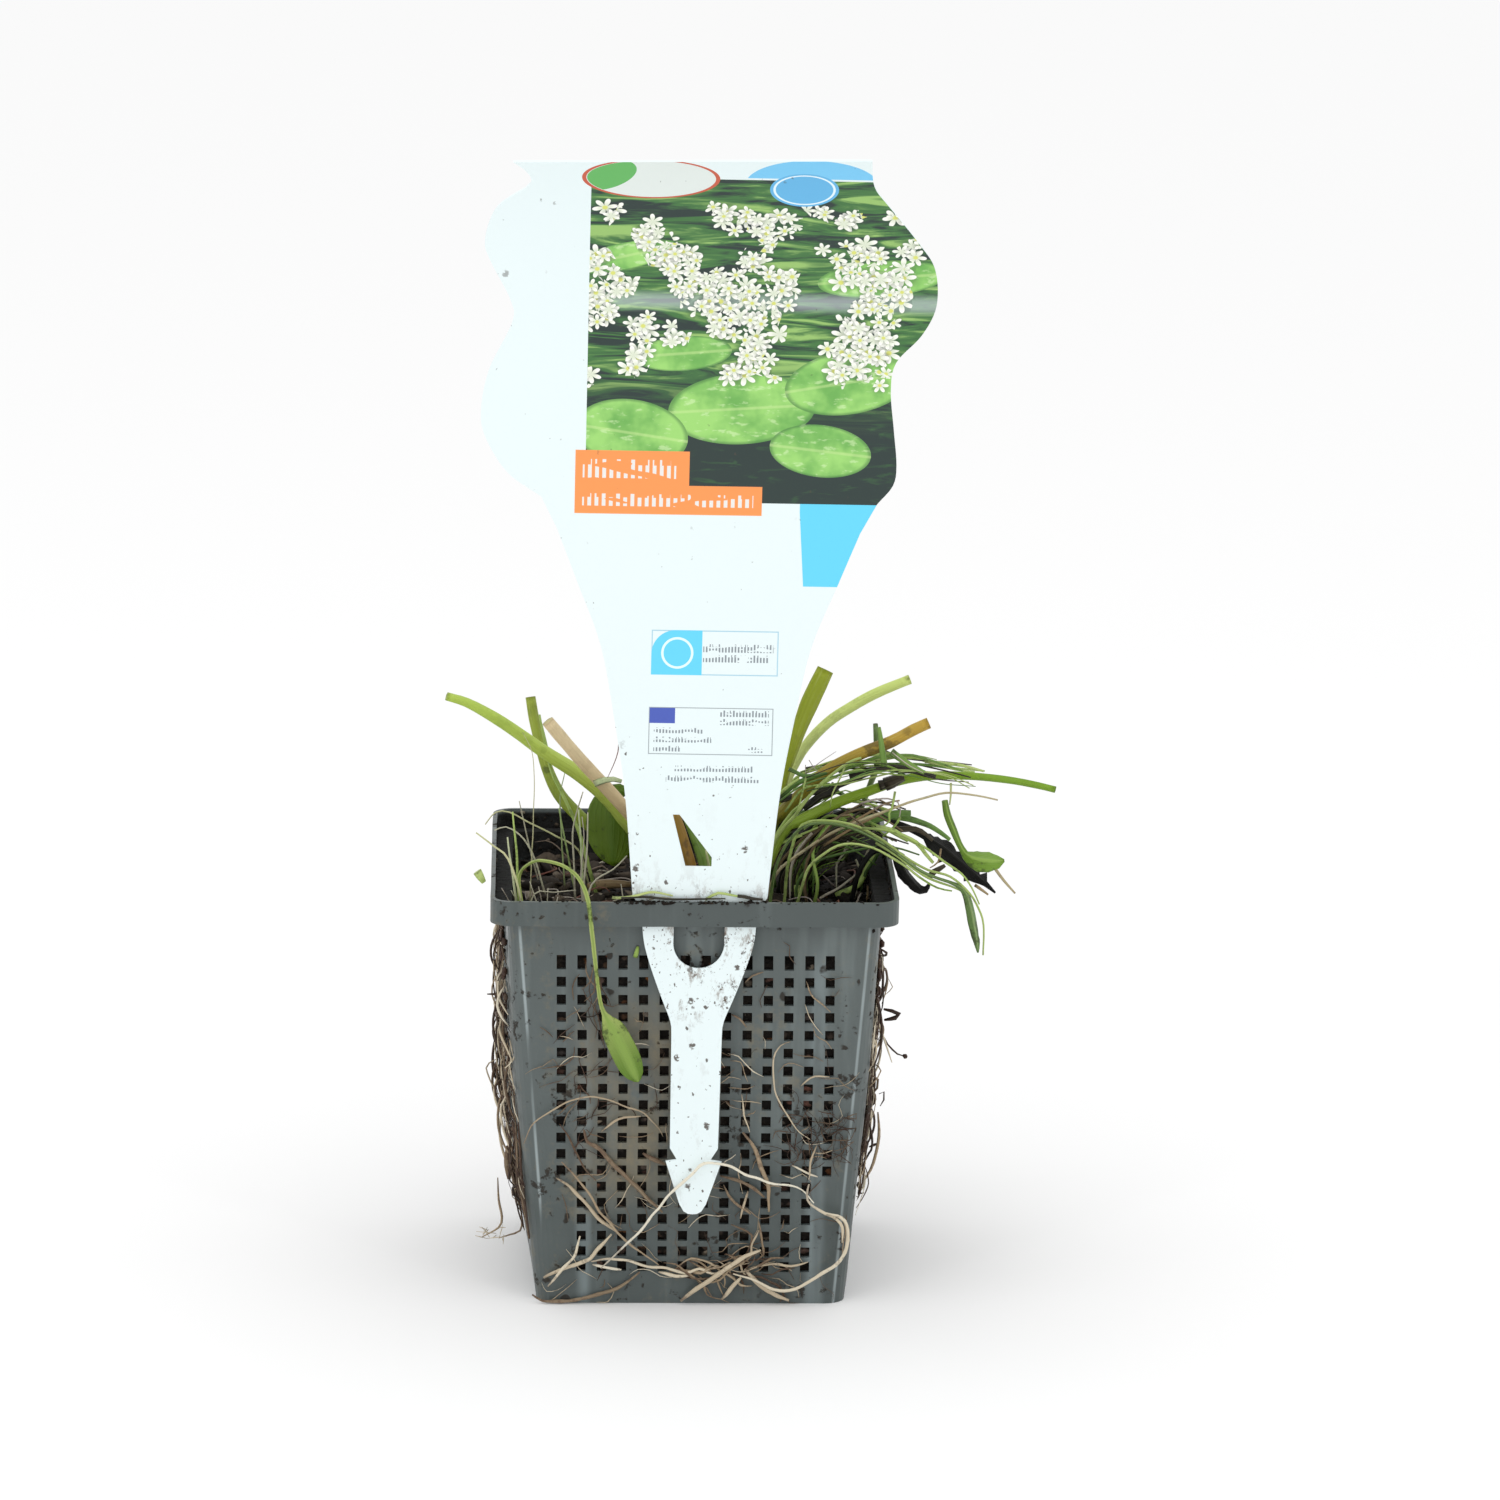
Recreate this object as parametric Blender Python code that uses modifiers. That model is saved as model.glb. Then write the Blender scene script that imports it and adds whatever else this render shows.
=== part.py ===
"""Potted water hawthorn: a square mesh pond pot with compost, cut leaf stalks and a plant label.

Sizes are in millimetres, and MM turns them into metres where a mesh is made. The origin is the
centre of the pot's underside, +Z is up, and the label stands at the front, on the -Y side.
"""
import math

import bmesh
import bpy
from mathutils import Vector, noise

MM = 0.001
GAP = 0.3                      # left between pieces that touch

# Pot: a tapered basket whose rim steps out over a narrow ledge
POT_HEIGHT = 116.0
LEDGE_HEIGHT = 109.3
RIM_HALF = 55.0
WALL_TOP_HALF = 50.5
WALL_BASE_HALF = 42.2
WALL = 1.2
CORNER_RADIUS = 5.5
LEFT_BULGE = 5.0               # the roots push the side walls out
RIGHT_BULGE = 2.5

# Mesh of the pot: each opening here stands for a small group of the real ones
MESH_COLUMNS = 5
MESH_ROWS = 7
MESH_COLUMN_PITCH = 14.4
MESH_ROW_PITCH = 13.2
MESH_OPENING = (8.4, 8.0)
MESH_LOWEST_CENTRE = 14.0
FLOOR_SEAM_X = 1.0             # a cut that keeps the base's centre off the edge between two facets

# Slot in the ledge for the label's stake
SLOT_CENTRE_X = 0.7
SLOT_WIDTH = 36.0
SLOT_NEAR_Y = -53.2
SLOT_FAR_Y = -51.2

# Compost
COMPOST_LEVEL = 104.0
COMPOST_LUMP = 2.0
COMPOST_LUMP_SPACING = 11.0
COMPOST_CELLS = 10
CROWN_CENTRE = Vector((10.0, 5.0))
CROWN_RADIUS = 22.0

# Label: its flat outline, from the point of the stake (0, 0) upwards
LABEL_THICKNESS = 0.7
LABEL_PLANE_Y = -52.3
LABEL_POINT_Z = 28.4
LABEL_LEAN = math.radians(0.75)
LABEL_STAKE_TIP = [(0.0, 0.0), (2.2, 0.6), (3.6, 2.8), (7.6, 14.9), (4.6, 15.4), (6.5, 18.5)]
LABEL_STAKE_FLARE = [(6.8, 50.0), (7.2, 54.0), (10.1, 61.5), (13.3, 70.5), (15.0, 77.5), (15.5, 87.2)]
LABEL_BODY = [(17.2, 87.4), (18.1, 88.6), (20.7, 116.5), (24.0, 137.0), (28.0, 157.0), (34.5, 174.0),
              (40.2, 188.5)]
LABEL_RIGHT = [(44.5, 196.5), (48.5, 201.5), (49.3, 207.0), (48.3, 216.5), (47.2, 227.0),
               (48.4, 234.5), (55.0, 242.0), (58.6, 250.0), (57.8, 260.0), (53.0, 267.5),
               (45.0, 278.0), (40.8, 284.5), (39.8, 293.4)]
LABEL_LEFT = [(-44.5, 197.0), (-53.7, 203.5), (-59.7, 213.0), (-60.8, 220.5), (-58.8, 231.0),
              (-53.0, 243.5), (-53.6, 249.5), (-59.0, 260.0), (-60.5, 266.0), (-57.5, 275.5),
              (-50.0, 282.0), (-48.6, 284.6), (-50.2, 287.6), (-53.5, 290.6)]
LABEL_WINDOW = [(-7.8, 111.2), (-6.0, 111.2), (2.9, 99.6), (2.9, 97.0), (-4.1, 97.0)]
LABEL_CUTOUT_HALF = 6.85
LABEL_CUTOUT_TOP = 85.5
LABEL_CUTOUT_ARC_CENTRE = 75.7
LABEL_CURL_START = 246.6
LABEL_CURL_ANGLE = math.radians(48.0)
LABEL_CURL_LENGTH = 59.0
LABEL_CURL_STEPS = 7

# Foot of every stalk, just above the compost, and how far it rises straight up from there
FOOT = COMPOST_LEVEL + 0.4
FOOT_RISE = 3.0

# Stalks and strands: route through x, y, z, with the radius at each point
STALKS = {
    "stalk_green_left": [
        ((2, 4, FOOT), 2.2), ((-4, 4, 112), 2.3), ((-14, 4, 120), 2.4), ((-23.5, 2, 131.5), 2.2),
        ((-39.5, -2, 144), 1.9), ((-55.5, -6, 156), 1.5), ((-67.5, -8, 162), 1.2)],
    "stalk_olive_left": [
        ((-6, 10, FOOT), 1.8), ((-14, 10, 112), 1.8), ((-25, 12, 119), 1.8), ((-36.5, 16, 129), 1.7),
        ((-42, 20, 143.5), 1.5), ((-44.5, 22, 155.5), 1.4)],
    "stalk_tan_left": [
        ((3, -3, FOOT), 1.7), ((-5, -4, 114), 1.8), ((-14.5, -6, 125.5), 1.8),
        ((-24.5, -10, 138.5), 1.8), ((-40, -16, 157.5), 1.7)],
    "stalk_olive_right": [
        ((16, 5, FOOT), 0.9), ((22.5, 5, 122), 0.9), ((26, 7, 137), 1.1), ((29, 8, 148), 1.7),
        ((32.5, 9, 157.5), 2.3), ((36.5, 10, 164.5), 2.2)],
    "stalk_green_right": [
        ((14, 11, FOOT), 1.0), ((20.5, 10, 119), 1.1), ((30.5, 15, 141.5), 1.3),
        ((37.5, 17, 149), 1.4), ((50, 19, 157), 1.4), ((60, 20, 161), 1.4)],
    "stalk_brown_right": [
        ((12, -1, FOOT), 1.7), ((20, 1, 121.5), 1.7), ((29.5, -2, 133.5), 1.7), ((39.5, -3, 142), 1.7),
        ((54.5, -4, 149), 1.7), ((64, -4, 154), 1.6)],
    "stalk_long_right": [
        ((17, -4, FOOT), 1.4), ((24.5, -4, 123), 1.5), ((35, -1, 128.5), 1.5), ((48, 3, 133), 1.4),
        ((61.5, 5, 137), 1.3), ((75, 6, 137), 1.1), ((89.5, 6, 136), 1.0), ((100, 6, 133.5), 0.9)],
    "stub_right": [
        ((44, 40, FOOT), 0.7), ((48, 38, 119), 0.7), ((52.5, 33, 134), 0.8), ((52, 32, 146), 0.7)],
}
STRANDS = {
    "sheath_centre": [
        ((2, -16, FOOT), 2.2), ((-0.8, -19, 113.6), 2.3), ((-3, -20, 122), 2.4), ((-6.2, -20, 133.5), 1.6)],
    "shoot_thin_left": [
        ((-27, 18, FOOT), 0.7), ((-29.5, 20, 112.5), 0.7), ((-32.5, 24, 121), 0.7),
        ((-38.5, 28, 132.5), 0.6), ((-42, 30, 148.5), 0.5)],
    "strand_left_tall": [
        ((-44.5, -12, FOOT), 0.6), ((-44.5, -12, 120), 0.6), ((-44, -12, 140), 0.5),
        ((-47.5, -12, 153), 0.4)],
    "strand_left_arch": [
        ((-28, 10, FOOT), 0.6), ((-32, 10, 114.7), 0.6), ((-45.5, 10, 122.5), 0.6),
        ((-51, 10, 125.2), 0.6), ((-57, 10, 121.5), 0.5)],
    "shoot_left_green": [
        ((-47, -41, FOOT), 0.7), ((-48.7, -42, 121.5), 0.7), ((-49.8, -42, 137.5), 0.5)],
    "shoot_left_pale": [
        ((-46, -46.5, FOOT), 0.7), ((-47, -46.8, 115), 0.7), ((-51.2, -47, 125.3), 0.6),
        ((-59.2, -47, 132.5), 0.4)],
    "strand_tan": [
        ((20, -9, FOOT), 0.8), ((24, -10, 114), 0.8), ((46, -12, 129), 0.7), ((56.5, -12, 133), 0.7),
        ((69, -12, 136.5), 0.7), ((83, -12, 135), 0.6)],
    "strand_upper": [
        ((14, 17, FOOT), 0.7), ((18, 18, 120), 0.7), ((31, 22, 133.5), 0.7), ((42, 24, 136), 0.7),
        ((58.5, 24, 138.5), 0.7), ((82, 24, 134), 0.5)],
    "strand_arc_low": [
        ((27, -28, FOOT), 0.6), ((31, -29, 116.5), 0.6), ((35.5, -30, 123), 0.6),
        ((43, -30, 126.3), 0.6), ((56, -30, 121), 0.6), ((61, -30, 117), 0.5)],
    "strand_arc_long": [
        ((25, -15, FOOT), 0.7), ((31, -15.5, 121), 0.7), ((42, -16, 127.5), 0.7),
        ((56.5, -16.5, 126), 0.7), ((67, -18, 119), 0.7), ((76, -19, 111.5), 0.7),
        ((79.5, -20, 102), 0.6), ((79.5, -20, 93), 0.5)],
}

LEAF_STEP = 4.5

# Leaves: the way the blade faces, then x, y, z, half width and half thickness
LEAVES = {
    "leaf_broad_left": ((0.0, -1.0, 0.15), [
        ((-2.5, 7.5, FOOT), 0.9, 0.9), ((-7.5, 7.6, 116), 0.8, 0.8), ((-13, 8.2, 126.5), 0.8, 0.8),
        ((-18.8, 8.8, 132.2), 1.6, 0.6), ((-21.4, 8.4, 129), 5.6, 0.4), ((-21.6, 7.6, 123.5), 7.4, 0.4),
        ((-21.6, 6.8, 117.5), 6.6, 0.4), ((-21.5, 6.1, 112.8), 3.0, 0.35), ((-21.4, 5.9, 111.2), 0.6, 0.3)]),
    "leaf_hanging_front": ((0.0, -1.0, 0.1), [
        ((-44, -44.5, FOOT), 0.6, 0.6), ((-46.5, -45, 113), 0.6, 0.6), ((-47.2, -44.5, 121), 0.6, 0.6),
        ((-43.5, -48, 126), 0.6, 0.6), ((-39.5, -53, 127.5), 0.6, 0.6), ((-31.5, -59, 124), 0.6, 0.6),
        ((-29, -59.5, 118), 0.6, 0.6), ((-27.5, -58.5, 108), 0.6, 0.6), ((-25.5, -56.5, 89), 0.6, 0.6),
        ((-23.6, -56, 84.2), 1.0, 0.5), ((-21.6, -55.6, 80.2), 3.4, 0.4), ((-18.6, -55, 74), 3.6, 0.4),
        ((-16.2, -54.5, 68.6), 2.6, 0.4), ((-15.1, -54, 66.2), 0.8, 0.3)]),
    "leaf_dead_dark": ((0.3, -1.0, 0.5), [
        ((24, 2, FOOT), 0.7, 0.7), ((28, 4, 118), 0.7, 0.7), ((40, 6, 126), 0.8, 0.7),
        ((56, 8, 125.5), 1.2, 0.5), ((64, 9, 120.5), 2.8, 0.4), ((71, 9.5, 115.5), 3.0, 0.4),
        ((77, 10, 110), 2.8, 0.4), ((84.5, 10, 103), 0.4, 0.3)]),
    "leaf_dead_curled": ((0.5, -1.0, 0.3), [
        ((44, -7, FOOT), 0.7, 0.7), ((46, -7, 113), 0.7, 0.7), ((50, -6, 118.6), 0.9, 0.6),
        ((55, -5, 118.8), 1.4, 0.5), ((58.5, -4.5, 112.5), 1.9, 0.5), ((61.5, -4, 108.5), 1.6, 0.5),
        ((64, -4, 107), 1.0, 0.5), ((65.5, -4, 109), 0.5, 0.4)]),
    "leaf_bright": ((0.2, -1.0, 0.4), [
        ((69.8, -12, 135.2), 0.9, 0.9), ((72, -12, 130), 1.1, 0.9), ((74.3, -12, 124.5), 0.9, 0.8),
        ((76.5, -12, 120), 1.6, 0.5), ((80, -12, 117.5), 3.1, 0.4), ((83.5, -12, 116.5), 2.6, 0.4),
        ((86, -12, 116), 0.5, 0.3)]),
    "leaf_narrow_hanging": ((0.4, -1.0, 0.1), [
        ((21, -16, FOOT), 0.7, 0.7), ((23, -18.5, 118), 0.7, 0.7), ((28, -21.5, 128), 0.7, 0.7),
        ((34, -22, 131), 0.7, 0.7), ((42.5, -22, 129.5), 0.7, 0.7), ((51.5, -22, 125), 0.7, 0.7),
        ((61, -21, 117.5), 0.7, 0.7), ((71, -18, 113), 0.8, 0.6), ((75, -15, 109.5), 1.2, 0.5),
        ((77.5, -14, 99), 1.3, 0.4), ((78.5, -14, 92.5), 0.4, 0.3)]),
}

# Mat of dead leaf bases: a wedge that leans from the compost to the right, and where it stands
THATCH_FACING = (-0.7, 0.0, 0.7)
THATCH_STATIONS = [((30, 14, FOOT), 7.0, 2.2), ((32, 14, 109), 8.0, 2.6), ((38, 14.5, 114.5), 9.0, 3.2),
                   ((45, 15, 119.5), 8.0, 2.8), ((50, 15.5, 123.5), 4.0, 1.0)]
THATCH_FOOT = Vector((30.0, 14.0))
THATCH_FOOT_RADII = (5.0, 9.0)

# Loose roots over the front wall: x and z, how far off the wall, and the root's radius
FRONT_ROOTS = {
    "root_front_a": (0.6, [(-37, 37, 0), (-34, 35, 0), (-28, 27, 0), (-19, 20.5, 0)]),
    "root_front_b": (0.5, [(-35, 42, 1.6), (-31, 36, 1.6), (-24, 27, 1.6), (-17, 19, 1.6), (-10, 13, 1.6)]),
    "root_front_c": (0.7, [(-30, 50, 0), (-25, 43, 0), (-16, 35, 0), (-8, 27, 0)]),
    "root_front_d": (0.6, [(-25, 11, 3), (-17, 19, 3.4), (-10, 30, 6), (-2, 38.5, 8.2), (5.5, 43.5, 8.2),
                           (21, 37, 3), (29.5, 33.8, 0.5)]),
    "root_front_e": (0.8, [(32, 37, 2.2), (31.5, 32, 2.2), (36, 27, 2.2), (42, 25, 2.2), (43, 19, 2.2),
                           (39, 12, 2.2), (30, 6, 2.2), (23, 5, 2.2), (13, 9, 2.2)]),
    "root_front_f": (0.8, [(-3, 1.4, 0), (4, 6, 0), (14, 14, 0), (19, 16, 0)]),
    "root_front_g": (0.7, [(15.5, 10.5, 0), (21, 4, 0), (27, 1.4, 0)]),
    "root_front_h": (0.7, [(-43, 2, 0), (-37, 1.3, 0), (-29, 2, 0), (-20, 4, 0), (-14, 8, 0)]),
    "root_front_i": (0.6, [(-38, 6, 1.7), (-35, 10, 1.7), (-30, 20, 1.7)]),
    "root_front_j": (0.7, [(-40, 8, 0), (-28, 13.5, 0), (-22, 20, 0)]),
    "root_front_k": (0.6, [(-26, 12.2, 0), (-17, 13, 0), (-1, 9.5, 0), (4, 9, 0)]),
    "root_front_l": (0.8, [(13, 61, 0), (13.5, 50, 0), (19, 39, 0), (21, 27, 0)]),
}

ROOT_CLEARANCE = GAP + 0.1

# Root mats on the side walls: side, lift beyond the wall, span in y and z
ROOT_MATS = {
    "root_mat_left": (-1, LEFT_BULGE, (-38.0, 38.0), (20.0, 103.0)),
    "root_mat_right": (1, RIGHT_BULGE, (-36.0, 36.0), (34.0, 99.0)),
}
ROOT_MAT_THICKNESS = 2.4
ROOT_MAT_LIFT = GAP + 0.3
ROOT_MAT_SPREAD = 0.9          # share of the span that the grid fills
ROOT_MAT_RAGGED = 0.1          # how far its edge strays, as a share of the span

# Colours as red, green, blue, with roughness
FINISHES = {
    "grey_plastic": ((0.155, 0.17, 0.168), 0.5),
    "compost": ((0.022, 0.017, 0.013), 0.95),
    "label_white": ((0.86, 0.9, 0.9), 0.35),
    "green": ((0.2, 0.32, 0.05), 0.5),
    "olive": ((0.16, 0.17, 0.05), 0.6),
    "tan": ((0.38, 0.25, 0.13), 0.7),
    "dead_leaf": ((0.02, 0.02, 0.015), 0.6),
    "root": ((0.42, 0.32, 0.2), 0.8),
    "root_mat": ((0.12, 0.08, 0.05), 0.9),
}
PIECE_FINISHES = {
    "stalk_olive_left": "olive", "stalk_tan_left": "tan", "stalk_olive_right": "olive",
    "stalk_brown_right": "tan", "strand_tan": "tan", "strand_left_tall": "tan",
    "strand_left_arch": "tan", "shoot_left_pale": "tan", "leaf_dead_dark": "dead_leaf",
    "leaf_dead_curled": "dead_leaf", "sheath_centre": "tan",
}


def clear_scene():
    """Remove whatever the scene starts with."""
    for thing in list(bpy.data.objects):
        bpy.data.objects.remove(thing)


def make_collection(name):
    """Return a new collection that hangs under the scene."""
    collection = bpy.data.collections.new(name)
    bpy.context.scene.collection.children.link(collection)
    return collection


def make_materials():
    """Return one Principled material for each finish."""
    materials = {}
    for name, (colour, roughness) in FINISHES.items():
        material = bpy.data.materials.new(name)
        material.use_nodes = True
        shader = material.node_tree.nodes["Principled BSDF"]
        shader.inputs["Base Color"].default_value = (*colour, 1.0)
        shader.inputs["Roughness"].default_value = roughness
        shader.inputs["Metallic"].default_value = 0.0
        material.diffuse_color = (*colour, 1.0)
        materials[name] = material
    return materials


def add_object(name, data, collection, material=None):
    """Put a mesh or a curve into a collection as an object, with a material if one is given."""
    made = bpy.data.objects.new(name, data)
    collection.objects.link(made)
    if material is not None:
        data.materials.append(material)
    return made


def mesh_from(bm, name):
    """Turn a bmesh in millimetres into a mesh in metres."""
    bmesh.ops.scale(bm, vec=(MM, MM, MM), verts=bm.verts)
    mesh = bpy.data.meshes.new(name)
    bm.to_mesh(mesh)
    bm.free()
    return mesh


def face_outwards(bm):
    """Turn every face of a closed mesh outwards."""
    bmesh.ops.recalc_face_normals(bm, faces=bm.faces)
    if bm.calc_volume(signed=True) < 0:
        bmesh.ops.reverse_faces(bm, faces=bm.faces)


def smooth_route(points, step):
    """Sample a Catmull-Rom curve through points of any size, about one sample a step."""
    ends = [[2 * a - b for a, b in zip(points[0], points[1])], *points,
            [2 * a - b for a, b in zip(points[-1], points[-2])]]
    samples = []
    for p0, p1, p2, p3 in zip(ends, ends[1:], ends[2:], ends[3:]):
        length = math.dist(p1[:3], p2[:3])
        count = max(1, round(length / step))
        for i in range(count):
            t = i / count
            samples.append([0.5 * (2 * b + (c - a) * t + (2 * a - 5 * b + 4 * c - d) * t * t
                                   + (3 * b - a - 3 * c + d) * t ** 3)
                            for a, b, c, d in zip(p0, p1, p2, p3)])
    samples.append(list(points[-1]))
    return samples


def from_foot(stations):
    """Add a point straight above the first, so that the cut end stands flat on the compost."""
    x, y, z, *sizes = stations[0]
    return [stations[0], (x, y, z + FOOT_RISE, *sizes), *stations[1:]]


def wall_half(z):
    """Half the pot's outer width at a height, without the bulge of the side walls."""
    return WALL_BASE_HALF + (WALL_TOP_HALF - WALL_BASE_HALF) * z / LEDGE_HEIGHT


def add_tube(name, samples, sides_setting, collection, material):
    """Make a tapered tube, as a bevelled curve, through samples of x, y, z and radius."""
    curve = bpy.data.curves.new(name, "CURVE")
    curve.dimensions = "3D"
    curve.bevel_depth = MM
    curve.bevel_resolution = sides_setting
    curve.use_fill_caps = True
    spline = curve.splines.new("POLY")
    spline.points.add(len(samples) - 1)
    for point, (x, y, z, radius) in zip(spline.points, samples):
        point.co = (x * MM, y * MM, z * MM, 1.0)
        point.radius = radius
    return add_object(name, curve, collection, material)


def tapered_box():
    """Return the outer surface of the walls and the floor, open at the top, with rounded corners."""
    bm = bmesh.new()
    bmesh.ops.create_cube(bm, size=2.0)
    for vert in bm.verts:
        top = vert.co.z > 0
        half = WALL_TOP_HALF if top else WALL_BASE_HALF
        vert.co = Vector((vert.co.x * half, vert.co.y * half, LEDGE_HEIGHT if top else 0.0))
    uprights = [e for e in bm.edges if abs(e.verts[0].co.z - e.verts[1].co.z) > 1.0]
    bmesh.ops.bevel(bm, geom=uprights, offset=CORNER_RADIUS, segments=3, profile=0.5,
                    affect="EDGES", material=-1)
    lid = [f for f in bm.faces if min(v.co.z for v in f.verts) > LEDGE_HEIGHT - 1.0]
    bmesh.ops.delete(bm, geom=lid, context="FACES_ONLY")
    return bm


def facing(bm, axis):
    """Return the pot's faces that look along one axis, on both sides."""
    bm.normal_update()
    return [f for f in bm.faces if abs(f.normal[axis]) > 0.9]


def cut_across(bm, axis, places, chosen):
    """Cut the chosen faces, and what they become, along planes across an axis."""
    normal = Vector((0, 0, 0))
    normal[axis] = 1.0
    for place in places:
        faces = chosen()
        edges = {e for f in faces for e in f.edges}
        verts = {v for f in faces for v in f.verts}
        bmesh.ops.bisect_plane(bm, geom=[*faces, *edges, *verts], dist=0.0001, plane_co=normal * place,
                               plane_no=normal)


def within(value, spans):
    """Tell whether a value lies inside one of some spans."""
    return any(low < value < high for low, high in spans)


def mesh_spans(count, pitch, size, lowest):
    """Return the low and high edge of each opening in a row of them."""
    return [(lowest + pitch * i - size / 2, lowest + pitch * i + size / 2) for i in range(count)]


def pierce(bm):
    """Open the mesh of the four walls and the floor, all but the middle of the floor."""
    width, height = MESH_OPENING
    columns = mesh_spans(MESH_COLUMNS, MESH_COLUMN_PITCH, width, -MESH_COLUMN_PITCH * (MESH_COLUMNS - 1) / 2)
    rows = mesh_spans(MESH_ROWS, MESH_ROW_PITCH, height, MESH_LOWEST_CENTRE)
    lines = [place for span in columns for place in span]
    levels = [place for span in rows for place in span]
    cut_across(bm, 0, lines, lambda: facing(bm, 1) + facing(bm, 2))
    cut_across(bm, 1, lines, lambda: facing(bm, 0) + facing(bm, 2))
    cut_across(bm, 2, levels, lambda: [f for f in bm.faces if abs(f.normal.z) < 0.5])
    front_back = [f for f in facing(bm, 1) if within(f.calc_center_median().x, columns)
                  and within(f.calc_center_median().z, rows)]
    sides = [f for f in facing(bm, 0) if within(f.calc_center_median().y, columns)
             and within(f.calc_center_median().z, rows)]
    floor = [f for f in facing(bm, 2) if within(f.calc_center_median().x, columns)
             and within(f.calc_center_median().y, columns) and f.calc_center_median().length > width / 2]
    bmesh.ops.delete(bm, geom=[*front_back, *sides, *floor], context="FACES_ONLY")
    cut_across(bm, 0, [FLOOR_SEAM_X],
               lambda: [f for f in facing(bm, 2) if f.calc_center_median().length < width / 2])


def step_rim_out(bm):
    """Grow the ledge and the rim from the top of the walls."""
    brim = [e for e in bm.edges if e.is_boundary and min(v.co.z for v in e.verts) > LEDGE_HEIGHT - 0.01]
    for scale, rise in ((RIM_HALF / WALL_TOP_HALF, 0.0), (1.0, POT_HEIGHT - LEDGE_HEIGHT)):
        grown = bmesh.ops.extrude_edge_only(bm, edges=brim)["geom"]
        for vert in [g for g in grown if isinstance(g, bmesh.types.BMVert)]:
            vert.co.x *= scale
            vert.co.y *= scale
            vert.co.z += rise
        brim = [g for g in grown if isinstance(g, bmesh.types.BMEdge)]


def open_slot(bm):
    """Open the slot for the label's stake in the front ledge."""
    left, right = SLOT_CENTRE_X - SLOT_WIDTH / 2, SLOT_CENTRE_X + SLOT_WIDTH / 2

    def front_ledge():
        """Return the ledge's faces along the front."""
        return [f for f in bm.faces if abs(f.calc_center_median().z - LEDGE_HEIGHT) < 0.01
                and f.calc_center_median().y < -WALL_TOP_HALF
                and abs(f.calc_center_median().x) < WALL_TOP_HALF]

    cut_across(bm, 0, (left, right), front_ledge)
    cut_across(bm, 1, (SLOT_NEAR_Y, SLOT_FAR_Y),
               lambda: [f for f in front_ledge() if left < f.calc_center_median().x < right])
    slot = [f for f in front_ledge() if left < f.calc_center_median().x < right
            and SLOT_NEAR_Y < f.calc_center_median().y < SLOT_FAR_Y]
    bmesh.ops.delete(bm, geom=slot, context="FACES_ONLY")


def bulge_at(y, z, bulge):
    """How far a side wall stands out at a place."""
    share = z / LEDGE_HEIGHT
    return bulge * max(0.0, 1 - (y / wall_half(z)) ** 2) * 4 * share * (1 - share)


def add_pot(collection, material):
    """Make the pot: pierced and bulged walls, a floor, a ledge with the label's slot, and a rim."""
    bm = tapered_box()
    pierce(bm)
    step_rim_out(bm)
    open_slot(bm)
    for vert in bm.verts:
        if vert.co.z < LEDGE_HEIGHT - 0.01 and abs(vert.co.x) > wall_half(vert.co.z) - CORNER_RADIUS:
            side, bulge = (1, RIGHT_BULGE) if vert.co.x > 0 else (-1, LEFT_BULGE)
            vert.co.x += side * bulge_at(vert.co.y, vert.co.z, bulge)
    bmesh.ops.recalc_face_normals(bm, faces=bm.faces)
    rightmost = max(bm.faces, key=lambda f: f.calc_center_median().x)
    if rightmost.normal.x < 0:
        bmesh.ops.reverse_faces(bm, faces=bm.faces)
    pot = add_object("pot", mesh_from(bm, "pot"), collection, material)
    wall = pot.modifiers.new("wall", "SOLIDIFY")
    wall.thickness = WALL * MM
    wall.offset = -1.0
    wall.use_even_offset = True


def compost_height(x, y):
    """Height of the lumpy compost, flat around the crown and under the thatch."""
    from_crown = (Vector((x, y)) - CROWN_CENTRE).length / CROWN_RADIUS
    in_thatch = math.hypot((x - THATCH_FOOT.x) / THATCH_FOOT_RADII[0],
                           (y - THATCH_FOOT.y) / THATCH_FOOT_RADII[1])
    openness = min(1.0, max(0.0, min(from_crown, in_thatch) - 1.0) * 2.0)
    lumps = noise.noise(Vector((x / COMPOST_LUMP_SPACING, y / COMPOST_LUMP_SPACING, 3.7)))
    return COMPOST_LEVEL - COMPOST_LUMP * openness * abs(lumps) * 2.0


def into_rounded_square(x, y, half):
    """Pull a point near a corner onto the rounded outline."""
    radius = CORNER_RADIUS
    centre = half - radius
    if abs(x) > centre and abs(y) > centre:
        offset = Vector((abs(x) - centre, abs(y) - centre))
        if offset.length > radius:
            offset *= radius / offset.length
        x = math.copysign(centre + offset.x, x)
        y = math.copysign(centre + offset.y, y)
    return x, y


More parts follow.
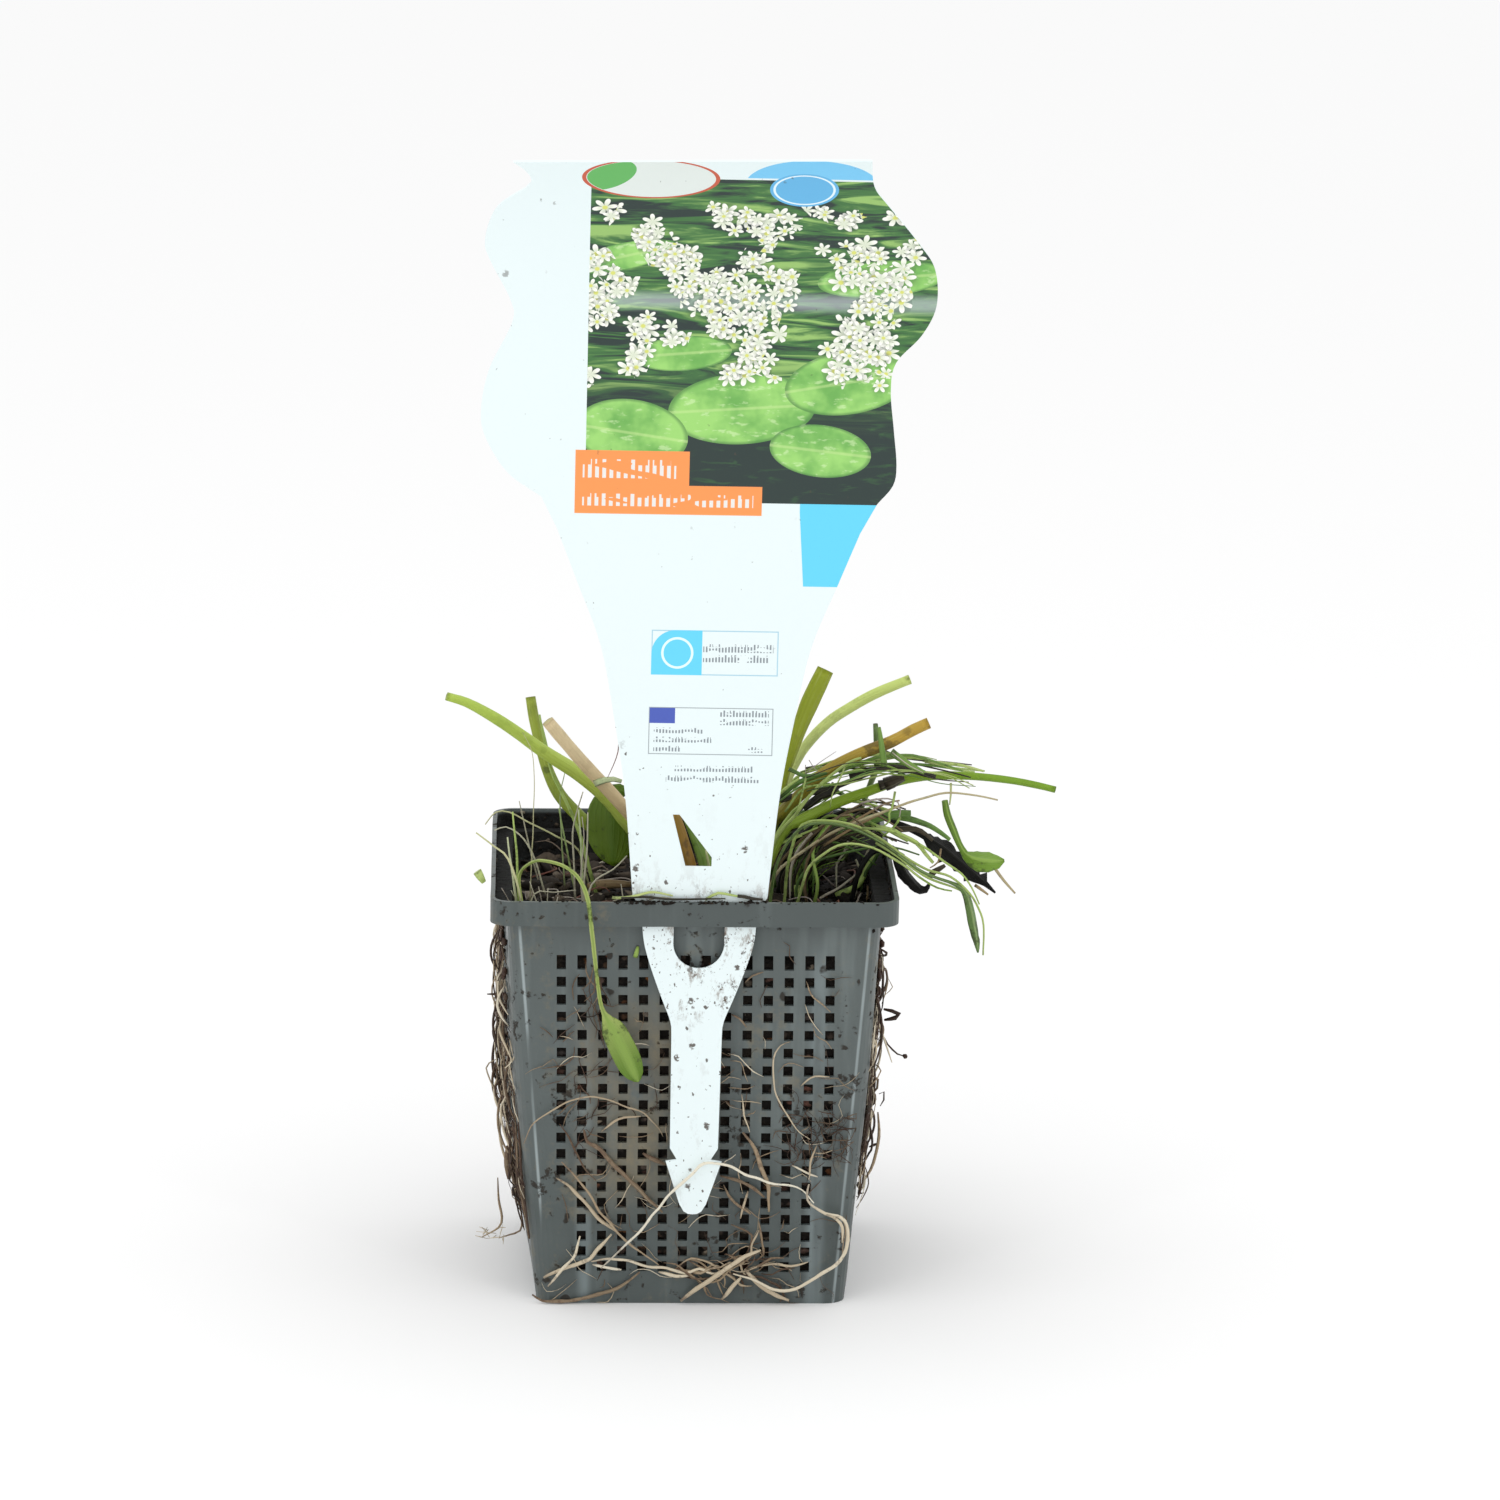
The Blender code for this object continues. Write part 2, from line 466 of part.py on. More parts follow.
def add_compost(collection, material):
    """Make the compost: a lumpy top on a tapered block that fills the pot."""
    bm = bmesh.new()
    bmesh.ops.create_grid(bm, x_segments=COMPOST_CELLS, y_segments=COMPOST_CELLS, size=1.0)
    clearance = WALL + 2 * GAP
    top_half = wall_half(COMPOST_LEVEL) - clearance
    for vert in bm.verts:
        x, y = into_rounded_square(vert.co.x * top_half, vert.co.y * top_half, top_half)
        z = compost_height(x, y)
        shrink = (wall_half(z) - clearance) / top_half
        vert.co = Vector((x * shrink, y * shrink, z))
    rim = [e for e in bm.edges if e.is_boundary]
    bottom_z = WALL + GAP
    grown = bmesh.ops.extrude_edge_only(bm, edges=rim)["geom"]
    for vert in [g for g in grown if isinstance(g, bmesh.types.BMVert)]:
        shrink = (wall_half(bottom_z) - clearance) / (wall_half(vert.co.z) - clearance)
        vert.co = Vector((vert.co.x * shrink, vert.co.y * shrink, bottom_z))
    base_edges = [g for g in grown if isinstance(g, bmesh.types.BMEdge)]
    bmesh.ops.contextual_create(bm, geom=base_edges)
    face_outwards(bm)
    add_object("compost", mesh_from(bm, "compost"), collection, material)


def label_outline():
    """Return the label's flat outline, anticlockwise from the point of the stake."""
    flare = smooth_route(LABEL_STAKE_FLARE, 6.0)
    body = smooth_route(LABEL_BODY[1:], 14.0)
    right_side = [*LABEL_STAKE_TIP[1:], *flare, LABEL_BODY[0], *body]
    left_side = [(-u, v) for u, v in reversed(right_side)]
    return [LABEL_STAKE_TIP[0], *right_side, *smooth_route(LABEL_RIGHT, 5.0),
            *reversed(smooth_route(LABEL_LEFT, 5.0)), *left_side]


def label_cutout():
    """Return the round-bottomed opening in the label's stake."""
    arc = [math.pi + math.pi * i / 10 for i in range(11)]
    return [(LABEL_CUTOUT_HALF, LABEL_CUTOUT_TOP), (-LABEL_CUTOUT_HALF, LABEL_CUTOUT_TOP),
            *((LABEL_CUTOUT_HALF * math.cos(a), LABEL_CUTOUT_ARC_CENTRE + LABEL_CUTOUT_HALF * math.sin(a))
              for a in arc)]


def curl_label(point):
    """Bend a point of the flat label forwards where the top curls, then stand it in the slot."""
    radius = LABEL_CURL_LENGTH / LABEL_CURL_ANGLE
    u, v, w = point.x, point.y, point.z
    beyond = v - LABEL_CURL_START
    if beyond <= 0:
        forward, height = -w, v
    else:
        angle = beyond / radius
        forward = -w * math.cos(angle) - radius * (1 - math.cos(angle))
        height = LABEL_CURL_START + (radius - w) * math.sin(angle)
    x = u * math.cos(LABEL_LEAN) + height * math.sin(LABEL_LEAN)
    z = height * math.cos(LABEL_LEAN) - u * math.sin(LABEL_LEAN)
    return Vector((x, LABEL_PLANE_Y + forward, LABEL_POINT_Z + z))


def add_label(collection, material):
    """Make the label: a flat outline with two openings, curled forwards at the top."""
    curve = bpy.data.curves.new("label_outline", "CURVE")
    curve.dimensions = "2D"
    curve.fill_mode = "BOTH"
    curve.extrude = LABEL_THICKNESS / 2
    for outline in (label_outline(), LABEL_WINDOW, label_cutout()):
        spline = curve.splines.new("POLY")
        spline.points.add(len(outline) - 1)
        for point, (u, v) in zip(spline.points, (p[:2] for p in outline)):
            point.co = (u, v, 0.0, 1.0)
        spline.use_cyclic_u = True
    flat = add_object("label_flat", curve, collection)
    flat_mesh = bpy.data.meshes.new_from_object(flat.evaluated_get(bpy.context.evaluated_depsgraph_get()))
    bpy.data.objects.remove(flat)
    bm = bmesh.new()
    bm.from_mesh(flat_mesh)
    bmesh.ops.remove_doubles(bm, verts=bm.verts, dist=0.001)
    for i in range(LABEL_CURL_STEPS):
        level = LABEL_CURL_START + LABEL_CURL_LENGTH * i / (LABEL_CURL_STEPS + 1)
        everything = [*bm.verts, *bm.edges, *bm.faces]
        bmesh.ops.bisect_plane(bm, geom=everything, dist=0.01, plane_co=(0, level, 0), plane_no=(0, 1, 0))
    for vert in bm.verts:
        vert.co = curl_label(vert.co)
    face_outwards(bm)
    add_object("plant_label", mesh_from(bm, "plant_label"), collection, material)


def add_leaf(name, facing, stations, collection, material):
    """Loft a leaf and its stalk as one body: a six-sided section that widens into the blade."""
    stations = [(*place, half_width, half_depth) for place, half_width, half_depth in stations]
    if stations[0][2] == FOOT:
        stations = from_foot(stations)
    samples = smooth_route(stations, LEAF_STEP)
    places = [Vector(s[:3]) for s in samples]
    facing = Vector(facing).normalized()
    bm = bmesh.new()
    ring = bmesh.ops.create_circle(bm, segments=6, radius=1.0)["verts"]
    section = [(v.co.x, v.co.y) for v in ring]
    edges = list(bm.edges)
    first_ring = ring
    for i, (sample, place) in enumerate(zip(samples, places)):
        ahead = places[min(i + 1, len(places) - 1)]
        behind = places[max(i - 1, 0)]
        side = (ahead - behind).cross(facing).normalized()
        depth = side.cross(ahead - behind).normalized()
        if i > 0:
            grown = bmesh.ops.extrude_edge_only(bm, edges=edges)["geom"]
            edges = [g for g in grown if isinstance(g, bmesh.types.BMEdge)]
            new_verts = [g for g in grown if isinstance(g, bmesh.types.BMVert)]
            ring = [next(v for e in old.link_edges for v in e.verts if v in new_verts) for old in ring]
        for vert, (across, through) in zip(ring, section):
            vert.co = place + side * (across * sample[3]) + depth * (through * sample[4] * 1.15)
    bmesh.ops.contextual_create(bm, geom=first_ring)
    bmesh.ops.contextual_create(bm, geom=ring)
    face_outwards(bm)
    add_object(name, mesh_from(bm, name), collection, material)


def add_root_mat(name, side, bulge, span_y, span_z, collection, material):
    """Make the mat of roots that has grown out through one side wall."""
    bm = bmesh.new()
    bmesh.ops.create_grid(bm, x_segments=5, y_segments=6, size=1.0)
    for vert in bm.verts:
        spread = ROOT_MAT_SPREAD + ROOT_MAT_RAGGED * noise.noise(vert.co * 3.1)
        y = span_y[0] + (span_y[1] - span_y[0]) * (vert.co.x * spread + 1) / 2
        z = span_z[0] + (span_z[1] - span_z[0]) * (vert.co.y * spread + 1) / 2
        vert.co = Vector((side * (wall_half(z) + bulge_at(y, z, bulge) + ROOT_MAT_LIFT), y, z))
    bmesh.ops.recalc_face_normals(bm, faces=bm.faces)
    if bm.faces[0].normal.x * side < 0:
        bmesh.ops.reverse_faces(bm, faces=bm.faces)
    mat = add_object(name, mesh_from(bm, name), collection, material)
    thickness = mat.modifiers.new("thickness", "SOLIDIFY")
    thickness.thickness = ROOT_MAT_THICKNESS * MM
    thickness.offset = 1.0


def add_front_roots(collection, material):
    """Make the loose roots that lie over the front wall."""
    for name, (radius, route) in FRONT_ROOTS.items():
        points = [(x, -(wall_half(z) + ROOT_CLEARANCE + radius + lift), z, radius) for x, z, lift in route]
        add_tube(name, smooth_route(points, 6.0), 0, collection, material)


def main():
    """Build every piece of the potted plant."""
    clear_scene()
    parts = make_collection("potted_water_hawthorn")
    materials = make_materials()
    add_pot(parts, materials["grey_plastic"])
    add_compost(parts, materials["compost"])
    add_label(parts, materials["label_white"])
    for group, step, sides in ((STALKS, 8.0, 2), (STRANDS, 6.0, 0)):
        for name, route in group.items():
            samples = smooth_route(from_foot([(*place, radius) for place, radius in route]), step)
            add_tube(name, samples, sides, parts, materials[PIECE_FINISHES.get(name, "green")])
    for name, (facing, stations) in LEAVES.items():
        add_leaf(name, facing, stations, parts, materials[PIECE_FINISHES.get(name, "green")])
    add_leaf("thatch_right", THATCH_FACING, THATCH_STATIONS, parts, materials["olive"])
    for name, (side, bulge, span_y, span_z) in ROOT_MATS.items():
        add_root_mat(name, side, bulge, span_y, span_z, parts, materials["root_mat"])
    add_front_roots(parts, materials["root"])


main()
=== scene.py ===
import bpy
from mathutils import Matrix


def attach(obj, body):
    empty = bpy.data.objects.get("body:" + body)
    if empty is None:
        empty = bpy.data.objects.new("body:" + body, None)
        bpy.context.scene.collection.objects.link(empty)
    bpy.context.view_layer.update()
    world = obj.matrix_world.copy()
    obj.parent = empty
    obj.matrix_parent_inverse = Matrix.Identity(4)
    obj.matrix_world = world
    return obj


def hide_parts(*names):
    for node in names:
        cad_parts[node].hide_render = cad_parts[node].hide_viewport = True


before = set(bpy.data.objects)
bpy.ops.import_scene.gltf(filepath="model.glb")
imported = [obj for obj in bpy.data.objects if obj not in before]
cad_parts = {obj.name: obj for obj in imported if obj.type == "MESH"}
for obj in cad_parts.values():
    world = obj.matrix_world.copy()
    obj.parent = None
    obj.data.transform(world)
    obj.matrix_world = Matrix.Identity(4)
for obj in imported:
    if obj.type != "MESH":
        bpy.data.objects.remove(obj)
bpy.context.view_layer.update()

# Potted water hawthorn: a square mesh pond pot with compost, cut leaf stalks, loose roots and a tall
# plant label. Sizes are in millimetres, and MM turns them into metres where a mesh is finished. The
# origin is the centre of the pot's underside, +Z is up, and the label stands at the front, at -Y.

import logging
import math
import random
from dataclasses import dataclass
from enum import Enum
from typing import Callable, Iterable, Optional, Sequence

import bmesh
import bpy
from mathutils import Matrix, Vector, noise

MM = 0.001
BODY = "root"
NOISE_SEED = 5
log = logging.getLogger("potted_water_hawthorn")

Route = Sequence[tuple[float, ...]]
Colour = tuple[int, int, int]
Span = tuple[float, float]
Mesh = bmesh.types.BMesh
Piece = bpy.types.Object
Material = bpy.types.Material


class Slot(Enum):
    """Material slots of the record."""

    POT = "pot"
    COMPOST = "compost"
    LABEL = "label"
    GREEN = "green_leaf"
    OLIVE = "olive_stalk"
    DRY = "dry_stalk"
    DEAD = "dead_leaf"
    ROOT = "root"


def linear_colour(screen: Colour) -> tuple[float, ...]:
    """Turn a screen colour of 0 to 255 into the linear colour a shader takes."""
    parts = [c / 12.92 if c <= 0.04045 else ((c + 0.055) / 1.055) ** 2.4 for c in (s / 255 for s in screen)]
    return (*parts, 1.0)


def link_to_scene(name: str, data: bpy.types.ID) -> Piece:
    """Put a mesh, light or camera into the scene."""
    thing = bpy.data.objects.new(name, data)
    bpy.context.scene.collection.objects.link(thing)
    return thing


# Shader expressions


def math_node(operation: str, swapped: bool = False) -> Callable[..., "Field"]:
    """Make a method that adds a Math node.

    Args:
        operation: what the node works out.
        swapped: whether the field is the second of its two values.

    Returns:
        The method.
    """
    def method(field: "Field", other=None) -> "Field":
        pair = (other, field) if swapped else (field, other)
        values = {place: value for place, value in enumerate(pair) if value is not None}
        return field.paint.node("ShaderNodeMath", {"operation": operation}, values)
    return method


class Field:
    """A value that varies over a surface: arithmetic on it adds Math nodes."""

    __add__ = math_node("ADD")
    __radd__ = math_node("ADD", swapped=True)
    __sub__ = math_node("SUBTRACT")
    __rsub__ = math_node("SUBTRACT", swapped=True)
    __mul__ = math_node("MULTIPLY")
    __rmul__ = math_node("MULTIPLY", swapped=True)
    __pow__ = math_node("POWER")
    __gt__ = math_node("GREATER_THAN")
    __lt__ = math_node("LESS_THAN")
    size = math_node("ABSOLUTE")
    wave = math_node("SINE")
    higher_of = math_node("MAXIMUM")
    turn_from = math_node("ARCTAN2")

    def __init__(self, paint: "Paint", socket: bpy.types.NodeSocket) -> None:
        """Wrap an output socket of a paint's node tree."""
        self.paint = paint
        self.socket = socket

    def held(self) -> "Field":
        """The value kept between 0 and 1."""
        return self.paint.node("ShaderNodeMath", {"operation": "ADD", "use_clamp": True}, {0: self, 1: 0.0})

    def rise(self, low: float, high: float) -> "Field":
        """A smooth step from 0 at low to 1 at high."""
        return self.paint.node("ShaderNodeMapRange", {"interpolation_type": "SMOOTHSTEP"},
                               {"Value": self, "From Min": low, "From Max": high})

    def around(self, centre: float, half: float, core: float) -> "Field":
        """One within a core of a centre, fading to 0 at a half width."""
        return (self - centre).size().rise(half, core)


class Paint:
    """A procedural material that is put together from expressions."""

    def __init__(self, name: str, roughness: float = 0.6, specular: float = 0.5, coat: float = 0.0,
                 coat_roughness: float = 0.2) -> None:
        """Start a Principled material.

        Args:
            name: the material's name.
            roughness: how matt the surface is.
            specular: strength of the plain reflection.
            coat: strength of a clear layer over the colour.
            coat_roughness: how matt that layer is.
        """
        self.material = bpy.data.materials.new(name)
        self.material.use_nodes = True
        self.tree = self.material.node_tree
        self.shader = self.tree.nodes["Principled BSDF"]
        for key, value in (("Roughness", roughness), ("Specular IOR Level", specular),
                           ("Coat Weight", coat), ("Coat Roughness", coat_roughness), ("Metallic", 0.0)):
            self.shader.inputs[key].default_value = value

    def node(self, kind: str, settings: Optional[dict] = None, values: Optional[dict] = None,
             output: int | str = 0) -> Field:
        """Add a node.

        Args:
            kind: the node's type.
            settings: properties that are set before its sockets.
            values: numbers, colours or fields for its input sockets, by name or place.
            output: which output is wanted.

        Returns:
            The output as a field.
        """
        made = self.tree.nodes.new(kind)
        for key, value in (settings or {}).items():
            setattr(made, key, value)
        for key, value in (values or {}).items():
            if isinstance(value, Field):
                self.tree.links.new(value.socket, made.inputs[key])
            else:
                made.inputs[key].default_value = value
        return Field(self, made.outputs[output])

    def place(self) -> Field:
        """Where a point is on the object, in metres."""
        return self.node("ShaderNodeTexCoord", output="Object")

    def map(self, name: str) -> Field:
        """One of the piece's own UV maps."""
        return self.node("ShaderNodeUVMap", {"uv_map": name})

    def stretched(self, where: Field, scale: tuple[float, float, float],
                  shift: tuple[float, float, float] = (0.0, 0.0, 0.0)) -> Field:
        """A place that is scaled and moved before a pattern reads it."""
        return self.node("ShaderNodeMapping", None, {"Vector": where, "Location": shift, "Scale": scale})

    def split(self, where: Field) -> tuple[Field, Field, Field]:
        """The three parts of a place."""
        parts = self.node("ShaderNodeSeparateXYZ", None, {0: where})
        outputs = parts.socket.node.outputs
        return Field(self, outputs[0]), Field(self, outputs[1]), Field(self, outputs[2])

    def cloud(self, where: Field, scale: float, detail: float = 3.0, rough: float = 0.55,
              distortion: float = 0.0) -> Field:
        """Soft noise from 0 to 1."""
        return self.node("ShaderNodeTexNoise", None, {"Vector": where, "Scale": scale, "Detail": detail,
                                                      "Roughness": rough, "Distortion": distortion})

    def cells(self, where: Field, scale: float, output: str = "Distance", randomness: float = 1.0) -> Field:
        """Cells around scattered points: distance, colour or place of the nearest."""
        return self.node("ShaderNodeTexVoronoi", None,
                         {"Vector": where, "Scale": scale, "Randomness": randomness}, output)

    def chances(self, where: Field, scale: float, randomness: float = 1.0) -> tuple[Field, Field, Field]:
        """Three numbers from 0 to 1 that are drawn for each cell."""
        return self.split(self.cells(where, scale, "Color", randomness))

    def warped(self, where: Field, scale: float, reach: float) -> Field:
        """A place that soft noise pushes about, so that cells lose their even edges."""
        noisy = {"Vector": where, "Scale": scale, "Detail": 2.0}
        push = self.node("ShaderNodeTexNoise", None, noisy, "Color")
        return self.node("ShaderNodeVectorMath", {"operation": "MULTIPLY_ADD"},
                         {0: push, 1: (reach, reach, reach), 2: where})

    def ramp(self, value: Field, stops: Sequence[tuple[float, Colour]]) -> Field:
        """A colour for each value."""
        colour = self.node("ShaderNodeValToRGB", None, {0: value})
        elements = colour.socket.node.color_ramp.elements
        while len(elements) < len(stops):
            elements.new(0.5)
        for element, (position, shade) in zip(elements, stops):
            element.position = position
            element.color = linear_colour(shade)
        return colour

    def mix(self, share, first: Field | Colour, second: Field | Colour) -> Field:
        """Blend two colours."""
        first, second = (c if isinstance(c, Field) else linear_colour(c) for c in (first, second))
        return self.node("ShaderNodeMix", {"data_type": "RGBA"}, {0: share, 6: first, 7: second}, 2)

    def set(self, socket: str, value: Field) -> None:
        """Feed one of the shader's varying sockets."""
        self.tree.links.new(value.socket, self.shader.inputs[socket])

    def raise_by(self, height: Field, depth_mm: float) -> None:
        """Give the surface low relief."""
        relief = {"Height": height, "Strength": 1.0, "Distance": depth_mm * MM}
        self.set("Normal", self.node("ShaderNodeBump", None, relief))


# Finishes


@dataclass(frozen=True)
class PotPlastic:
    """Grey moulded plastic with flow lines, dust and splashes, painted sheen bands and a painted highlight
    line by the front corners, and painted shade on the rim and, with grime, inside; places are in metres.
    """

    colour: Colour = (84, 92, 91)
    pale: Colour = (116, 126, 125)
    deep: Colour = (62, 70, 69)
    # Colour of the painted sheen bands on the front wall
    band: Colour = (138, 151, 153)
    mud: Colour = (44, 37, 30)
    dust: Colour = (118, 111, 92)
    # Near-black colour of the grime and painted shade inside the pot
    grime_and_shade: Colour = (15, 13, 11)
    # Colour of the painted highlight line by the front corners
    painted_corner_highlight: Colour = (176, 188, 190)
    wall_slope: float = 0.0759
    base_half: float = 0.0422
    core_half: float = 0.0367
    rim_core_half: float = 0.049
    splash_density: float = 190.0

    def material(self) -> Material:
        """Build the node tree."""
        paint = Paint("pot_grey_plastic", roughness=0.42, specular=0.42)
        where = paint.place()
        x, y, z = paint.split(where)
        front = (y * -1.0).rise(0.030, 0.036)
        flow = paint.cloud(paint.stretched(where, (1.0, 1.0, 0.07)), 130.0, 3.0, 0.6)
        broad = paint.cloud(where, 28.0, 3.0, 0.5)
        fine = paint.cloud(where, 420.0, 3.0, 0.65)
        grain = paint.cloud(where, 900.0, 2.0, 0.6)
        colour = paint.mix(flow.rise(0.50, 0.72) * 0.5, self.colour, self.pale)
        deeper = broad.rise(0.45, 0.75) * 0.4 + z.rise(0.075, 0.01) * 0.4
        colour = paint.mix(deeper.held(), colour, self.deep)
        # Painted sheen: two soft pale upright bands on the front wall, mottled by the flow lines
        sheen_bands = x.around(-0.0295, 0.0030, 0.0006).higher_of(x.around(0.0336, 0.0036, 0.00072))
        sheen_bands = sheen_bands * front * z.rise(0.108, 0.09) * flow.rise(0.3, 0.6)
        colour = paint.mix(sheen_bands * 0.5, colour, self.band)
        # Painted shade: the rim, from the ledge up, is darkened halfway to the deep grey
        colour = paint.mix(z.rise(0.1085, 0.1095) * 0.5, colour, self.deep)
        # Painted highlight: a thin pale line a few millimetres in from each front corner, where the rounded
        # corner would catch the light
        in_from_edge = z * self.wall_slope + self.base_half - x.size()
        painted_corner_highlight = in_from_edge.around(0.0032, 0.0006, 0.00012) * front * flow.rise(0.35, 0.6)
        colour = paint.mix(painted_corner_highlight * z.rise(0.110, 0.105) * 0.6, colour, self.painted_corner_highlight)
        spread = paint.cloud(paint.stretched(where, (1.0, 1.0, 0.6), (0.3, 0.1, 0.7)), 55.0, 5.0, 0.7)
        dusty = (spread * 0.75 + fine * 0.35).rise(0.58, 0.74)
        film = x.rise(-0.036, -0.022) * x.rise(0.012, -0.002) * z.rise(0.02, 0.04) * z.rise(0.095, 0.075)
        film = film * front * (spread + fine * 0.3).rise(0.45, 0.75)
        colour = paint.mix((dusty * 0.55 + film * 0.75).held(), colour, self.dust)
        clumps = paint.cloud(paint.stretched(where, (1.0, 1.0, 1.0), (2.3, 0.4, 1.1)), 70.0, 4.0, 0.75)
        muddy = (clumps * 0.7 + fine * 0.45).rise(0.66, 0.72)
        bent = paint.warped(where, 300.0, 0.004)
        chance, _, _ = paint.chances(bent, self.splash_density)
        dots = paint.cells(bent, self.splash_density).rise(0.26, 0.14) * chance.rise(0.86, 0.90)
        dirt = muddy.higher_of(dots)
        colour = paint.mix(dirt * 0.85, colour, self.mud)
        # Painted shade with grime: the insides of the walls above the compost, the ledge and the inside of
        # the rim go nearly black
        inner = self._inner(x, y, z)
        colour = paint.mix(inner * (fine * 0.3 + 0.8).held(), colour, self.grime_and_shade)
        paint.set("Base Color", colour)
        paint.set("Roughness", (0.34 + dusty * 0.2 + dirt.higher_of(inner) * 0.6 + grain * 0.12).held())
        paint.raise_by(dirt * 0.8 + grain * 0.12 + flow * 0.1 + inner * fine * 3.0, 0.35)
        return paint.material

    def _inner(self, x: Field, y: Field, z: Field) -> Field:
        """One inside the walls above the compost, on the ledge and inside the rim, where grime and painted
        shade go.
        """
        walls = self._past_core(x, y, z * self.wall_slope + self.core_half).rise(0.0052, 0.0048)
        rim = self._past_core(x, y, self.rim_core_half).rise(0.0055, 0.0049)
        above = rim * z.rise(0.1094, 0.1098) * z.rise(0.1158, 0.1145)
        return (walls * z.rise(0.100, 0.104)).higher_of(above)

    @staticmethod
    def _past_core(x: Field, y: Field, core: Field | float) -> Field:
        """How far a place lies outside the square about which the corners are rounded."""
        past_x = (x.size() - core).higher_of(0.0)
        past_y = (y.size() - core).higher_of(0.0)
        return (past_x * past_x + past_y * past_y) ** 0.5


@dataclass(frozen=True)
class WetCompost:
    """Dark moist compost with bits of bark, fibre and grit in several colours."""

    dark: Colour = (20, 17, 14)
    brown: Colour = (44, 37, 30)
    bits: tuple = ((0.0, (88, 66, 48)), (0.3, (104, 92, 84)),
                   (0.5, (128, 88, 76)), (0.65, (150, 96, 50)),
                   (0.8, (96, 90, 86)), (1.0, (188, 172, 150)))

    def material(self) -> Material:
        """Build the node tree."""
        paint = Paint("compost_dark", roughness=0.85, specular=0.18)
        where = paint.place()
        lumps = paint.cloud(where, 160.0, 5.0, 0.7)
        bent = paint.warped(paint.stretched(where, (1.0, 1.0, 1.5)), 260.0, 0.004)
        crumbs = paint.cells(bent, 300.0)
        chance, other, tint = paint.chances(bent, 300.0)
        colour = paint.mix(lumps.rise(0.42, 0.7), self.dark, self.brown)
        bit = chance.rise(0.66, 0.74) * crumbs.rise(0.55, 0.3)
        colour = paint.mix(bit * 0.65, colour, paint.ramp(tint, self.bits))
        colour = paint.mix(other.rise(0.55, 0.8) * 0.5, colour, self.dark)
        paint.set("Base Color", colour)
        paint.set("Roughness", (0.55 + lumps * 0.5).held())
        paint.raise_by(lumps + (1.0 - crumbs) * 0.6, 1.4)
        return paint.material


@dataclass(frozen=True)
class Chips:
    """Bark chips and crumbs, each with a tone of its own."""

    tones: tuple = ((0.0, (20, 17, 14)), (0.45, (33, 28, 23)), (0.72, (58, 50, 42)), (0.9, (94, 82, 69)),
                    (1.0, (138, 128, 114)))
    dark: Colour = (30, 23, 18)

    def material(self) -> Material:
        """Build the node tree."""
        paint = Paint("bark_chips", roughness=0.8, specular=0.16)
        tone, _, _ = paint.split(paint.map("tone"))
        where = paint.place()
        grain = paint.cloud(paint.stretched(where, (1.0, 0.25, 1.0)), 900.0, 4.0, 0.65)
        colour = paint.ramp(tone, self.tones)
        colour = paint.mix(grain.rise(0.4, 0.7) * 0.55, colour, self.dark)
        paint.set("Base Color", colour)
        paint.raise_by(grain, 0.3)
        return paint.material


@dataclass(frozen=True)
class StalkSkin:
    """Skin of a cut leaf stalk: fine ribs along it, blotches, a paler foot and a cut end."""

    name: str
    foot: Colour
    middle: Colour
    tip: Colour
    cut: Colour
    blotch: Colour
    blotch_share: float = 0.25
    roughness: float = 0.42
    spot_density: float = 150.0
    shine: Colour = (210, 218, 150)

    def material(self) -> Material:
        """Build the node tree."""
        paint = Paint(self.name, roughness=self.roughness, specular=0.32, coat=0.06, coat_roughness=0.3)
        _, share, _ = paint.split(paint.map("tone"))
        where = paint.place()
        ribs = paint.cloud(paint.stretched(paint.map("along"), (26.0, 0.05, 1.0)), 1.0, 3.0, 0.6)
        soft = paint.cloud(where, 90.0, 4.0, 0.6)
        fine = paint.cloud(where, 700.0, 3.0, 0.6)
        stations = (0.0, 0.45, 0.85, 0.985, 0.992)
        colours = (self.foot, self.middle, self.tip, self.tip, self.cut)
        colour = paint.ramp(share, tuple(zip(stations, colours)))
        lighter = paint.mix(0.3, colour, self.shine)
        colour = paint.mix(ribs.rise(0.5, 0.75) * 0.4, colour, lighter)
        darker = paint.mix(0.45, colour, self.blotch)
        colour = paint.mix(ribs.rise(0.45, 0.25) * 0.35, colour, darker)
        marks = paint.cells(where, self.spot_density)
        chance, _, _ = paint.chances(where, self.spot_density)
        spots = (marks + fine * 0.3).rise(0.42, 0.28) * chance.rise(0.97 - self.blotch_share, 1.0)
        patches = (soft * 0.8 + fine * 0.3).rise(0.57, 0.66) * self.blotch_share * 2.0
        colour = paint.mix((spots * 0.8).higher_of(patches.held() * 0.7), colour, self.blotch)
        paint.set("Base Color", colour)
        paint.set("Roughness", (self.roughness + soft * 0.2 - 0.05).held())
        paint.raise_by(ribs * 0.8 + fine * 0.25, 0.28)
        return paint.material


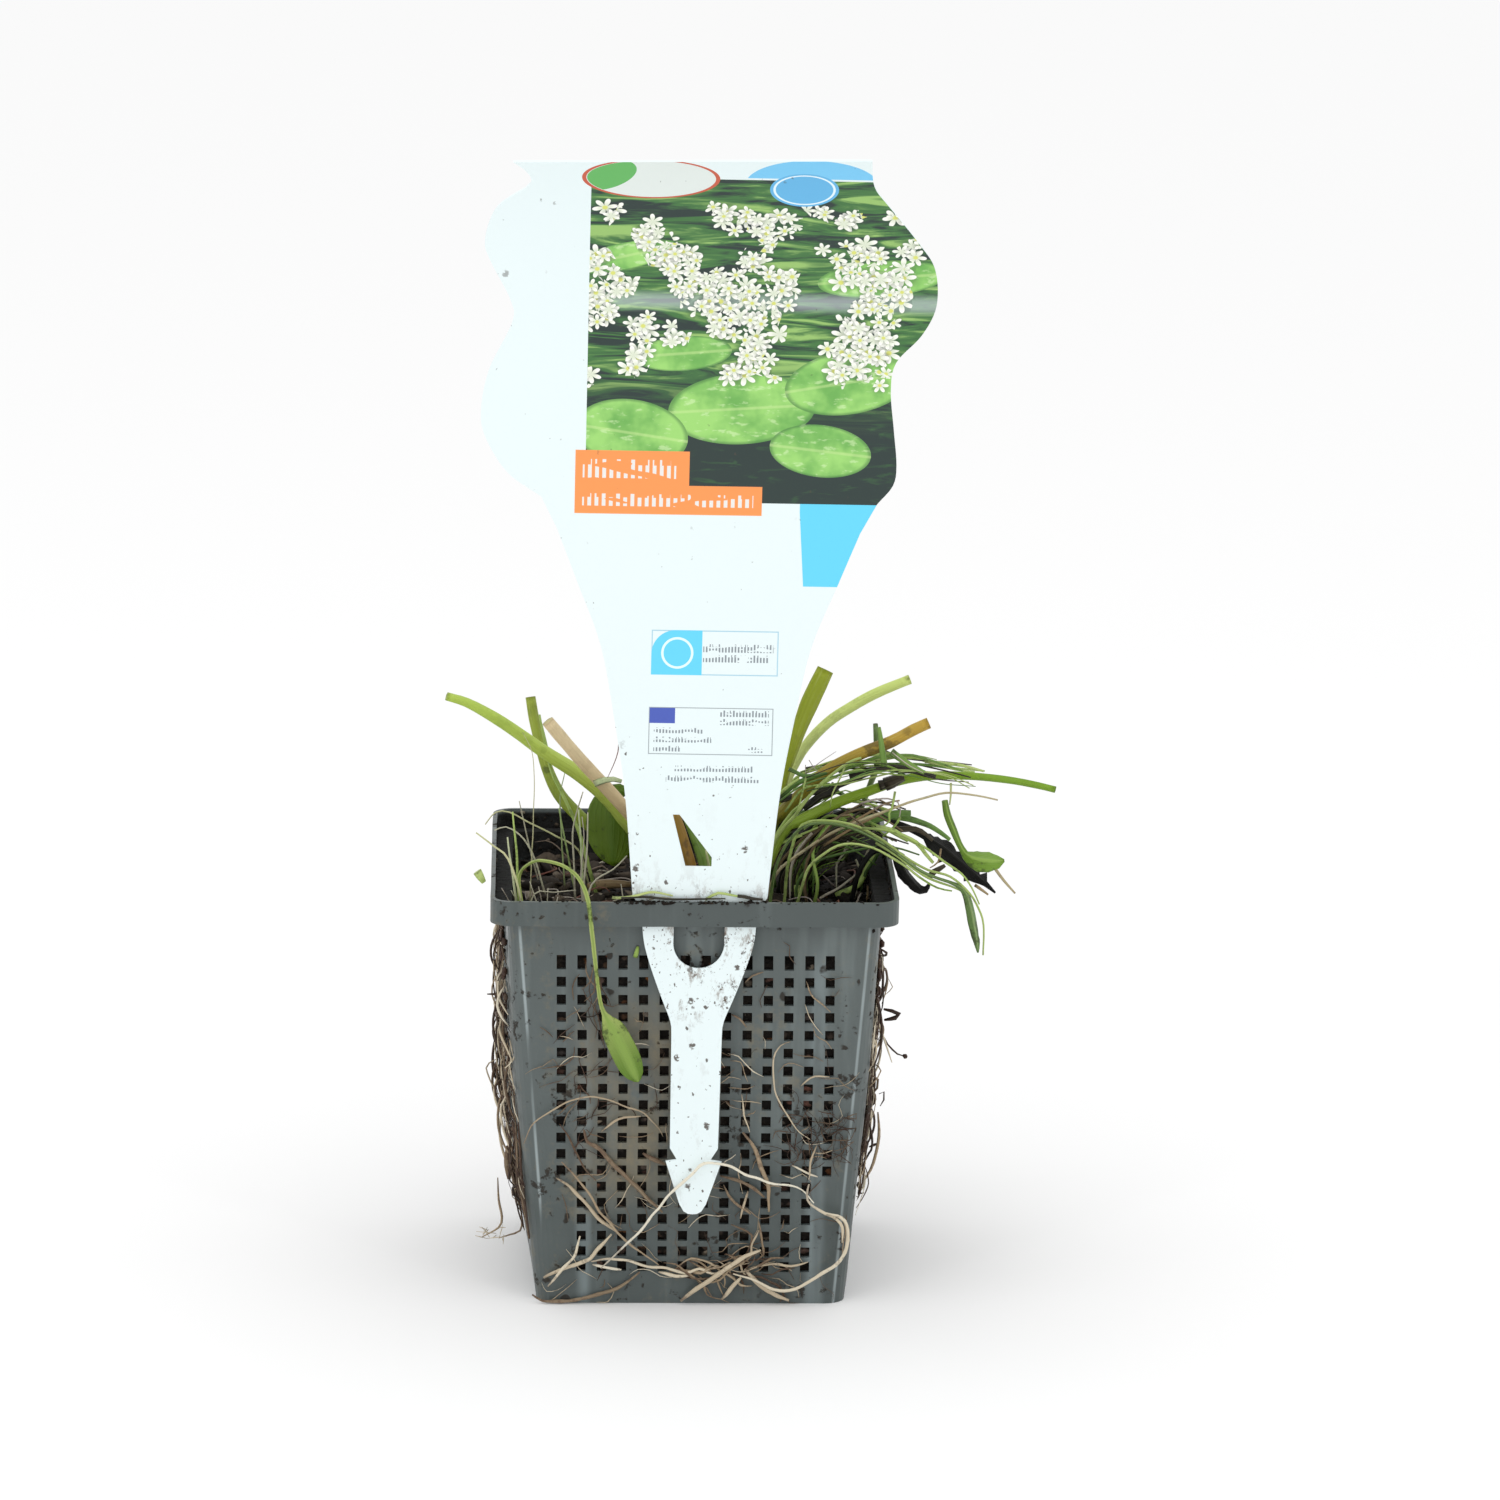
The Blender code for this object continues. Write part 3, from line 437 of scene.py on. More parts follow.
@dataclass(frozen=True)
class StrandSkin:
    """Thin strands and grassy leaves: the tone of each strand picks its colour."""

    name: str
    stops: tuple
    roughness: float = 0.5
    scar: Colour = (34, 28, 20)
    scar_share: float = 0.0
    shine: Colour = (225, 228, 190)

    def material(self) -> Material:
        """Build the node tree."""
        paint = Paint(self.name, roughness=self.roughness, specular=0.3, coat=0.03)
        tone, share, _ = paint.split(paint.map("tone"))
        where = paint.place()
        shift = paint.cloud(where, 160.0, 3.0, 0.6)
        fine = paint.cloud(where, 900.0, 2.0, 0.6)
        ribs = paint.cloud(paint.stretched(paint.map("along"), (12.0, 0.06, 1.0)), 1.0, 2.0, 0.5)
        colour = paint.ramp((tone + (shift - 0.5) * 0.16).held(), self.stops)
        foot = paint.mix(0.55, colour, self.scar)
        colour = paint.mix(share.rise(0.22, 0.0) * 0.8, colour, foot)
        dark = paint.mix(0.6, colour, self.scar)
        scarred = fine * 0.5 + shift * 0.6 - share * 0.08 - (tone - 0.5) * self.scar_share
        least = 0.56 - self.scar_share * 0.3
        scarred = scarred.rise(least, least + 0.1)
        colour = paint.mix(scarred * 0.75, colour, dark)
        pale = paint.mix(0.3, colour, self.shine)
        colour = paint.mix(ribs.rise(0.5, 0.7) * 0.5, colour, pale)
        paint.set("Base Color", colour)
        paint.raise_by(ribs * 0.7 + fine * 0.4, 0.16)
        return paint.material


@dataclass(frozen=True)
class LeafBlade:
    """Leaf blade: a pale midrib, fine veins beside it, and a darker upper half."""

    name: str
    base: Colour
    rim: Colour
    midrib: Colour
    decay: Colour
    decay_share: float = 0.2
    roughness: float = 0.4
    rib_reach: float = 0.16
    blade_from: float = 0.25
    specular: float = 0.32

    def material(self) -> Material:
        """Build the node tree."""
        paint = Paint(self.name, roughness=self.roughness, specular=self.specular, coat=self.specular * 0.25,
                      coat_roughness=0.35)
        across, along, _ = paint.split(paint.map("along"))
        _, share, _ = paint.split(paint.map("tone"))
        where = paint.place()
        soft = paint.cloud(where, 120.0, 4.0, 0.6)
        fine = paint.cloud(where, 800.0, 3.0, 0.6)
        from_mid = (across * math.tau + math.pi / 2).wave().size()
        colour = paint.mix(share.rise(self.blade_from, 0.95), self.base, self.rim)
        colour = paint.mix(soft.rise(0.4, 0.7) * 0.3, colour, self.rim)
        veins = ((from_mid * 30.0 + along * 0.15).wave() * 0.5 + 0.5).rise(0.55, 1.0)
        lighter = paint.mix(0.35, colour, self.midrib)
        colour = paint.mix(veins * 0.3, colour, lighter)
        rib = from_mid.rise(self.rib_reach * 2.0, self.rib_reach * 0.3)
        colour = paint.mix(rib * 0.8, colour, self.midrib)
        least = 0.70 - self.decay_share * 0.4
        rotten = (soft * 0.75 + fine * 0.35 + from_mid * 0.12).rise(least, least + 0.1)
        colour = paint.mix(rotten * 0.85, colour, self.decay)
        paint.set("Base Color", colour)
        paint.raise_by(veins * 0.25 + rib * 0.6 + fine * 0.3, 0.2)
        return paint.material


@dataclass(frozen=True)
class StudioWhite:
    """Plain pale floor."""

    colour: tuple = (0.95, 0.95, 0.95, 1.0)

    def material(self) -> Material:
        """Build the node tree."""
        paint = Paint("studio_floor", roughness=0.9, specular=0.0)
        paint.shader.inputs["Base Color"].default_value = self.colour
        return paint.material


@dataclass(frozen=True)
class Disc:
    """An oval on the label's print: centre, half axes and turn, in millimetres and degrees."""

    u: float
    v: float
    half_u: float
    half_v: float
    turn: float = 0.0


@dataclass(frozen=True)
class FlatSheet:
    """The label laid flat as a ground for print: u across it and v up it, in millimetres."""

    paint: Paint
    place: Field
    u: Field
    v: Field

    def inside(self, box: tuple) -> Field:
        """One inside a rectangle, given by its left, right, low and high edge."""
        left, right, low, high = box
        return (self.u > left) * (self.u < right) * (self.v > low) * (self.v < high)

    def outline(self, box: tuple, width: float) -> Field:
        """One on a thin line along the inside of a rectangle."""
        left, right, low, high = box
        return self.inside(box) - self.inside((left + width, right - width, low + width, high - width))

    def reach(self, disc: Disc) -> Field:
        """Squared distance from an oval's centre, 1 at its edge."""
        turn = math.radians(disc.turn)
        du, dv = self.u - disc.u, self.v - disc.v
        across = du * (math.cos(turn) / disc.half_u) + dv * (math.sin(turn) / disc.half_u)
        upward = dv * (math.cos(turn) / disc.half_v) - du * (math.sin(turn) / disc.half_v)
        return across ** 2.0 + upward ** 2.0

    def scaled(self, across: float, upward: float, shift: Span = (0.0, 0.0)) -> Field:
        """Where a pattern reads itself when it is scaled and moved on the sheet."""
        return self.paint.stretched(self.place, (across, upward, 1.0), (*shift, 0.0))


@dataclass(frozen=True)
class PrintedSheet:
    """White plastic sheet with a generic printed picture of floating leaves and white blossom."""

    white: Colour = (229, 241, 242)
    orange: Colour = (246, 150, 78)
    sky: Colour = (96, 210, 244)
    pale_sky: Colour = (118, 198, 240)
    line: Colour = (124, 190, 216)
    ink: Colour = (104, 112, 122)
    deep_blue: Colour = (66, 88, 180)
    water: Colour = (24, 46, 42)
    reed: Colour = (58, 112, 54)
    reed_light: Colour = (148, 190, 104)
    pad: Colour = (156, 214, 112)
    pad_dark: Colour = (104, 172, 78)
    pad_sheen: Colour = (214, 240, 182)
    pad_rib: Colour = (210, 236, 160)
    blossom: Colour = (252, 252, 244)
    blossom_shade: Colour = (176, 196, 150)
    blossom_heart: Colour = (214, 218, 96)
    mud: Colour = (70, 58, 48)
    crumbs: Colour = (66, 50, 40)
    smear: Colour = (112, 90, 70)
    badge_pale: Colour = (222, 230, 226)
    badge_red: Colour = (196, 88, 60)
    badge_green: Colour = (96, 178, 92)
    badge_blue: Colour = (96, 178, 226)
    badge_ring: Colour = (226, 244, 250)
    tab_ring: Colour = (226, 248, 255)
    # Boxes on the sheet: left, right, low and high edge
    picture_box: tuple = (-33.0, 80.0, 196.2, 286.0)
    panels: tuple = ((-35.7, -5.5, 200.6, 209.8), (-35.7, 13.9, 192.8, 200.6))
    sky_box: tuple = (24.0, 60.0, 173.9, 196.2)
    note_box: tuple = (-14.5, 19.3, 149.4, 161.6)
    tab_box: tuple = (-14.5, -1.0, 149.4, 161.6)
    small_box: tuple = (-14.8, 18.4, 127.7, 140.6)
    blue_box: tuple = (-14.6, -7.8, 136.2, 140.4)
    # Rows of bars where a label has words
    title_rows: tuple = ((-33.7, -9.0, 202.4, 207.4), (-33.7, 11.6, 194.9, 198.2))
    note_rows: tuple = ((-0.7, 18.0, 155.7, 157.9), (-0.7, 16.6, 153.0, 155.0), (3.9, 17.2, 138.2, 139.9),
                        (3.9, 17.2, 135.9, 137.6), (-13.4, -0.2, 133.5, 135.0), (-13.4, 2.0, 131.0, 132.5),
                        (-13.4, -6.0, 128.5, 130.0), (11.8, 16.1, 128.5, 130.0), (-7.6, 13.4, 123.1, 124.7),
                        (-9.9, 15.2, 120.2, 121.9))
    # Round leaves in the picture
    pads: tuple = (Disc(8.0, 221.5, 19.5, 9.5, 4.0), Disc(-21.0, 214.5, 15.0, 9.0, -8.0),
                   Disc(36.0, 229.0, 17.0, 8.5, 10.0), Disc(29.0, 210.5, 13.5, 7.0, -6.0),
                   Disc(-8.0, 236.0, 13.0, 4.6, 5.0), Disc(44.0, 257.0, 17.0, 5.0, 6.0),
                   Disc(-24.0, 262.0, 14.0, 3.8, 14.0))
    # Layers of blossom: size and shift
    blossoms: tuple = ((7.4, (0.0, 0.0)), (5.6, (7.3, 3.1)), (6.4, (2.4, 9.2)), (5.2, (4.7, 6.1)))
    # Layers of specks of compost: density, shift and how many more lie on the stake
    specks: tuple = ((0.24, 0.0, 0.16), (0.55, 5.0, 0.13), (1.05, 9.0, 0.05))

    def material(self) -> Material:
        """Build the node tree. The print lies on the side that faces -Y."""
        paint = Paint("label_printed_plastic", roughness=0.34, specular=0.5, coat=0.15, coat_roughness=0.2)
        place = paint.map("flat")
        u, v, _ = paint.split(place)
        sheet = FlatSheet(paint, place, u, v)
        front, _, _ = paint.split(paint.map("side"))
        colour = paint.mix(sheet.inside(self.picture_box), self.white, self._picture(sheet))
        for panel in self.panels:
            colour = paint.mix(sheet.inside(panel), colour, self.orange)
        below = sheet.inside(self.sky_box) * (u - (25.4 - (v - 173.8) * 0.07) > 0.0)
        colour = paint.mix(below, colour, self.sky)
        above = (sheet.reach(Disc(24.5, 284.2, 17.5, 9.0)) < 1.0) * (v > 286.6)
        colour = paint.mix(above, colour, self.pale_sky)
        colour = self._small_print(sheet, self._badges(sheet, colour))
        colour = paint.mix(front, self.white, colour)
        paint.set("Base Color", self._soil(sheet, colour))
        gloss = paint.cloud(paint.place(), 60.0, 2.0, 0.5)
        paint.set("Roughness", (0.28 + gloss * 0.14).held())
        return paint.material

    def _picture(self, sheet: FlatSheet) -> Field:
        """Dark water and reeds behind, round leaves below, sprays of white blossom over them, and a painted
        highlight band where the sheet curls.
        """
        cloud, mix, v = sheet.paint.cloud, sheet.paint.mix, sheet.v
        reeds = cloud(sheet.scaled(0.035, 0.28, (0.4, 0.2)), 1.0, 4.0, 0.55, 1.4)
        ripples = cloud(sheet.scaled(0.10, 0.45, (3.0, 1.0)), 1.0, 3.0, 0.6, 0.6)
        colour = mix(reeds.rise(0.38, 0.50), self.water, self.reed)
        colour = mix(reeds.rise(0.50, 0.66), colour, self.reed_light)
        low = v.rise(236.0, 214.0)
        colour = mix(low, colour, mix(ripples.rise(0.55, 0.75) * 0.45, self.water, self.reed))
        shade = cloud(sheet.place, 0.09, 3.0, 0.6)
        sheen = cloud(sheet.scaled(0.22, 0.5), 1.0, 3.0, 0.6).rise(0.56, 0.66)
        for disc in self.pads:
            reach = sheet.reach(disc)
            leaf = mix(shade.rise(0.35, 0.7), self.pad, self.pad_dark)
            leaf = mix(sheen * 0.45, leaf, self.pad_sheen)
            leaf = mix(reach.rise(0.80, 0.97) * 0.6, leaf, self.reed)
            turn = math.radians(disc.turn)
            rib = ((v - disc.v) * math.cos(turn) - (sheet.u - disc.u) * math.sin(turn)).size()
            leaf = mix(rib.rise(0.55, 0.15) * 0.35, leaf, self.pad_rib)
            colour = mix(reach < 1.0, colour, leaf)
        # Painted highlight: a faint pale band across the picture where the sheet starts to curl forwards
        colour = mix(v.around(250.0, 3.5, 0.5) * 0.35, colour, self.white)
        return self._blossom(sheet, colour)

    def _blossom(self, sheet: FlatSheet, colour: Field) -> Field:
        """Clumps of small six-petalled white flowers with yellow-green hearts."""
        paint = sheet.paint
        for size, shift in self.blossoms:
            grid = sheet.scaled(1.0 / size, 1.2 / size, shift)
            centre = paint.cells(grid, 1.0, "Position", 0.8)
            turn, chance, _ = paint.chances(grid, 1.0, 0.8)
            back = (-shift[0] * size, -shift[1] * size / 1.2, 0.0)
            at = paint.stretched(centre, (size, size / 1.2, 1.0), back)
            _, height, _ = paint.split(at)
            clump = paint.cloud(at, 0.062, 1.0, 0.5) > 0.49
            drawn = clump * (chance > 0.2) * (height > 228.0) * (height < 277.0)
            offset = paint.node("ShaderNodeVectorMath", {"operation": "SUBTRACT"}, {0: grid, 1: centre})
            across, upward, _ = paint.split(offset)
            away = (across ** 2.0 + upward ** 2.0) ** 0.5
            lobe = ((upward.turn_from(across) + turn * math.tau) * 3.0).wave().size()
            flower = (away - lobe * 0.36 - 0.10).rise(0.02, -0.02) * drawn
            shaded = away.rise(0.42, 0.12) * 0.45 + lobe.rise(0.5, 0.0) * 0.3
            petal = paint.mix(shaded, self.blossom, self.blossom_shade)
            colour = paint.mix(away.rise(0.62, 0.35) * drawn * 0.3, colour, self.water)
            colour = paint.mix(flower, colour, petal)
            heart = away.rise(0.13, 0.07) * drawn * (chance > 0.45)
            colour = paint.mix(heart * 0.9, colour, self.blossom_heart)
        return colour

    def _badges(self, sheet: FlatSheet, colour: Field) -> Field:
        """Two plain round badges over the picture's upper edge."""
        left = sheet.reach(Disc(-17.5, 286.0, 18.0, 6.6))
        sprig = sheet.reach(Disc(-29.5, 287.0, 8.5, 4.8, 20.0)) < 1.0
        right = sheet.reach(Disc(22.6, 283.0, 9.0, 5.4))
        for share, ink in ((left < 1.0, self.badge_pale), ((left < 1.0) * (left > 0.88), self.badge_red),
                           (sprig * (left < 0.86), self.badge_green), (right < 1.0, self.badge_blue),
                           ((right < 0.82) * (right > 0.70), self.badge_ring)):
            colour = sheet.paint.mix(share, colour, ink)
        return colour

    def _small_print(self, sheet: FlatSheet, colour: Field) -> Field:
        """Thin-lined boxes on the white part, left without words."""
        paint, u, v = sheet.paint, sheet.u, sheet.v
        colour = paint.mix(sheet.outline(self.note_box, 0.3) * 0.7, colour, self.line)
        corner = sheet.reach(Disc(-8.0, 155.1, 6.5, 6.5)) < 1.0
        tab = sheet.inside(self.tab_box) * ((u > -8.0) + (v < 155.1) + corner).held()
        colour = paint.mix(tab, colour, self.sky)
        ring = sheet.reach(Disc(-7.6, 155.4, 4.3, 4.3))
        colour = paint.mix((ring < 1.0) * (ring > 0.72), colour, self.tab_ring)
        colour = paint.mix(sheet.outline(self.small_box, 0.25) * 0.7, colour, self.ink)
        colour = paint.mix(sheet.inside(self.blue_box), colour, self.deep_blue)
        for rows, pitch, ink in ((self.title_rows, 1.9, self.white), (self.note_rows, 0.85, self.ink)):
            bars = (u * (math.tau / pitch)).wave().rise(-0.25, 0.1)
            words = paint.cloud(sheet.scaled(0.2 / pitch, 0.9 / pitch), 1.0, 0.0) > 0.40
            tall = paint.cloud(sheet.scaled(0.9 / pitch, 0.0), 1.0, 0.0) > 0.52
            inside = 0.0
            for row in rows:
                short = v < row[2] + 0.7 * (row[3] - row[2])
                inside = (sheet.inside(row) * (short + tall).held()).higher_of(inside)
            colour = paint.mix(inside * words * bars * 0.85, colour, ink)
        return colour

    def _soil(self, sheet: FlatSheet, colour: Field) -> Field:
        """Specks and smears of compost, most of them on the stake."""
        paint, v = sheet.paint, sheet.v
        low = v.rise(124.0, 84.0)
        high = v.rise(120.0, 145.0)
        near_rim = v.rise(50.0, 62.0) * v.rise(96.0, 84.0)
        bent = paint.warped(sheet.place, 0.9, 1.4)
        for density, shift, more in self.specks:
            grid = paint.stretched(bent, (density, density * 0.75, 1.0), (shift, shift * 0.7, 0.0))
            spot = paint.cells(grid, 1.0).rise(0.26, 0.143)
            chance, _, _ = paint.chances(grid, 1.0)
            share = (chance + low * more + near_rim * 0.14 - high * 0.017).rise(0.972, 0.99)
            colour = paint.mix(spot * share * 0.92, colour, self.mud)
        smear = paint.cloud(sheet.scaled(0.16, 0.07), 1.0, 6.0, 0.75)
        crumbs = paint.cloud(paint.stretched(bent, (0.42, 0.36, 1.0), (3.0, 8.0, 0.0)), 1.0, 5.0, 0.8)
        crumbs = crumbs.rise(0.575, 0.61) * smear.rise(0.46, 0.54) * near_rim
        colour = paint.mix(crumbs * 0.9, colour, self.crumbs)
        smeared = smear.rise(0.52, 0.62) * (low * 0.12 + near_rim * 0.55)
        return paint.mix(smeared.held(), colour, self.smear)


# Mesh helpers

# Where a section's depth points at first, and the way that helps out where a route runs along its facing
FIRST_DEPTH = Vector((0.31, -0.85, 0.42))
SPARE_DEPTH = Vector((0.9, 0.3, 0.2))


def smooth_route(points: Route, step: float) -> list[list[float]]:
    """Sample a Catmull-Rom curve through points.

    Args:
        points: points of any size, of which the first three numbers are a place.
        step: distance between samples.

    Returns:
        The samples, with the last point as it is.
    """
    ends = [[2 * a - b for a, b in zip(points[0], points[1])], *points,
            [2 * a - b for a, b in zip(points[-1], points[-2])]]
    samples: list[list[float]] = []
    for p0, p1, p2, p3 in zip(ends, ends[1:], ends[2:], ends[3:]):
        count = max(1, round(math.dist(p1[:3], p2[:3]) / step))
        for i in range(count):
            t = i / count
            samples.append([0.5 * (2 * b + (c - a) * t + (2 * a - 5 * b + 4 * c - d) * t * t
                                   + (3 * b - a - 3 * c + d) * t ** 3)
                            for a, b, c, d in zip(p0, p1, p2, p3)])
    samples.append(list(points[-1]))
    return samples


def start_mesh() -> Mesh:
    """Start a bmesh that carries the two maps every grown piece has."""
    bm = bmesh.new()
    bm.loops.layers.uv.new("along")
    bm.loops.layers.uv.new("tone")
    return bm


def join_into(target: Mesh, part: Mesh) -> None:
    """Move a part into a larger bmesh."""
    carrier = bpy.data.meshes.new("carrier")
    part.to_mesh(carrier)
    part.free()
    target.from_mesh(carrier)
    bpy.data.meshes.remove(carrier)


def finish_piece(name: str, bm: Mesh, material: Material,
                 nodes: Sequence[str] = (), smooth: bool = True) -> Piece:
    """Turn a bmesh in millimetres into a finished piece of the plant.

    Args:
        name: the piece's name.
        bm: its mesh, which is freed.
        material: its finish.
        nodes: CAD nodes that it stands for.
        smooth: whether its faces are shaded smooth.

    Returns:
        The new object, at the origin.
    """
    bmesh.ops.scale(bm, vec=(MM, MM, MM), verts=bm.verts)
    for face in bm.faces:
        face.smooth = smooth
    mesh = bpy.data.meshes.new(name)
    bm.to_mesh(mesh)
    bm.free()
    piece = link_to_scene(name, mesh)
    mesh.materials.append(material)
    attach(piece, BODY)
    if nodes:
        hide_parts(*nodes)
    log.info("%s: %d faces, stands for %s", name, len(mesh.polygons), ", ".join(nodes) or "no node")
    return piece


def face_outwards(bm: Mesh) -> None:
    """Turn every face of a closed mesh outwards."""
    bmesh.ops.recalc_face_normals(bm, faces=bm.faces)
    if bm.calc_volume(signed=True) < 0:
        bmesh.ops.reverse_faces(bm, faces=bm.faces)


def transport_frames(points: Sequence[Vector], facing: Optional[Vector]) -> list[tuple[Vector, Vector]]:
    """Find the side and depth directions of a section at each point of a route.

    Args:
        points: the route.
        facing: the way a flat section faces, or None for a section that turns as little as it can.

    Returns:
        A side and a depth direction for each point.
    """
    frames: list[tuple[Vector, Vector]] = []
    depth = FIRST_DEPTH
    for i in range(len(points)):
        ahead = points[min(i + 1, len(points) - 1)] - points[max(i - 1, 0)]
        if ahead.length < 1e-6:
            ahead = Vector((0, 0, 1))
        ahead.normalize()
        side = ahead.cross(facing if facing is not None else depth)
        if side.length < 1e-4:
            side = ahead.cross(SPARE_DEPTH)
        side.normalize()
        depth = side.cross(ahead)
        frames.append((side, depth))
    return frames


def paint_faces(faces: Iterable[bmesh.types.BMFace], tone_map: bmesh.types.BMLayerItem, tone: float,
                share: float) -> None:
    """Write a tone and a place along the piece to every corner of some faces."""
    for face in faces:
        for loop in face.loops:
            loop[tone_map].uv = (tone, share)


def extrude_edges(bm: Mesh, edges: list, move: Callable[[Vector], Vector]) -> list:
    """Extrude a loop of edges, move its new corners and return its new edges."""
    grown = bmesh.ops.extrude_edge_only(bm, edges=edges)["geom"]
    for vert in [g for g in grown if isinstance(g, bmesh.types.BMVert)]:
        vert.co = move(vert.co)
    return [g for g in grown if isinstance(g, bmesh.types.BMEdge)]


def held_between(low: float, value: float, high: float) -> float:
    """The value, or the limit that it passes."""
    return max(low, min(high, value))


def grow(target: Mesh, samples: Sequence[Sequence[float]], sides: int, tone: float,
         facing: Optional[Vector] = None, ribbed: float = 0.0, cut_depth: float = 0.0) -> None:
    """Grow one closed strand, stalk or leaf along a route.

    Args:
        target: bmesh that receives it.
        samples: x, y, z, half width and half thickness at each step.
        sides: how many sides its section has.
        tone: number from 0 to 1 that the material turns into a colour.
        facing: the way a flat section faces.
        ribbed: how deep five ribs along it are, as a share of its width.
        cut_depth: how far the cut end is sunk in.
    """
    part = start_mesh()
    along_map, tone_map = part.loops.layers.uv["along"], part.loops.layers.uv["tone"]
    rows = len(samples) - 1
    bmesh.ops.create_grid(part, x_segments=sides, y_segments=rows, size=0.5)
    points = [Vector(s[:3]) for s in samples]
    frames = transport_frames(points, facing)
    travelled = [0.0]
    for a, b in zip(points, points[1:]):
        travelled.append(travelled[-1] + (b - a).length)
    spots = {vert: (vert.co.x + 0.5, held_between(0, round((vert.co.y + 0.5) * rows), rows))
             for vert in part.verts}
    for face in part.faces:
        for loop in face.loops:
            around, row = spots[loop.vert]
            loop[along_map].uv = (around, travelled[row])
            loop[tone_map].uv = (tone, row / rows * 0.98)
    for vert, (around, row) in spots.items():
        side, depth = frames[row]
        angle = (around % 1.0 if around < 0.9999 else 0.0) * math.tau
        ripple = 1.0 + ribbed * math.cos(angle * 5.0)
        half_width, half_depth = samples[row][3], samples[row][4]
        vert.co = (points[row] + side * (math.cos(angle) * ripple * half_width)
                   + depth * (math.sin(angle) * ripple * half_depth))
    bmesh.ops.remove_doubles(part, verts=part.verts, dist=1e-5)
    ends = bmesh.ops.holes_fill(part, edges=[e for e in part.edges if e.is_boundary], sides=0)["faces"]
    paint_faces(ends, tone_map, tone, 1.0)
    if cut_depth > 0.0 and ends:
        tip = max(ends, key=lambda f: -(f.calc_center_median() - points[-1]).length)
        rim = bmesh.ops.inset_region(part, faces=[tip], thickness=samples[-1][3] * 0.16,
                                     use_even_offset=False)["faces"]
        inward = (points[-2] - points[-1]).normalized() * cut_depth
        bmesh.ops.translate(part, vec=inward, verts=tip.verts)
        paint_faces([*rim, tip], tone_map, tone, 1.0)
    face_outwards(part)
    join_into(target, part)


def bend_noise(place: Vector, scale: float, seed: float) -> Vector:
    """A smooth push in three directions that depends on place."""
    return noise.noise_vector(place / scale + Vector((seed, seed * 0.7, -seed)))


def rough_lump(target: Mesh, placed: Matrix, tone: float, seed: float, roughness: float = 0.4,
               spread: float = 0.9, subdivisions: int = 2) -> None:
    """Add a rough chip or clod.

    Args:
        target: bmesh that receives it.
        placed: turns a ball of radius 1 into its size, turn and place.
        tone: number from 0 to 1 that the material turns into a colour.
        seed: picks its shape.
        roughness: how far its surface is pushed about.
        spread: how wide the pushes are.
        subdivisions: how fine its mesh is.
    """
    part = start_mesh()
    bmesh.ops.create_icosphere(part, subdivisions=subdivisions, radius=1.0)
    for vert in part.verts:
        vert.co = placed @ (vert.co + bend_noise(vert.co, spread, seed) * roughness)
    paint_faces(part.faces, part.loops.layers.uv["tone"], tone, 0.5)
    join_into(target, part)


# Pot


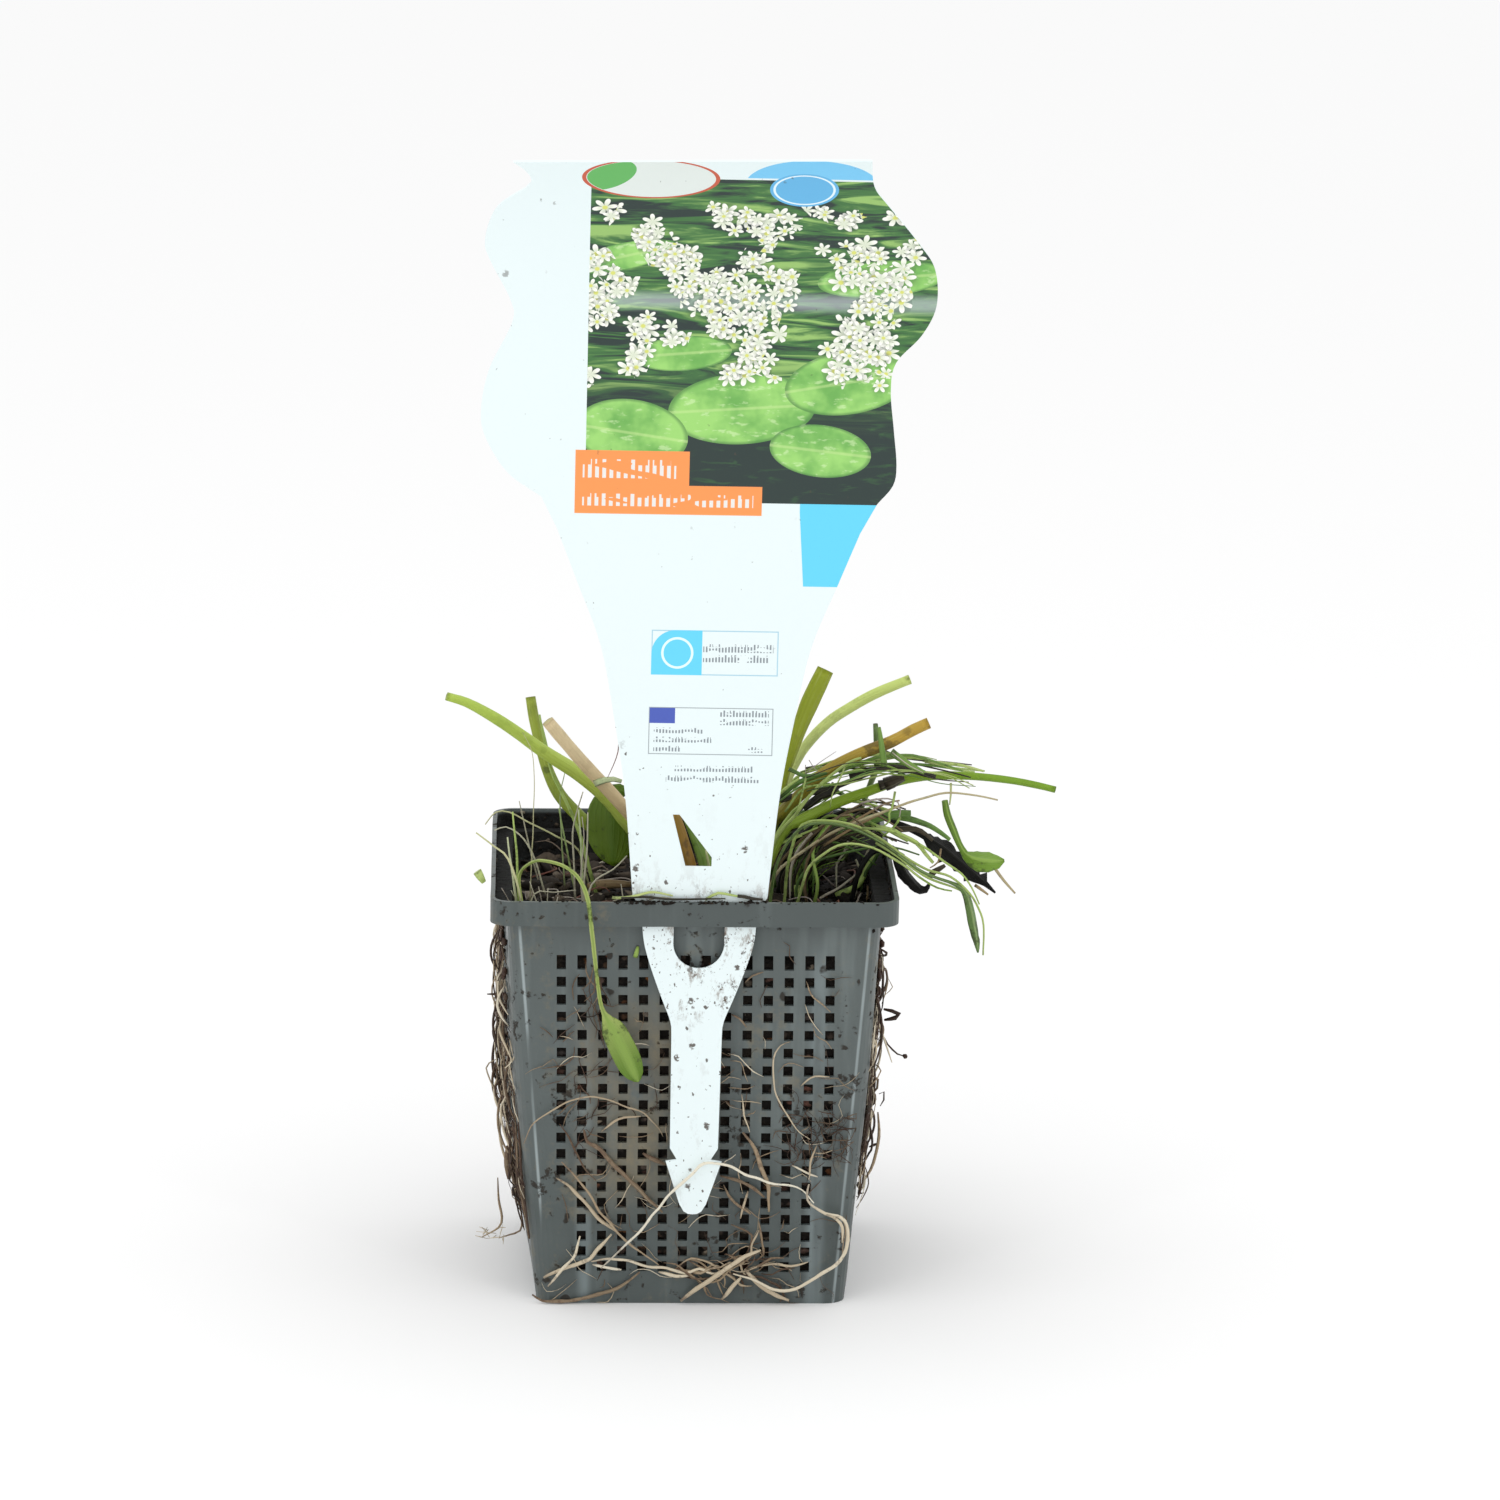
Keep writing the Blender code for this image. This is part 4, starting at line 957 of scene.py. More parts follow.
@dataclass
class PondPot:
    """Tapered mesh basket whose rim steps out over a narrow ledge."""

    height: float = 116.0
    ledge_height: float = 109.3
    rim_half: float = 55.0
    wall_top_half: float = 50.5
    wall_base_half: float = 42.2
    wall: float = 1.2
    corner_radius: float = 5.5
    left_bulge: float = 5.0
    right_bulge: float = 2.5
    opening_width: float = 2.5
    opening_height: float = 2.9
    column_pitch: float = 5.57
    columns: int = 14
    column_shift: float = 0.4
    rows: tuple = (10.7, 15.0, 19.5, 24.4, 29.1, 33.8, 38.5, 43.2, 47.9, 52.6, 57.3, 62.0, 67.1, 72.2,
                   77.3, 82.4, 87.3, 92.4, 98.0)
    top_row_height: float = 4.1
    outer_column_end: float = 36.0
    floor_mesh_half: float = 37.0
    ledge_rise: float = 0.8
    lip_height: float = 1.4
    lip_step: float = 0.6
    waver: float = 0.35
    soft_edge: float = 0.28
    slot_centre_x: float = 0.7
    slot_width: float = 36.0
    slot_near_y: float = -53.2
    slot_far_y: float = -51.2

    def wall_half(self, z: float) -> float:
        """Half the outer width of the wall at a height, without the side walls' bulge."""
        return self.wall_base_half + (self.wall_top_half - self.wall_base_half) * z / self.ledge_height

    def swell(self, along_wall: float, z: float, bulge: float) -> float:
        """How far a side wall stands out at a place."""
        share = held_between(0.0, z / self.ledge_height, 1.0)
        across = min(1.0, abs(along_wall) / self.wall_half(z))
        return bulge * (1 - across ** 2) * 4 * share * (1 - share)

    def column_centres(self) -> list[float]:
        """Centre of each column of openings."""
        first = -self.column_pitch * (self.columns - 1) / 2 + self.column_shift
        return [first + self.column_pitch * i for i in range(self.columns)]

    def row_spans(self) -> list[tuple[float, float]]:
        """Lowest and highest point of each row of openings."""
        heights = [self.opening_height] * (len(self.rows) - 1) + [self.top_row_height]
        return [(z - tall / 2, z + tall / 2) for z, tall in zip(self.rows, heights)]

    def _cut_lines(self, bm: Mesh, faces: Iterable[bmesh.types.BMFace],
                   axis: int, places: Iterable[float]) -> None:
        """Cut a set of faces, and what they become, along planes across an axis."""
        normal = Vector((0, 0, 0))
        normal[axis] = 1.0
        region = set(faces)
        for place in places:
            live = [f for f in bm.faces if f in region]
            edges = [e for e in bm.edges if any(f in region for f in e.link_faces)]
            verts = [v for v in bm.verts if any(f in region for f in v.link_faces)]
            done = bmesh.ops.bisect_plane(bm, geom=[*live, *edges, *verts], dist=1e-4,
                                          plane_co=normal * place, plane_no=normal)
            region = {g for g in done["geom"] if isinstance(g, bmesh.types.BMFace)} | set(live)

    def _shell(self) -> Mesh:
        """Make the outer surface of the walls and the floor, with a rounded corner."""
        bm = bmesh.new()
        bmesh.ops.create_cube(bm, size=2.0)
        for vert in bm.verts:
            top = vert.co.z > 0
            half = self.wall_top_half if top else self.wall_base_half
            vert.co = Vector((vert.co.x * half, vert.co.y * half, self.ledge_height if top else 0.0))
        uprights = [e for e in bm.edges if abs(e.verts[0].co.z - e.verts[1].co.z) > 1.0]
        bmesh.ops.bevel(bm, geom=uprights, offset=self.corner_radius, segments=6, profile=0.5,
                        affect="EDGES", material=-1)
        lid = [f for f in bm.faces if min(v.co.z for v in f.verts) > self.ledge_height - 1.0]
        bmesh.ops.delete(bm, geom=lid, context="FACES_ONLY")
        return bm

    @staticmethod
    def _floor(bm: Mesh) -> list[bmesh.types.BMFace]:
        """The faces of the floor."""
        return [f for f in bm.faces if f.normal.z < -0.5]

    def _pierce(self, bm: Mesh) -> None:
        """Cut the grid of openings into the four walls and the floor."""
        half = self.opening_width / 2
        columns = [(c - half, c + half) for c in self.column_centres()]
        lines = [p for span in columns for p in span]
        levels = [p for span in self.row_spans() for p in span]
        front_back = [f for f in bm.faces if abs(f.normal.y) > 0.9]
        self._cut_lines(bm, [*front_back, *self._floor(bm)], 0, lines)
        sides = [f for f in bm.faces if abs(f.normal.x) > 0.9]
        self._cut_lines(bm, [*sides, *self._floor(bm)], 1, lines)
        walls = [f for f in bm.faces if abs(f.normal.z) < 0.5]
        self._cut_lines(bm, walls, 2, levels)
        holes = []
        for face in bm.faces:
            centre = face.calc_center_median()
            if abs(face.normal.z) > 0.5:
                hit = [any(a < c < b for a, b in columns) for c in (centre.x, centre.y)]
                if all(hit) and max(abs(centre.x), abs(centre.y)) < self.floor_mesh_half:
                    holes.append(face)
                continue
            if max(abs(face.normal.x), abs(face.normal.y)) < 0.9:
                continue
            across = centre.x if abs(face.normal.y) > 0.5 else centre.y
            column = next((i for i, (a, b) in enumerate(columns) if a < across < b), None)
            row = any(a < centre.z < b for a, b in self.row_spans())
            outer = column in (0, self.columns - 1)
            if column is not None and row and not (outer and centre.z < self.outer_column_end):
                holes.append(face)
        bmesh.ops.delete(bm, geom=holes, context="FACES_ONLY")

    def _rim(self, bm: Mesh) -> None:
        """Step the rim out over a ledge and up to a rounded lip, and open the label's slot."""
        brim = [e for e in bm.edges if e.is_boundary
                and min(v.co.z for v in e.verts) > self.ledge_height - 0.01]
        steps = ((self.rim_half / self.wall_top_half, 0.0), (1.0, self.ledge_rise),
                 (1.0, self.height - self.ledge_height - self.lip_height), (1.0, self.lip_step))
        for scale, rise in steps:
            brim = extrude_edges(bm, brim, lambda at, s=scale, r=rise: Vector((at.x * s, at.y * s, at.z + r)))
        left, right = (self.slot_centre_x + side * self.slot_width / 2 for side in (-1, 1))
        self._cut_lines(bm, self._ledge(bm, -self.rim_half, self.rim_half), 0, (left, right))
        self._cut_lines(bm, self._ledge(bm, left, right), 1, (self.slot_near_y, self.slot_far_y))
        slot = [f for f in self._ledge(bm, left, right)
                if self.slot_near_y < f.calc_center_median().y < self.slot_far_y]
        bmesh.ops.delete(bm, geom=slot, context="FACES_ONLY")

    def _ledge(self, bm: Mesh, left: float, right: float) -> list[bmesh.types.BMFace]:
        """The faces of the front ledge between two places along it."""
        centres = {f: f.calc_center_median() for f in bm.faces}
        return [f for f, at in centres.items() if abs(at.z - self.ledge_height) < 0.01
                and at.y < -self.wall_top_half and left < at.x < right]

    def _shape(self, bm: Mesh) -> None:
        """Push the side walls out and let the front and rim waver a little."""
        for vert in bm.verts:
            at = vert.co
            if at.z < self.ledge_height and abs(at.x) > abs(at.y) * 0.8:
                bulge = self.right_bulge if at.x > 0 else self.left_bulge
                at.x += math.copysign(self.swell(at.y, at.z, bulge), at.x)
            waver = bend_noise(at, 34.0, 5.0) * self.waver
            if at.z > 2.0:
                vert.co = at + Vector((waver.x, waver.y, waver.z * 0.5))

    def build(self) -> Piece:
        """Make the pot in place of its solid."""
        bm = self._shell()
        self._pierce(bm)
        self._rim(bm)
        self._shape(bm)
        bmesh.ops.recalc_face_normals(bm, faces=bm.faces)
        outer = max(bm.faces, key=lambda f: f.calc_center_median().x)
        if outer.normal.x < 0:
            bmesh.ops.reverse_faces(bm, faces=bm.faces)
        pot = finish_piece("pond_pot", bm, PotPlastic().material(), ("pot",), smooth=False)
        wall = pot.modifiers.new("wall", "SOLIDIFY")
        wall.thickness = self.wall * MM
        wall.offset = -1.0
        wall.use_even_offset = True
        soft = pot.modifiers.new("soft_edges", "BEVEL")
        soft.width = self.soft_edge * MM
        soft.segments = 2
        soft.limit_method = "ANGLE"
        soft.angle_limit = math.radians(40)
        soft.use_clamp_overlap = True
        return pot


# Compost


@dataclass
class Compost:
    """Dark fill of the pot, lumpy on top, with bark chips and crumbs."""

    pot: PondPot
    level: float = 104.0
    lump: float = 1.17
    lump_width: float = 9.0
    clearance: float = 0.35
    cells: int = 96
    chips: int = 420
    crumbs: int = 1500
    chip_sizes: Span = (1.6, 4.2)
    crumb_sizes: Span = (0.35, 1.1)
    pale_side: float = -12.0
    paler: float = 0.27
    lip_crumbs: int = 140
    lip_dust: int = 50
    lip_heaps: tuple = (-15.0, -11.0, 4.0, 15.5)
    wall_crumbs: int = 1100
    wall_crumb_sizes: Span = (0.25, 0.95)
    pale_wall_crumb: float = 0.45
    seed: int = 11

    def height(self, x: float, y: float) -> float:
        """Height of the surface at a place."""
        lumps = noise.fractal(Vector((x, y, 0.0)) / self.lump_width, 0.9, 2.1, 5)
        return self.level - 1.0 + self.lump * lumps

    def build(self) -> list[Piece]:
        """Make the fill and what lies on it."""
        return [self._fill(), self._litter()]

    def _fill(self) -> Piece:
        """Make the fill: a fine grid on a tapered block."""
        bm = start_mesh()
        bmesh.ops.create_grid(bm, x_segments=self.cells, y_segments=self.cells, size=1.0)
        top_half = self._half(self.level)
        radius = self.pot.corner_radius
        centre = top_half - radius
        for vert in bm.verts:
            x, y = vert.co.x * top_half, vert.co.y * top_half
            if abs(x) > centre and abs(y) > centre:
                offset = Vector((abs(x) - centre, abs(y) - centre))
                if offset.length > radius:
                    offset *= radius / offset.length
                x, y = math.copysign(centre + offset.x, x), math.copysign(centre + offset.y, y)
            vert.co = Vector((x, y, self.height(x, y)))
        edge = [e for e in bm.edges if e.is_boundary]
        for level in (70.0, 35.0, self.pot.wall + 0.3):
            edge = extrude_edges(bm, edge, lambda at, z=level: self._lowered(at, z))
        bmesh.ops.contextual_create(bm, geom=edge)
        face_outwards(bm)
        return finish_piece("compost_fill", bm, WetCompost().material(), ("compost",))

    def _half(self, z: float) -> float:
        """Half the fill's width at a height."""
        return self.pot.wall_half(z) - (self.pot.wall + self.clearance)

    def _lowered(self, at: Vector, level: float) -> Vector:
        """A place on the fill's side, carried down the tapered wall to a level."""
        shrink = self._half(level) / self._half(at.z)
        return Vector((at.x * shrink, at.y * shrink, level))

    def _litter(self) -> Piece:
        """Scatter bark chips and crumbs over the surface, with crumbs along the rim's ledge."""
        draw = random.Random(self.seed)
        bm = start_mesh()
        reach = self.pot.wall_half(self.level) - 3.0
        for i in range(self.chips + self.crumbs):
            chip = i < self.chips
            x, y = draw.uniform(-reach, reach), draw.uniform(-reach, reach)
            size = draw.uniform(*(self.chip_sizes if chip else self.crumb_sizes))
            stretch = (size, size * draw.uniform(0.4, 0.8), size * draw.uniform(0.16, 0.4))
            tone = draw.betavariate(2.0, 3.2) if chip else draw.betavariate(1.6, 4.5)
            if chip and x < self.pale_side:
                tone = min(1.0, tone + self.paler)
            turn = Matrix.Rotation(draw.uniform(0, math.tau), 4, "Z")
            for axis in "XY":
                turn = turn @ Matrix.Rotation(draw.gauss(0, 0.35), 4, axis)
            z = self.height(x, y) + stretch[2] * draw.uniform(0.2, 0.9)
            placed = Matrix.Translation((x, y, z)) @ turn @ Matrix.Diagonal((*stretch, 1.0))
            rough_lump(bm, placed, tone, draw.uniform(0, 50), subdivisions=2 if chip else 1)
        self._on_lip(bm, draw)
        self._on_walls(bm, draw)
        return finish_piece("bark_litter", bm, Chips().material())

    def _on_lip(self, bm: Mesh, draw: random.Random) -> None:
        """Leave crumbs and dried film on the front lip, where the label stands."""
        for number in range(self.lip_crumbs + self.lip_dust):
            crumb = number < self.lip_crumbs
            x = draw.choice(self.lip_heaps) + draw.gauss(0, 3.4) if crumb else draw.uniform(-50, 50)
            y = -self.pot.rim_half + draw.uniform(-0.1, 1.5)
            size = draw.uniform(0.25, 0.95) if crumb else draw.uniform(0.2, 0.6)
            flat = Matrix.Diagonal((size, size * 0.7, size * draw.uniform(0.25, 0.6), 1.0))
            turn = Matrix.Rotation(draw.uniform(0, math.tau), 4, "Z")
            spot = Matrix.Translation((x, y, self.pot.height + 0.1 - draw.uniform(0.0, 0.5)))
            tone = draw.betavariate(1.2, 3.0)
            rough_lump(bm, spot @ turn @ flat, tone, draw.uniform(0, 50), subdivisions=1)

    def _on_walls(self, bm: Mesh, draw: random.Random) -> None:
        """Leave crumbs on the inside of the walls, on the ledge and inside the rim."""
        ledge = self.pot.ledge_height
        for number in range(self.wall_crumbs):
            along = draw.uniform(-48, 48)
            band = draw.random()
            if band < 0.3:
                z = draw.uniform(self.level, ledge - 0.3)
                out = self.pot.wall_half(z) - self.pot.wall
            elif band < 0.6:
                z = ledge + 0.1
                out = draw.uniform(50.0, 53.4)
            else:
                z = draw.uniform(ledge + 0.2, self.pot.height - 0.8)
                out = self.pot.rim_half - self.pot.wall
            size = draw.uniform(*self.wall_crumb_sizes)
            flat = Matrix.Diagonal((size, size * 0.35, size * 0.8, 1.0))
            turn = Matrix.Rotation(math.pi / 2 * draw.randint(0, 3), 4, "Z")
            placed = turn @ Matrix.Translation((along, out, z)) @ flat
            tone = draw.betavariate(1.2, 4.0) + (self.pale_wall_crumb if number % 4 == 0 else 0.0)
            rough_lump(bm, placed, min(1.0, tone), draw.uniform(0, 50), subdivisions=1)


# Label


@dataclass
class PlantLabel:
    """Tall wavy-edged printed label with a barbed stake, curled forwards at the top."""

    thickness: float = 0.7
    plane_y: float = -52.3
    point_z: float = 28.4
    lean: float = math.radians(0.75)
    curl_start: float = 246.6
    curl_angle: float = math.radians(48.0)
    curl_length: float = 59.0
    bow: float = 0.6
    cutout_half: float = 6.85
    cutout_top: float = 85.5
    cutout_arc_centre: float = 75.7
    tip: tuple = ((0.0, 0.0), (1.2, 0.1), (2.4, 0.8), (3.6, 2.8), (7.6, 14.9), (4.6, 15.4), (6.5, 18.5))
    flare: tuple = ((6.8, 50.0), (7.2, 54.0), (10.1, 61.5), (13.3, 70.5), (15.0, 77.5), (15.5, 87.2))
    shoulder: tuple = (17.2, 87.4)
    body: tuple = ((18.1, 88.6), (20.7, 116.5), (24.0, 137.0), (28.0, 157.0), (34.5, 174.0), (40.2, 188.5))
    right: tuple = ((44.5, 196.5), (48.5, 201.5), (49.3, 207.0), (48.3, 216.5), (47.2, 227.0), (48.4, 234.5),
                    (55.0, 242.0), (58.6, 250.0), (57.8, 260.0), (53.0, 267.5), (45.0, 278.0), (40.8, 284.5),
                    (39.8, 293.4))
    left: tuple = ((-44.5, 197.0), (-53.7, 203.5), (-59.7, 213.0), (-60.8, 220.5), (-58.8, 231.0),
                   (-53.0, 243.5), (-53.6, 249.5), (-59.0, 260.0), (-60.5, 266.0), (-57.5, 275.5),
                   (-50.0, 282.0), (-48.6, 284.6), (-50.2, 287.6), (-53.5, 290.6))
    window: tuple = ((-7.8, 111.2), (-6.0, 111.2), (2.9, 99.6), (2.9, 97.0), (-4.1, 97.0))

    def _outline(self) -> list[tuple[float, float]]:
        """The flat outline, anticlockwise from the point of the stake."""
        flare, body = self._wavy(self.flare, 1.5), self._wavy(self.body, 3.0)
        right_side = [*self.tip[1:], *flare, self.shoulder, *body]
        left_side = [(-u, v) for u, v in reversed(right_side)]
        right, left = self._wavy(self.right, 1.5), self._wavy(self.left, 1.5)
        return [self.tip[0], *right_side, *right, *reversed(left), *left_side]

    @staticmethod
    def _wavy(places: tuple, step: float) -> list[tuple[float, float]]:
        """A smooth line through places on the sheet."""
        return [(p[0], p[1]) for p in smooth_route([(*place, 0.0) for place in places], step)]

    def _cutout(self) -> list[tuple[float, float]]:
        """The round-bottomed opening in the stake."""
        arc = [math.pi + math.pi * i / 24 for i in range(25)]
        return [(self.cutout_half, self.cutout_top), (-self.cutout_half, self.cutout_top),
                *((self.cutout_half * math.cos(a), self.cutout_arc_centre + self.cutout_half * math.sin(a))
                  for a in arc)]

    def _stand(self, point: Vector) -> Vector:
        """Bend a point of the flat sheet forwards at the top and stand it in the slot."""
        radius = self.curl_length / self.curl_angle
        u, v, w = point
        beyond = v - self.curl_start
        if beyond <= 0:
            forward, height = -w, v
        else:
            angle = beyond / radius
            forward = -w * math.cos(angle) - radius * (1 - math.cos(angle))
            height = self.curl_start + (radius - w) * math.sin(angle)
        bow = self.bow * math.sin(u / 30.0) * held_between(0.0, (v - 110.0) / 60.0, 1.0)
        x = u * math.cos(self.lean) + height * math.sin(self.lean)
        z = height * math.cos(self.lean) - u * math.sin(self.lean)
        return Vector((x, self.plane_y + forward + bow, self.point_z + z))

    def build(self) -> Piece:
        """Make the label in place of its solid."""
        bm = self._flat_sheet()
        self._map_print(bm)
        for vert in bm.verts:
            vert.co = self._stand(vert.co)
        face_outwards(bm)
        bm.normal_update()
        label = finish_piece("printed_label", bm, PrintedSheet().material(), ("plant_label",))
        label.data.set_sharp_from_angle(angle=math.radians(35))
        return label

    def _flat_sheet(self) -> Mesh:
        """Fill the outline round its openings, and cut the sheet finely enough to bend."""
        curve = bpy.data.curves.new("label_outline", "CURVE")
        curve.dimensions = "2D"
        curve.fill_mode = "BOTH"
        curve.extrude = self.thickness / 2
        for outline in (self._outline(), self.window, self._cutout()):
            spline = curve.splines.new("POLY")
            spline.points.add(len(outline) - 1)
            for point, (u, v) in zip(spline.points, outline):
                point.co = (u, v, 0.0, 1.0)
            spline.use_cyclic_u = True
        holder = link_to_scene("label_outline", curve)
        flat = bpy.data.meshes.new_from_object(holder.evaluated_get(bpy.context.evaluated_depsgraph_get()))
        bpy.data.objects.remove(holder)
        bm = bmesh.new()
        bm.from_mesh(flat)
        bpy.data.meshes.remove(flat)
        bmesh.ops.remove_doubles(bm, verts=bm.verts, dist=0.001)
        for axis, low, high, step in ((1, 100.0, 292.0, 3.0), (0, -57.0, 57.0, 6.0)):
            normal = Vector((1.0, 0, 0)) if axis == 0 else Vector((0, 1.0, 0))
            for i in range(int((high - low) / step) + 1):
                everything = [*bm.verts, *bm.edges, *bm.faces]
                bmesh.ops.bisect_plane(bm, geom=everything, dist=0.01, plane_co=normal * (low + step * i),
                                       plane_no=normal)
        return bm

    def _map_print(self, bm: Mesh) -> None:
        """Write where each corner lies on the flat sheet, and whether its face is printed."""
        flat_map = bm.loops.layers.uv.new("flat")
        side_map = bm.loops.layers.uv.new("side")
        for face in bm.faces:
            printed = 1.0 if face.calc_center_median().z > self.thickness * 0.49 else 0.0
            for loop in face.loops:
                loop[flat_map].uv = (loop.vert.co.x, loop.vert.co.y)
                loop[side_map].uv = (printed, 0.0)


# Stalks


GREEN_STALK = StalkSkin("stalk_fresh_green", (140, 162, 66), (130, 162, 22), (118, 156, 32), (160, 180, 90),
                        (66, 88, 20), 0.08)
LEFT_STALK = StalkSkin("stalk_yellow_green", (138, 158, 64), (176, 194, 86), (172, 196, 80), (186, 204, 118),
                       (86, 108, 30), 0.1)
YELLOW_STALK = StalkSkin("stalk_pale_green", (194, 208, 134), (207, 220, 138), (197, 213, 118),
                         (204, 216, 140), (66, 78, 30), 0.12)
OLIVE_STALK = StalkSkin("stalk_olive", (104, 120, 30), (122, 140, 30), (146, 160, 54), (156, 150, 92),
                        (72, 84, 18), 0.14)
DARK_OLIVE_STALK = StalkSkin("stalk_dark_olive", (146, 158, 54), (146, 158, 34), (142, 154, 28),
                             (120, 126, 56), (84, 90, 20), 0.12)
TAN_STALK = StalkSkin("stalk_tan", (104, 76, 40), (208, 182, 138), (224, 202, 160), (210, 200, 150),
                      (130, 94, 58), 0.1)
RUST_STALK = StalkSkin("stalk_rust", (80, 86, 26), (138, 126, 40), (184, 150, 54), (180, 154, 84),
                       (44, 38, 18), 0.4)
SHEATH = StalkSkin("leaf_sheath", (104, 72, 38), (136, 98, 36), (152, 116, 40), (150, 120, 62), (50, 38, 18),
                   0.34)
GREY_STALK = StalkSkin("stalk_grey_green", (86, 94, 60), (100, 118, 66), (108, 132, 76), (116, 124, 86),
                       (56, 60, 36), 0.2)

# Height at which stalks, leaves and strands leave the compost
FOOT = 104.4


@dataclass(frozen=True)
class Stalk:
    """One cut leaf stalk: route with half width and half thickness, finish and the node it replaces."""

    name: str
    node: str
    route: tuple
    skin: StalkSkin
    slot: Slot
    facing: tuple = (0.0, -1.0, 0.2)
    ribbed: float = 0.05


STALKS = (
    Stalk("green_stalk_left", "stalk_green_left",
          ((2, 4, FOOT, 2.2, 2.0), (-4, 4, 112, 2.3, 2.1), (-14, 4, 120, 2.4, 2.1),
           (-23.5, 2, 131.5, 2.25, 2.0), (-31, 0, 138.5, 2.1, 1.8), (-39.5, -2, 144.3, 1.9, 1.6),
           (-47.5, -4, 150.5, 1.7, 1.5), (-55.5, -6, 156, 1.55, 1.3), (-62, -7, 160, 1.3, 1.2),
           (-67.5, -8, 162, 1.15, 1.1)),
          LEFT_STALK, Slot.GREEN),
    Stalk("olive_stalk_left", "stalk_olive_left",
          ((-6, 10, FOOT, 1.8, 1.6), (-14, 10, 112, 1.8, 1.6), (-25, 12, 119, 1.8, 1.6),
           (-31, 13.5, 123.5, 1.8, 1.5), (-36.5, 16, 129, 1.8, 1.5), (-40, 18, 136, 1.6, 1.4),
           (-42.2, 20, 143.5, 1.5, 1.4), (-43.6, 21, 149.5, 1.45, 1.3), (-44.6, 22, 155.5, 1.4, 1.3)),
          OLIVE_STALK, Slot.OLIVE),
    Stalk("tan_stalk_left", "stalk_tan_left",
          ((3, -3, FOOT, 1.7, 1.5), (-5, -4, 114, 1.8, 1.5), (-14.5, -6, 125.5, 1.8, 1.4),
           (-20, -8, 132.3, 1.8, 1.3), (-26.5, -10.5, 140, 1.8, 1.2), (-33.5, -13.5, 148.6, 1.75, 1.1),
           (-40, -16, 157, 1.7, 1.1)),
          TAN_STALK, Slot.DRY),
    Stalk("olive_stalk_right", "stalk_olive_right",
          ((16, 5, FOOT, 0.9, 0.8), (22.5, 5, 122, 0.9, 0.8), (24.4, 6, 130, 1.0, 0.8),
           (26, 7, 137, 1.15, 0.9), (27.4, 7.5, 142.5, 1.5, 1.0), (29, 8, 148, 1.9, 1.1),
           (32.5, 9, 157.5, 2.5, 1.2), (36.6, 10, 166.2, 2.3, 1.2)),
          DARK_OLIVE_STALK, Slot.OLIVE, (0.25, -1.0, 0.1), 0.12),
    Stalk("pale_green_stalk_right", "stalk_green_right",
          ((14, 11, FOOT, 1.0, 0.9), (20.5, 10, 119, 1.1, 1.0), (25.2, 12.5, 131, 1.2, 1.1),
           (30.5, 15, 141.5, 1.4, 1.2), (37.5, 17, 149.4, 1.45, 1.2), (44, 18.2, 153.8, 1.45, 1.2),
           (52, 19, 158, 1.4, 1.2), (60.5, 20, 161.3, 1.35, 1.1)),
          YELLOW_STALK, Slot.GREEN),
    Stalk("rust_stalk_right", "stalk_brown_right",
          ((12, -1, FOOT, 1.7, 1.5), (20, 1, 121.5, 1.7, 1.5), (24.8, 0, 128, 1.7, 1.4),
           (29.5, -2, 133.5, 1.7, 1.4), (34.5, -2.5, 138.4, 1.7, 1.4), (39.5, -3, 142, 1.7, 1.4),
           (47, -3.5, 146, 1.7, 1.4), (54.5, -4, 149.2, 1.65, 1.3), (60.5, -4, 152.4, 1.6, 1.3),
           (64.6, -4, 154.4, 1.55, 1.2)),
          RUST_STALK, Slot.DRY),
    Stalk("long_green_stalk_right", "stalk_long_right",
          ((17, -4, FOOT, 1.4, 1.4), (24.5, -4, 123, 1.5, 1.4), (29.5, -3, 126.3, 1.55, 1.4),
           (35, -1, 128.8, 1.55, 1.4), (41.5, 1, 131.3, 1.5, 1.3), (48, 3, 133.2, 1.4, 1.3),
           (55, 4.2, 135.6, 1.35, 1.2), (61.5, 5, 137, 1.3, 1.1), (68.5, 5.6, 137.5, 1.2, 1.0),
           (75, 6, 137.4, 1.1, 1.0), (82.5, 6, 136.8, 1.05, 0.9), (89.5, 6, 135.9, 1.0, 0.9),
           (96, 6, 134.6, 0.95, 0.8), (100.5, 6, 133.5, 0.9, 0.8)),
          GREEN_STALK, Slot.GREEN),
    Stalk("grey_stub_right", "stub_right",
          ((44, 40, FOOT, 0.7, 0.6), (48, 38, 119, 0.7, 0.6), (52.5, 33, 134, 0.9, 0.7),
           (52.2, 32.5, 140, 0.85, 0.7), (51.8, 32, 146, 0.7, 0.6)),
          GREY_STALK, Slot.GREEN),
    Stalk("leaf_sheath_centre", "sheath_centre",
          ((2, -16, FOOT, 2.2, 2.0), (-0.8, -19, 113.6, 2.4, 2.2), (-3, -20, 122, 2.5, 2.2),
           (-6.2, -20, 133.5, 1.7, 1.4)),
          SHEATH, Slot.DRY),
)


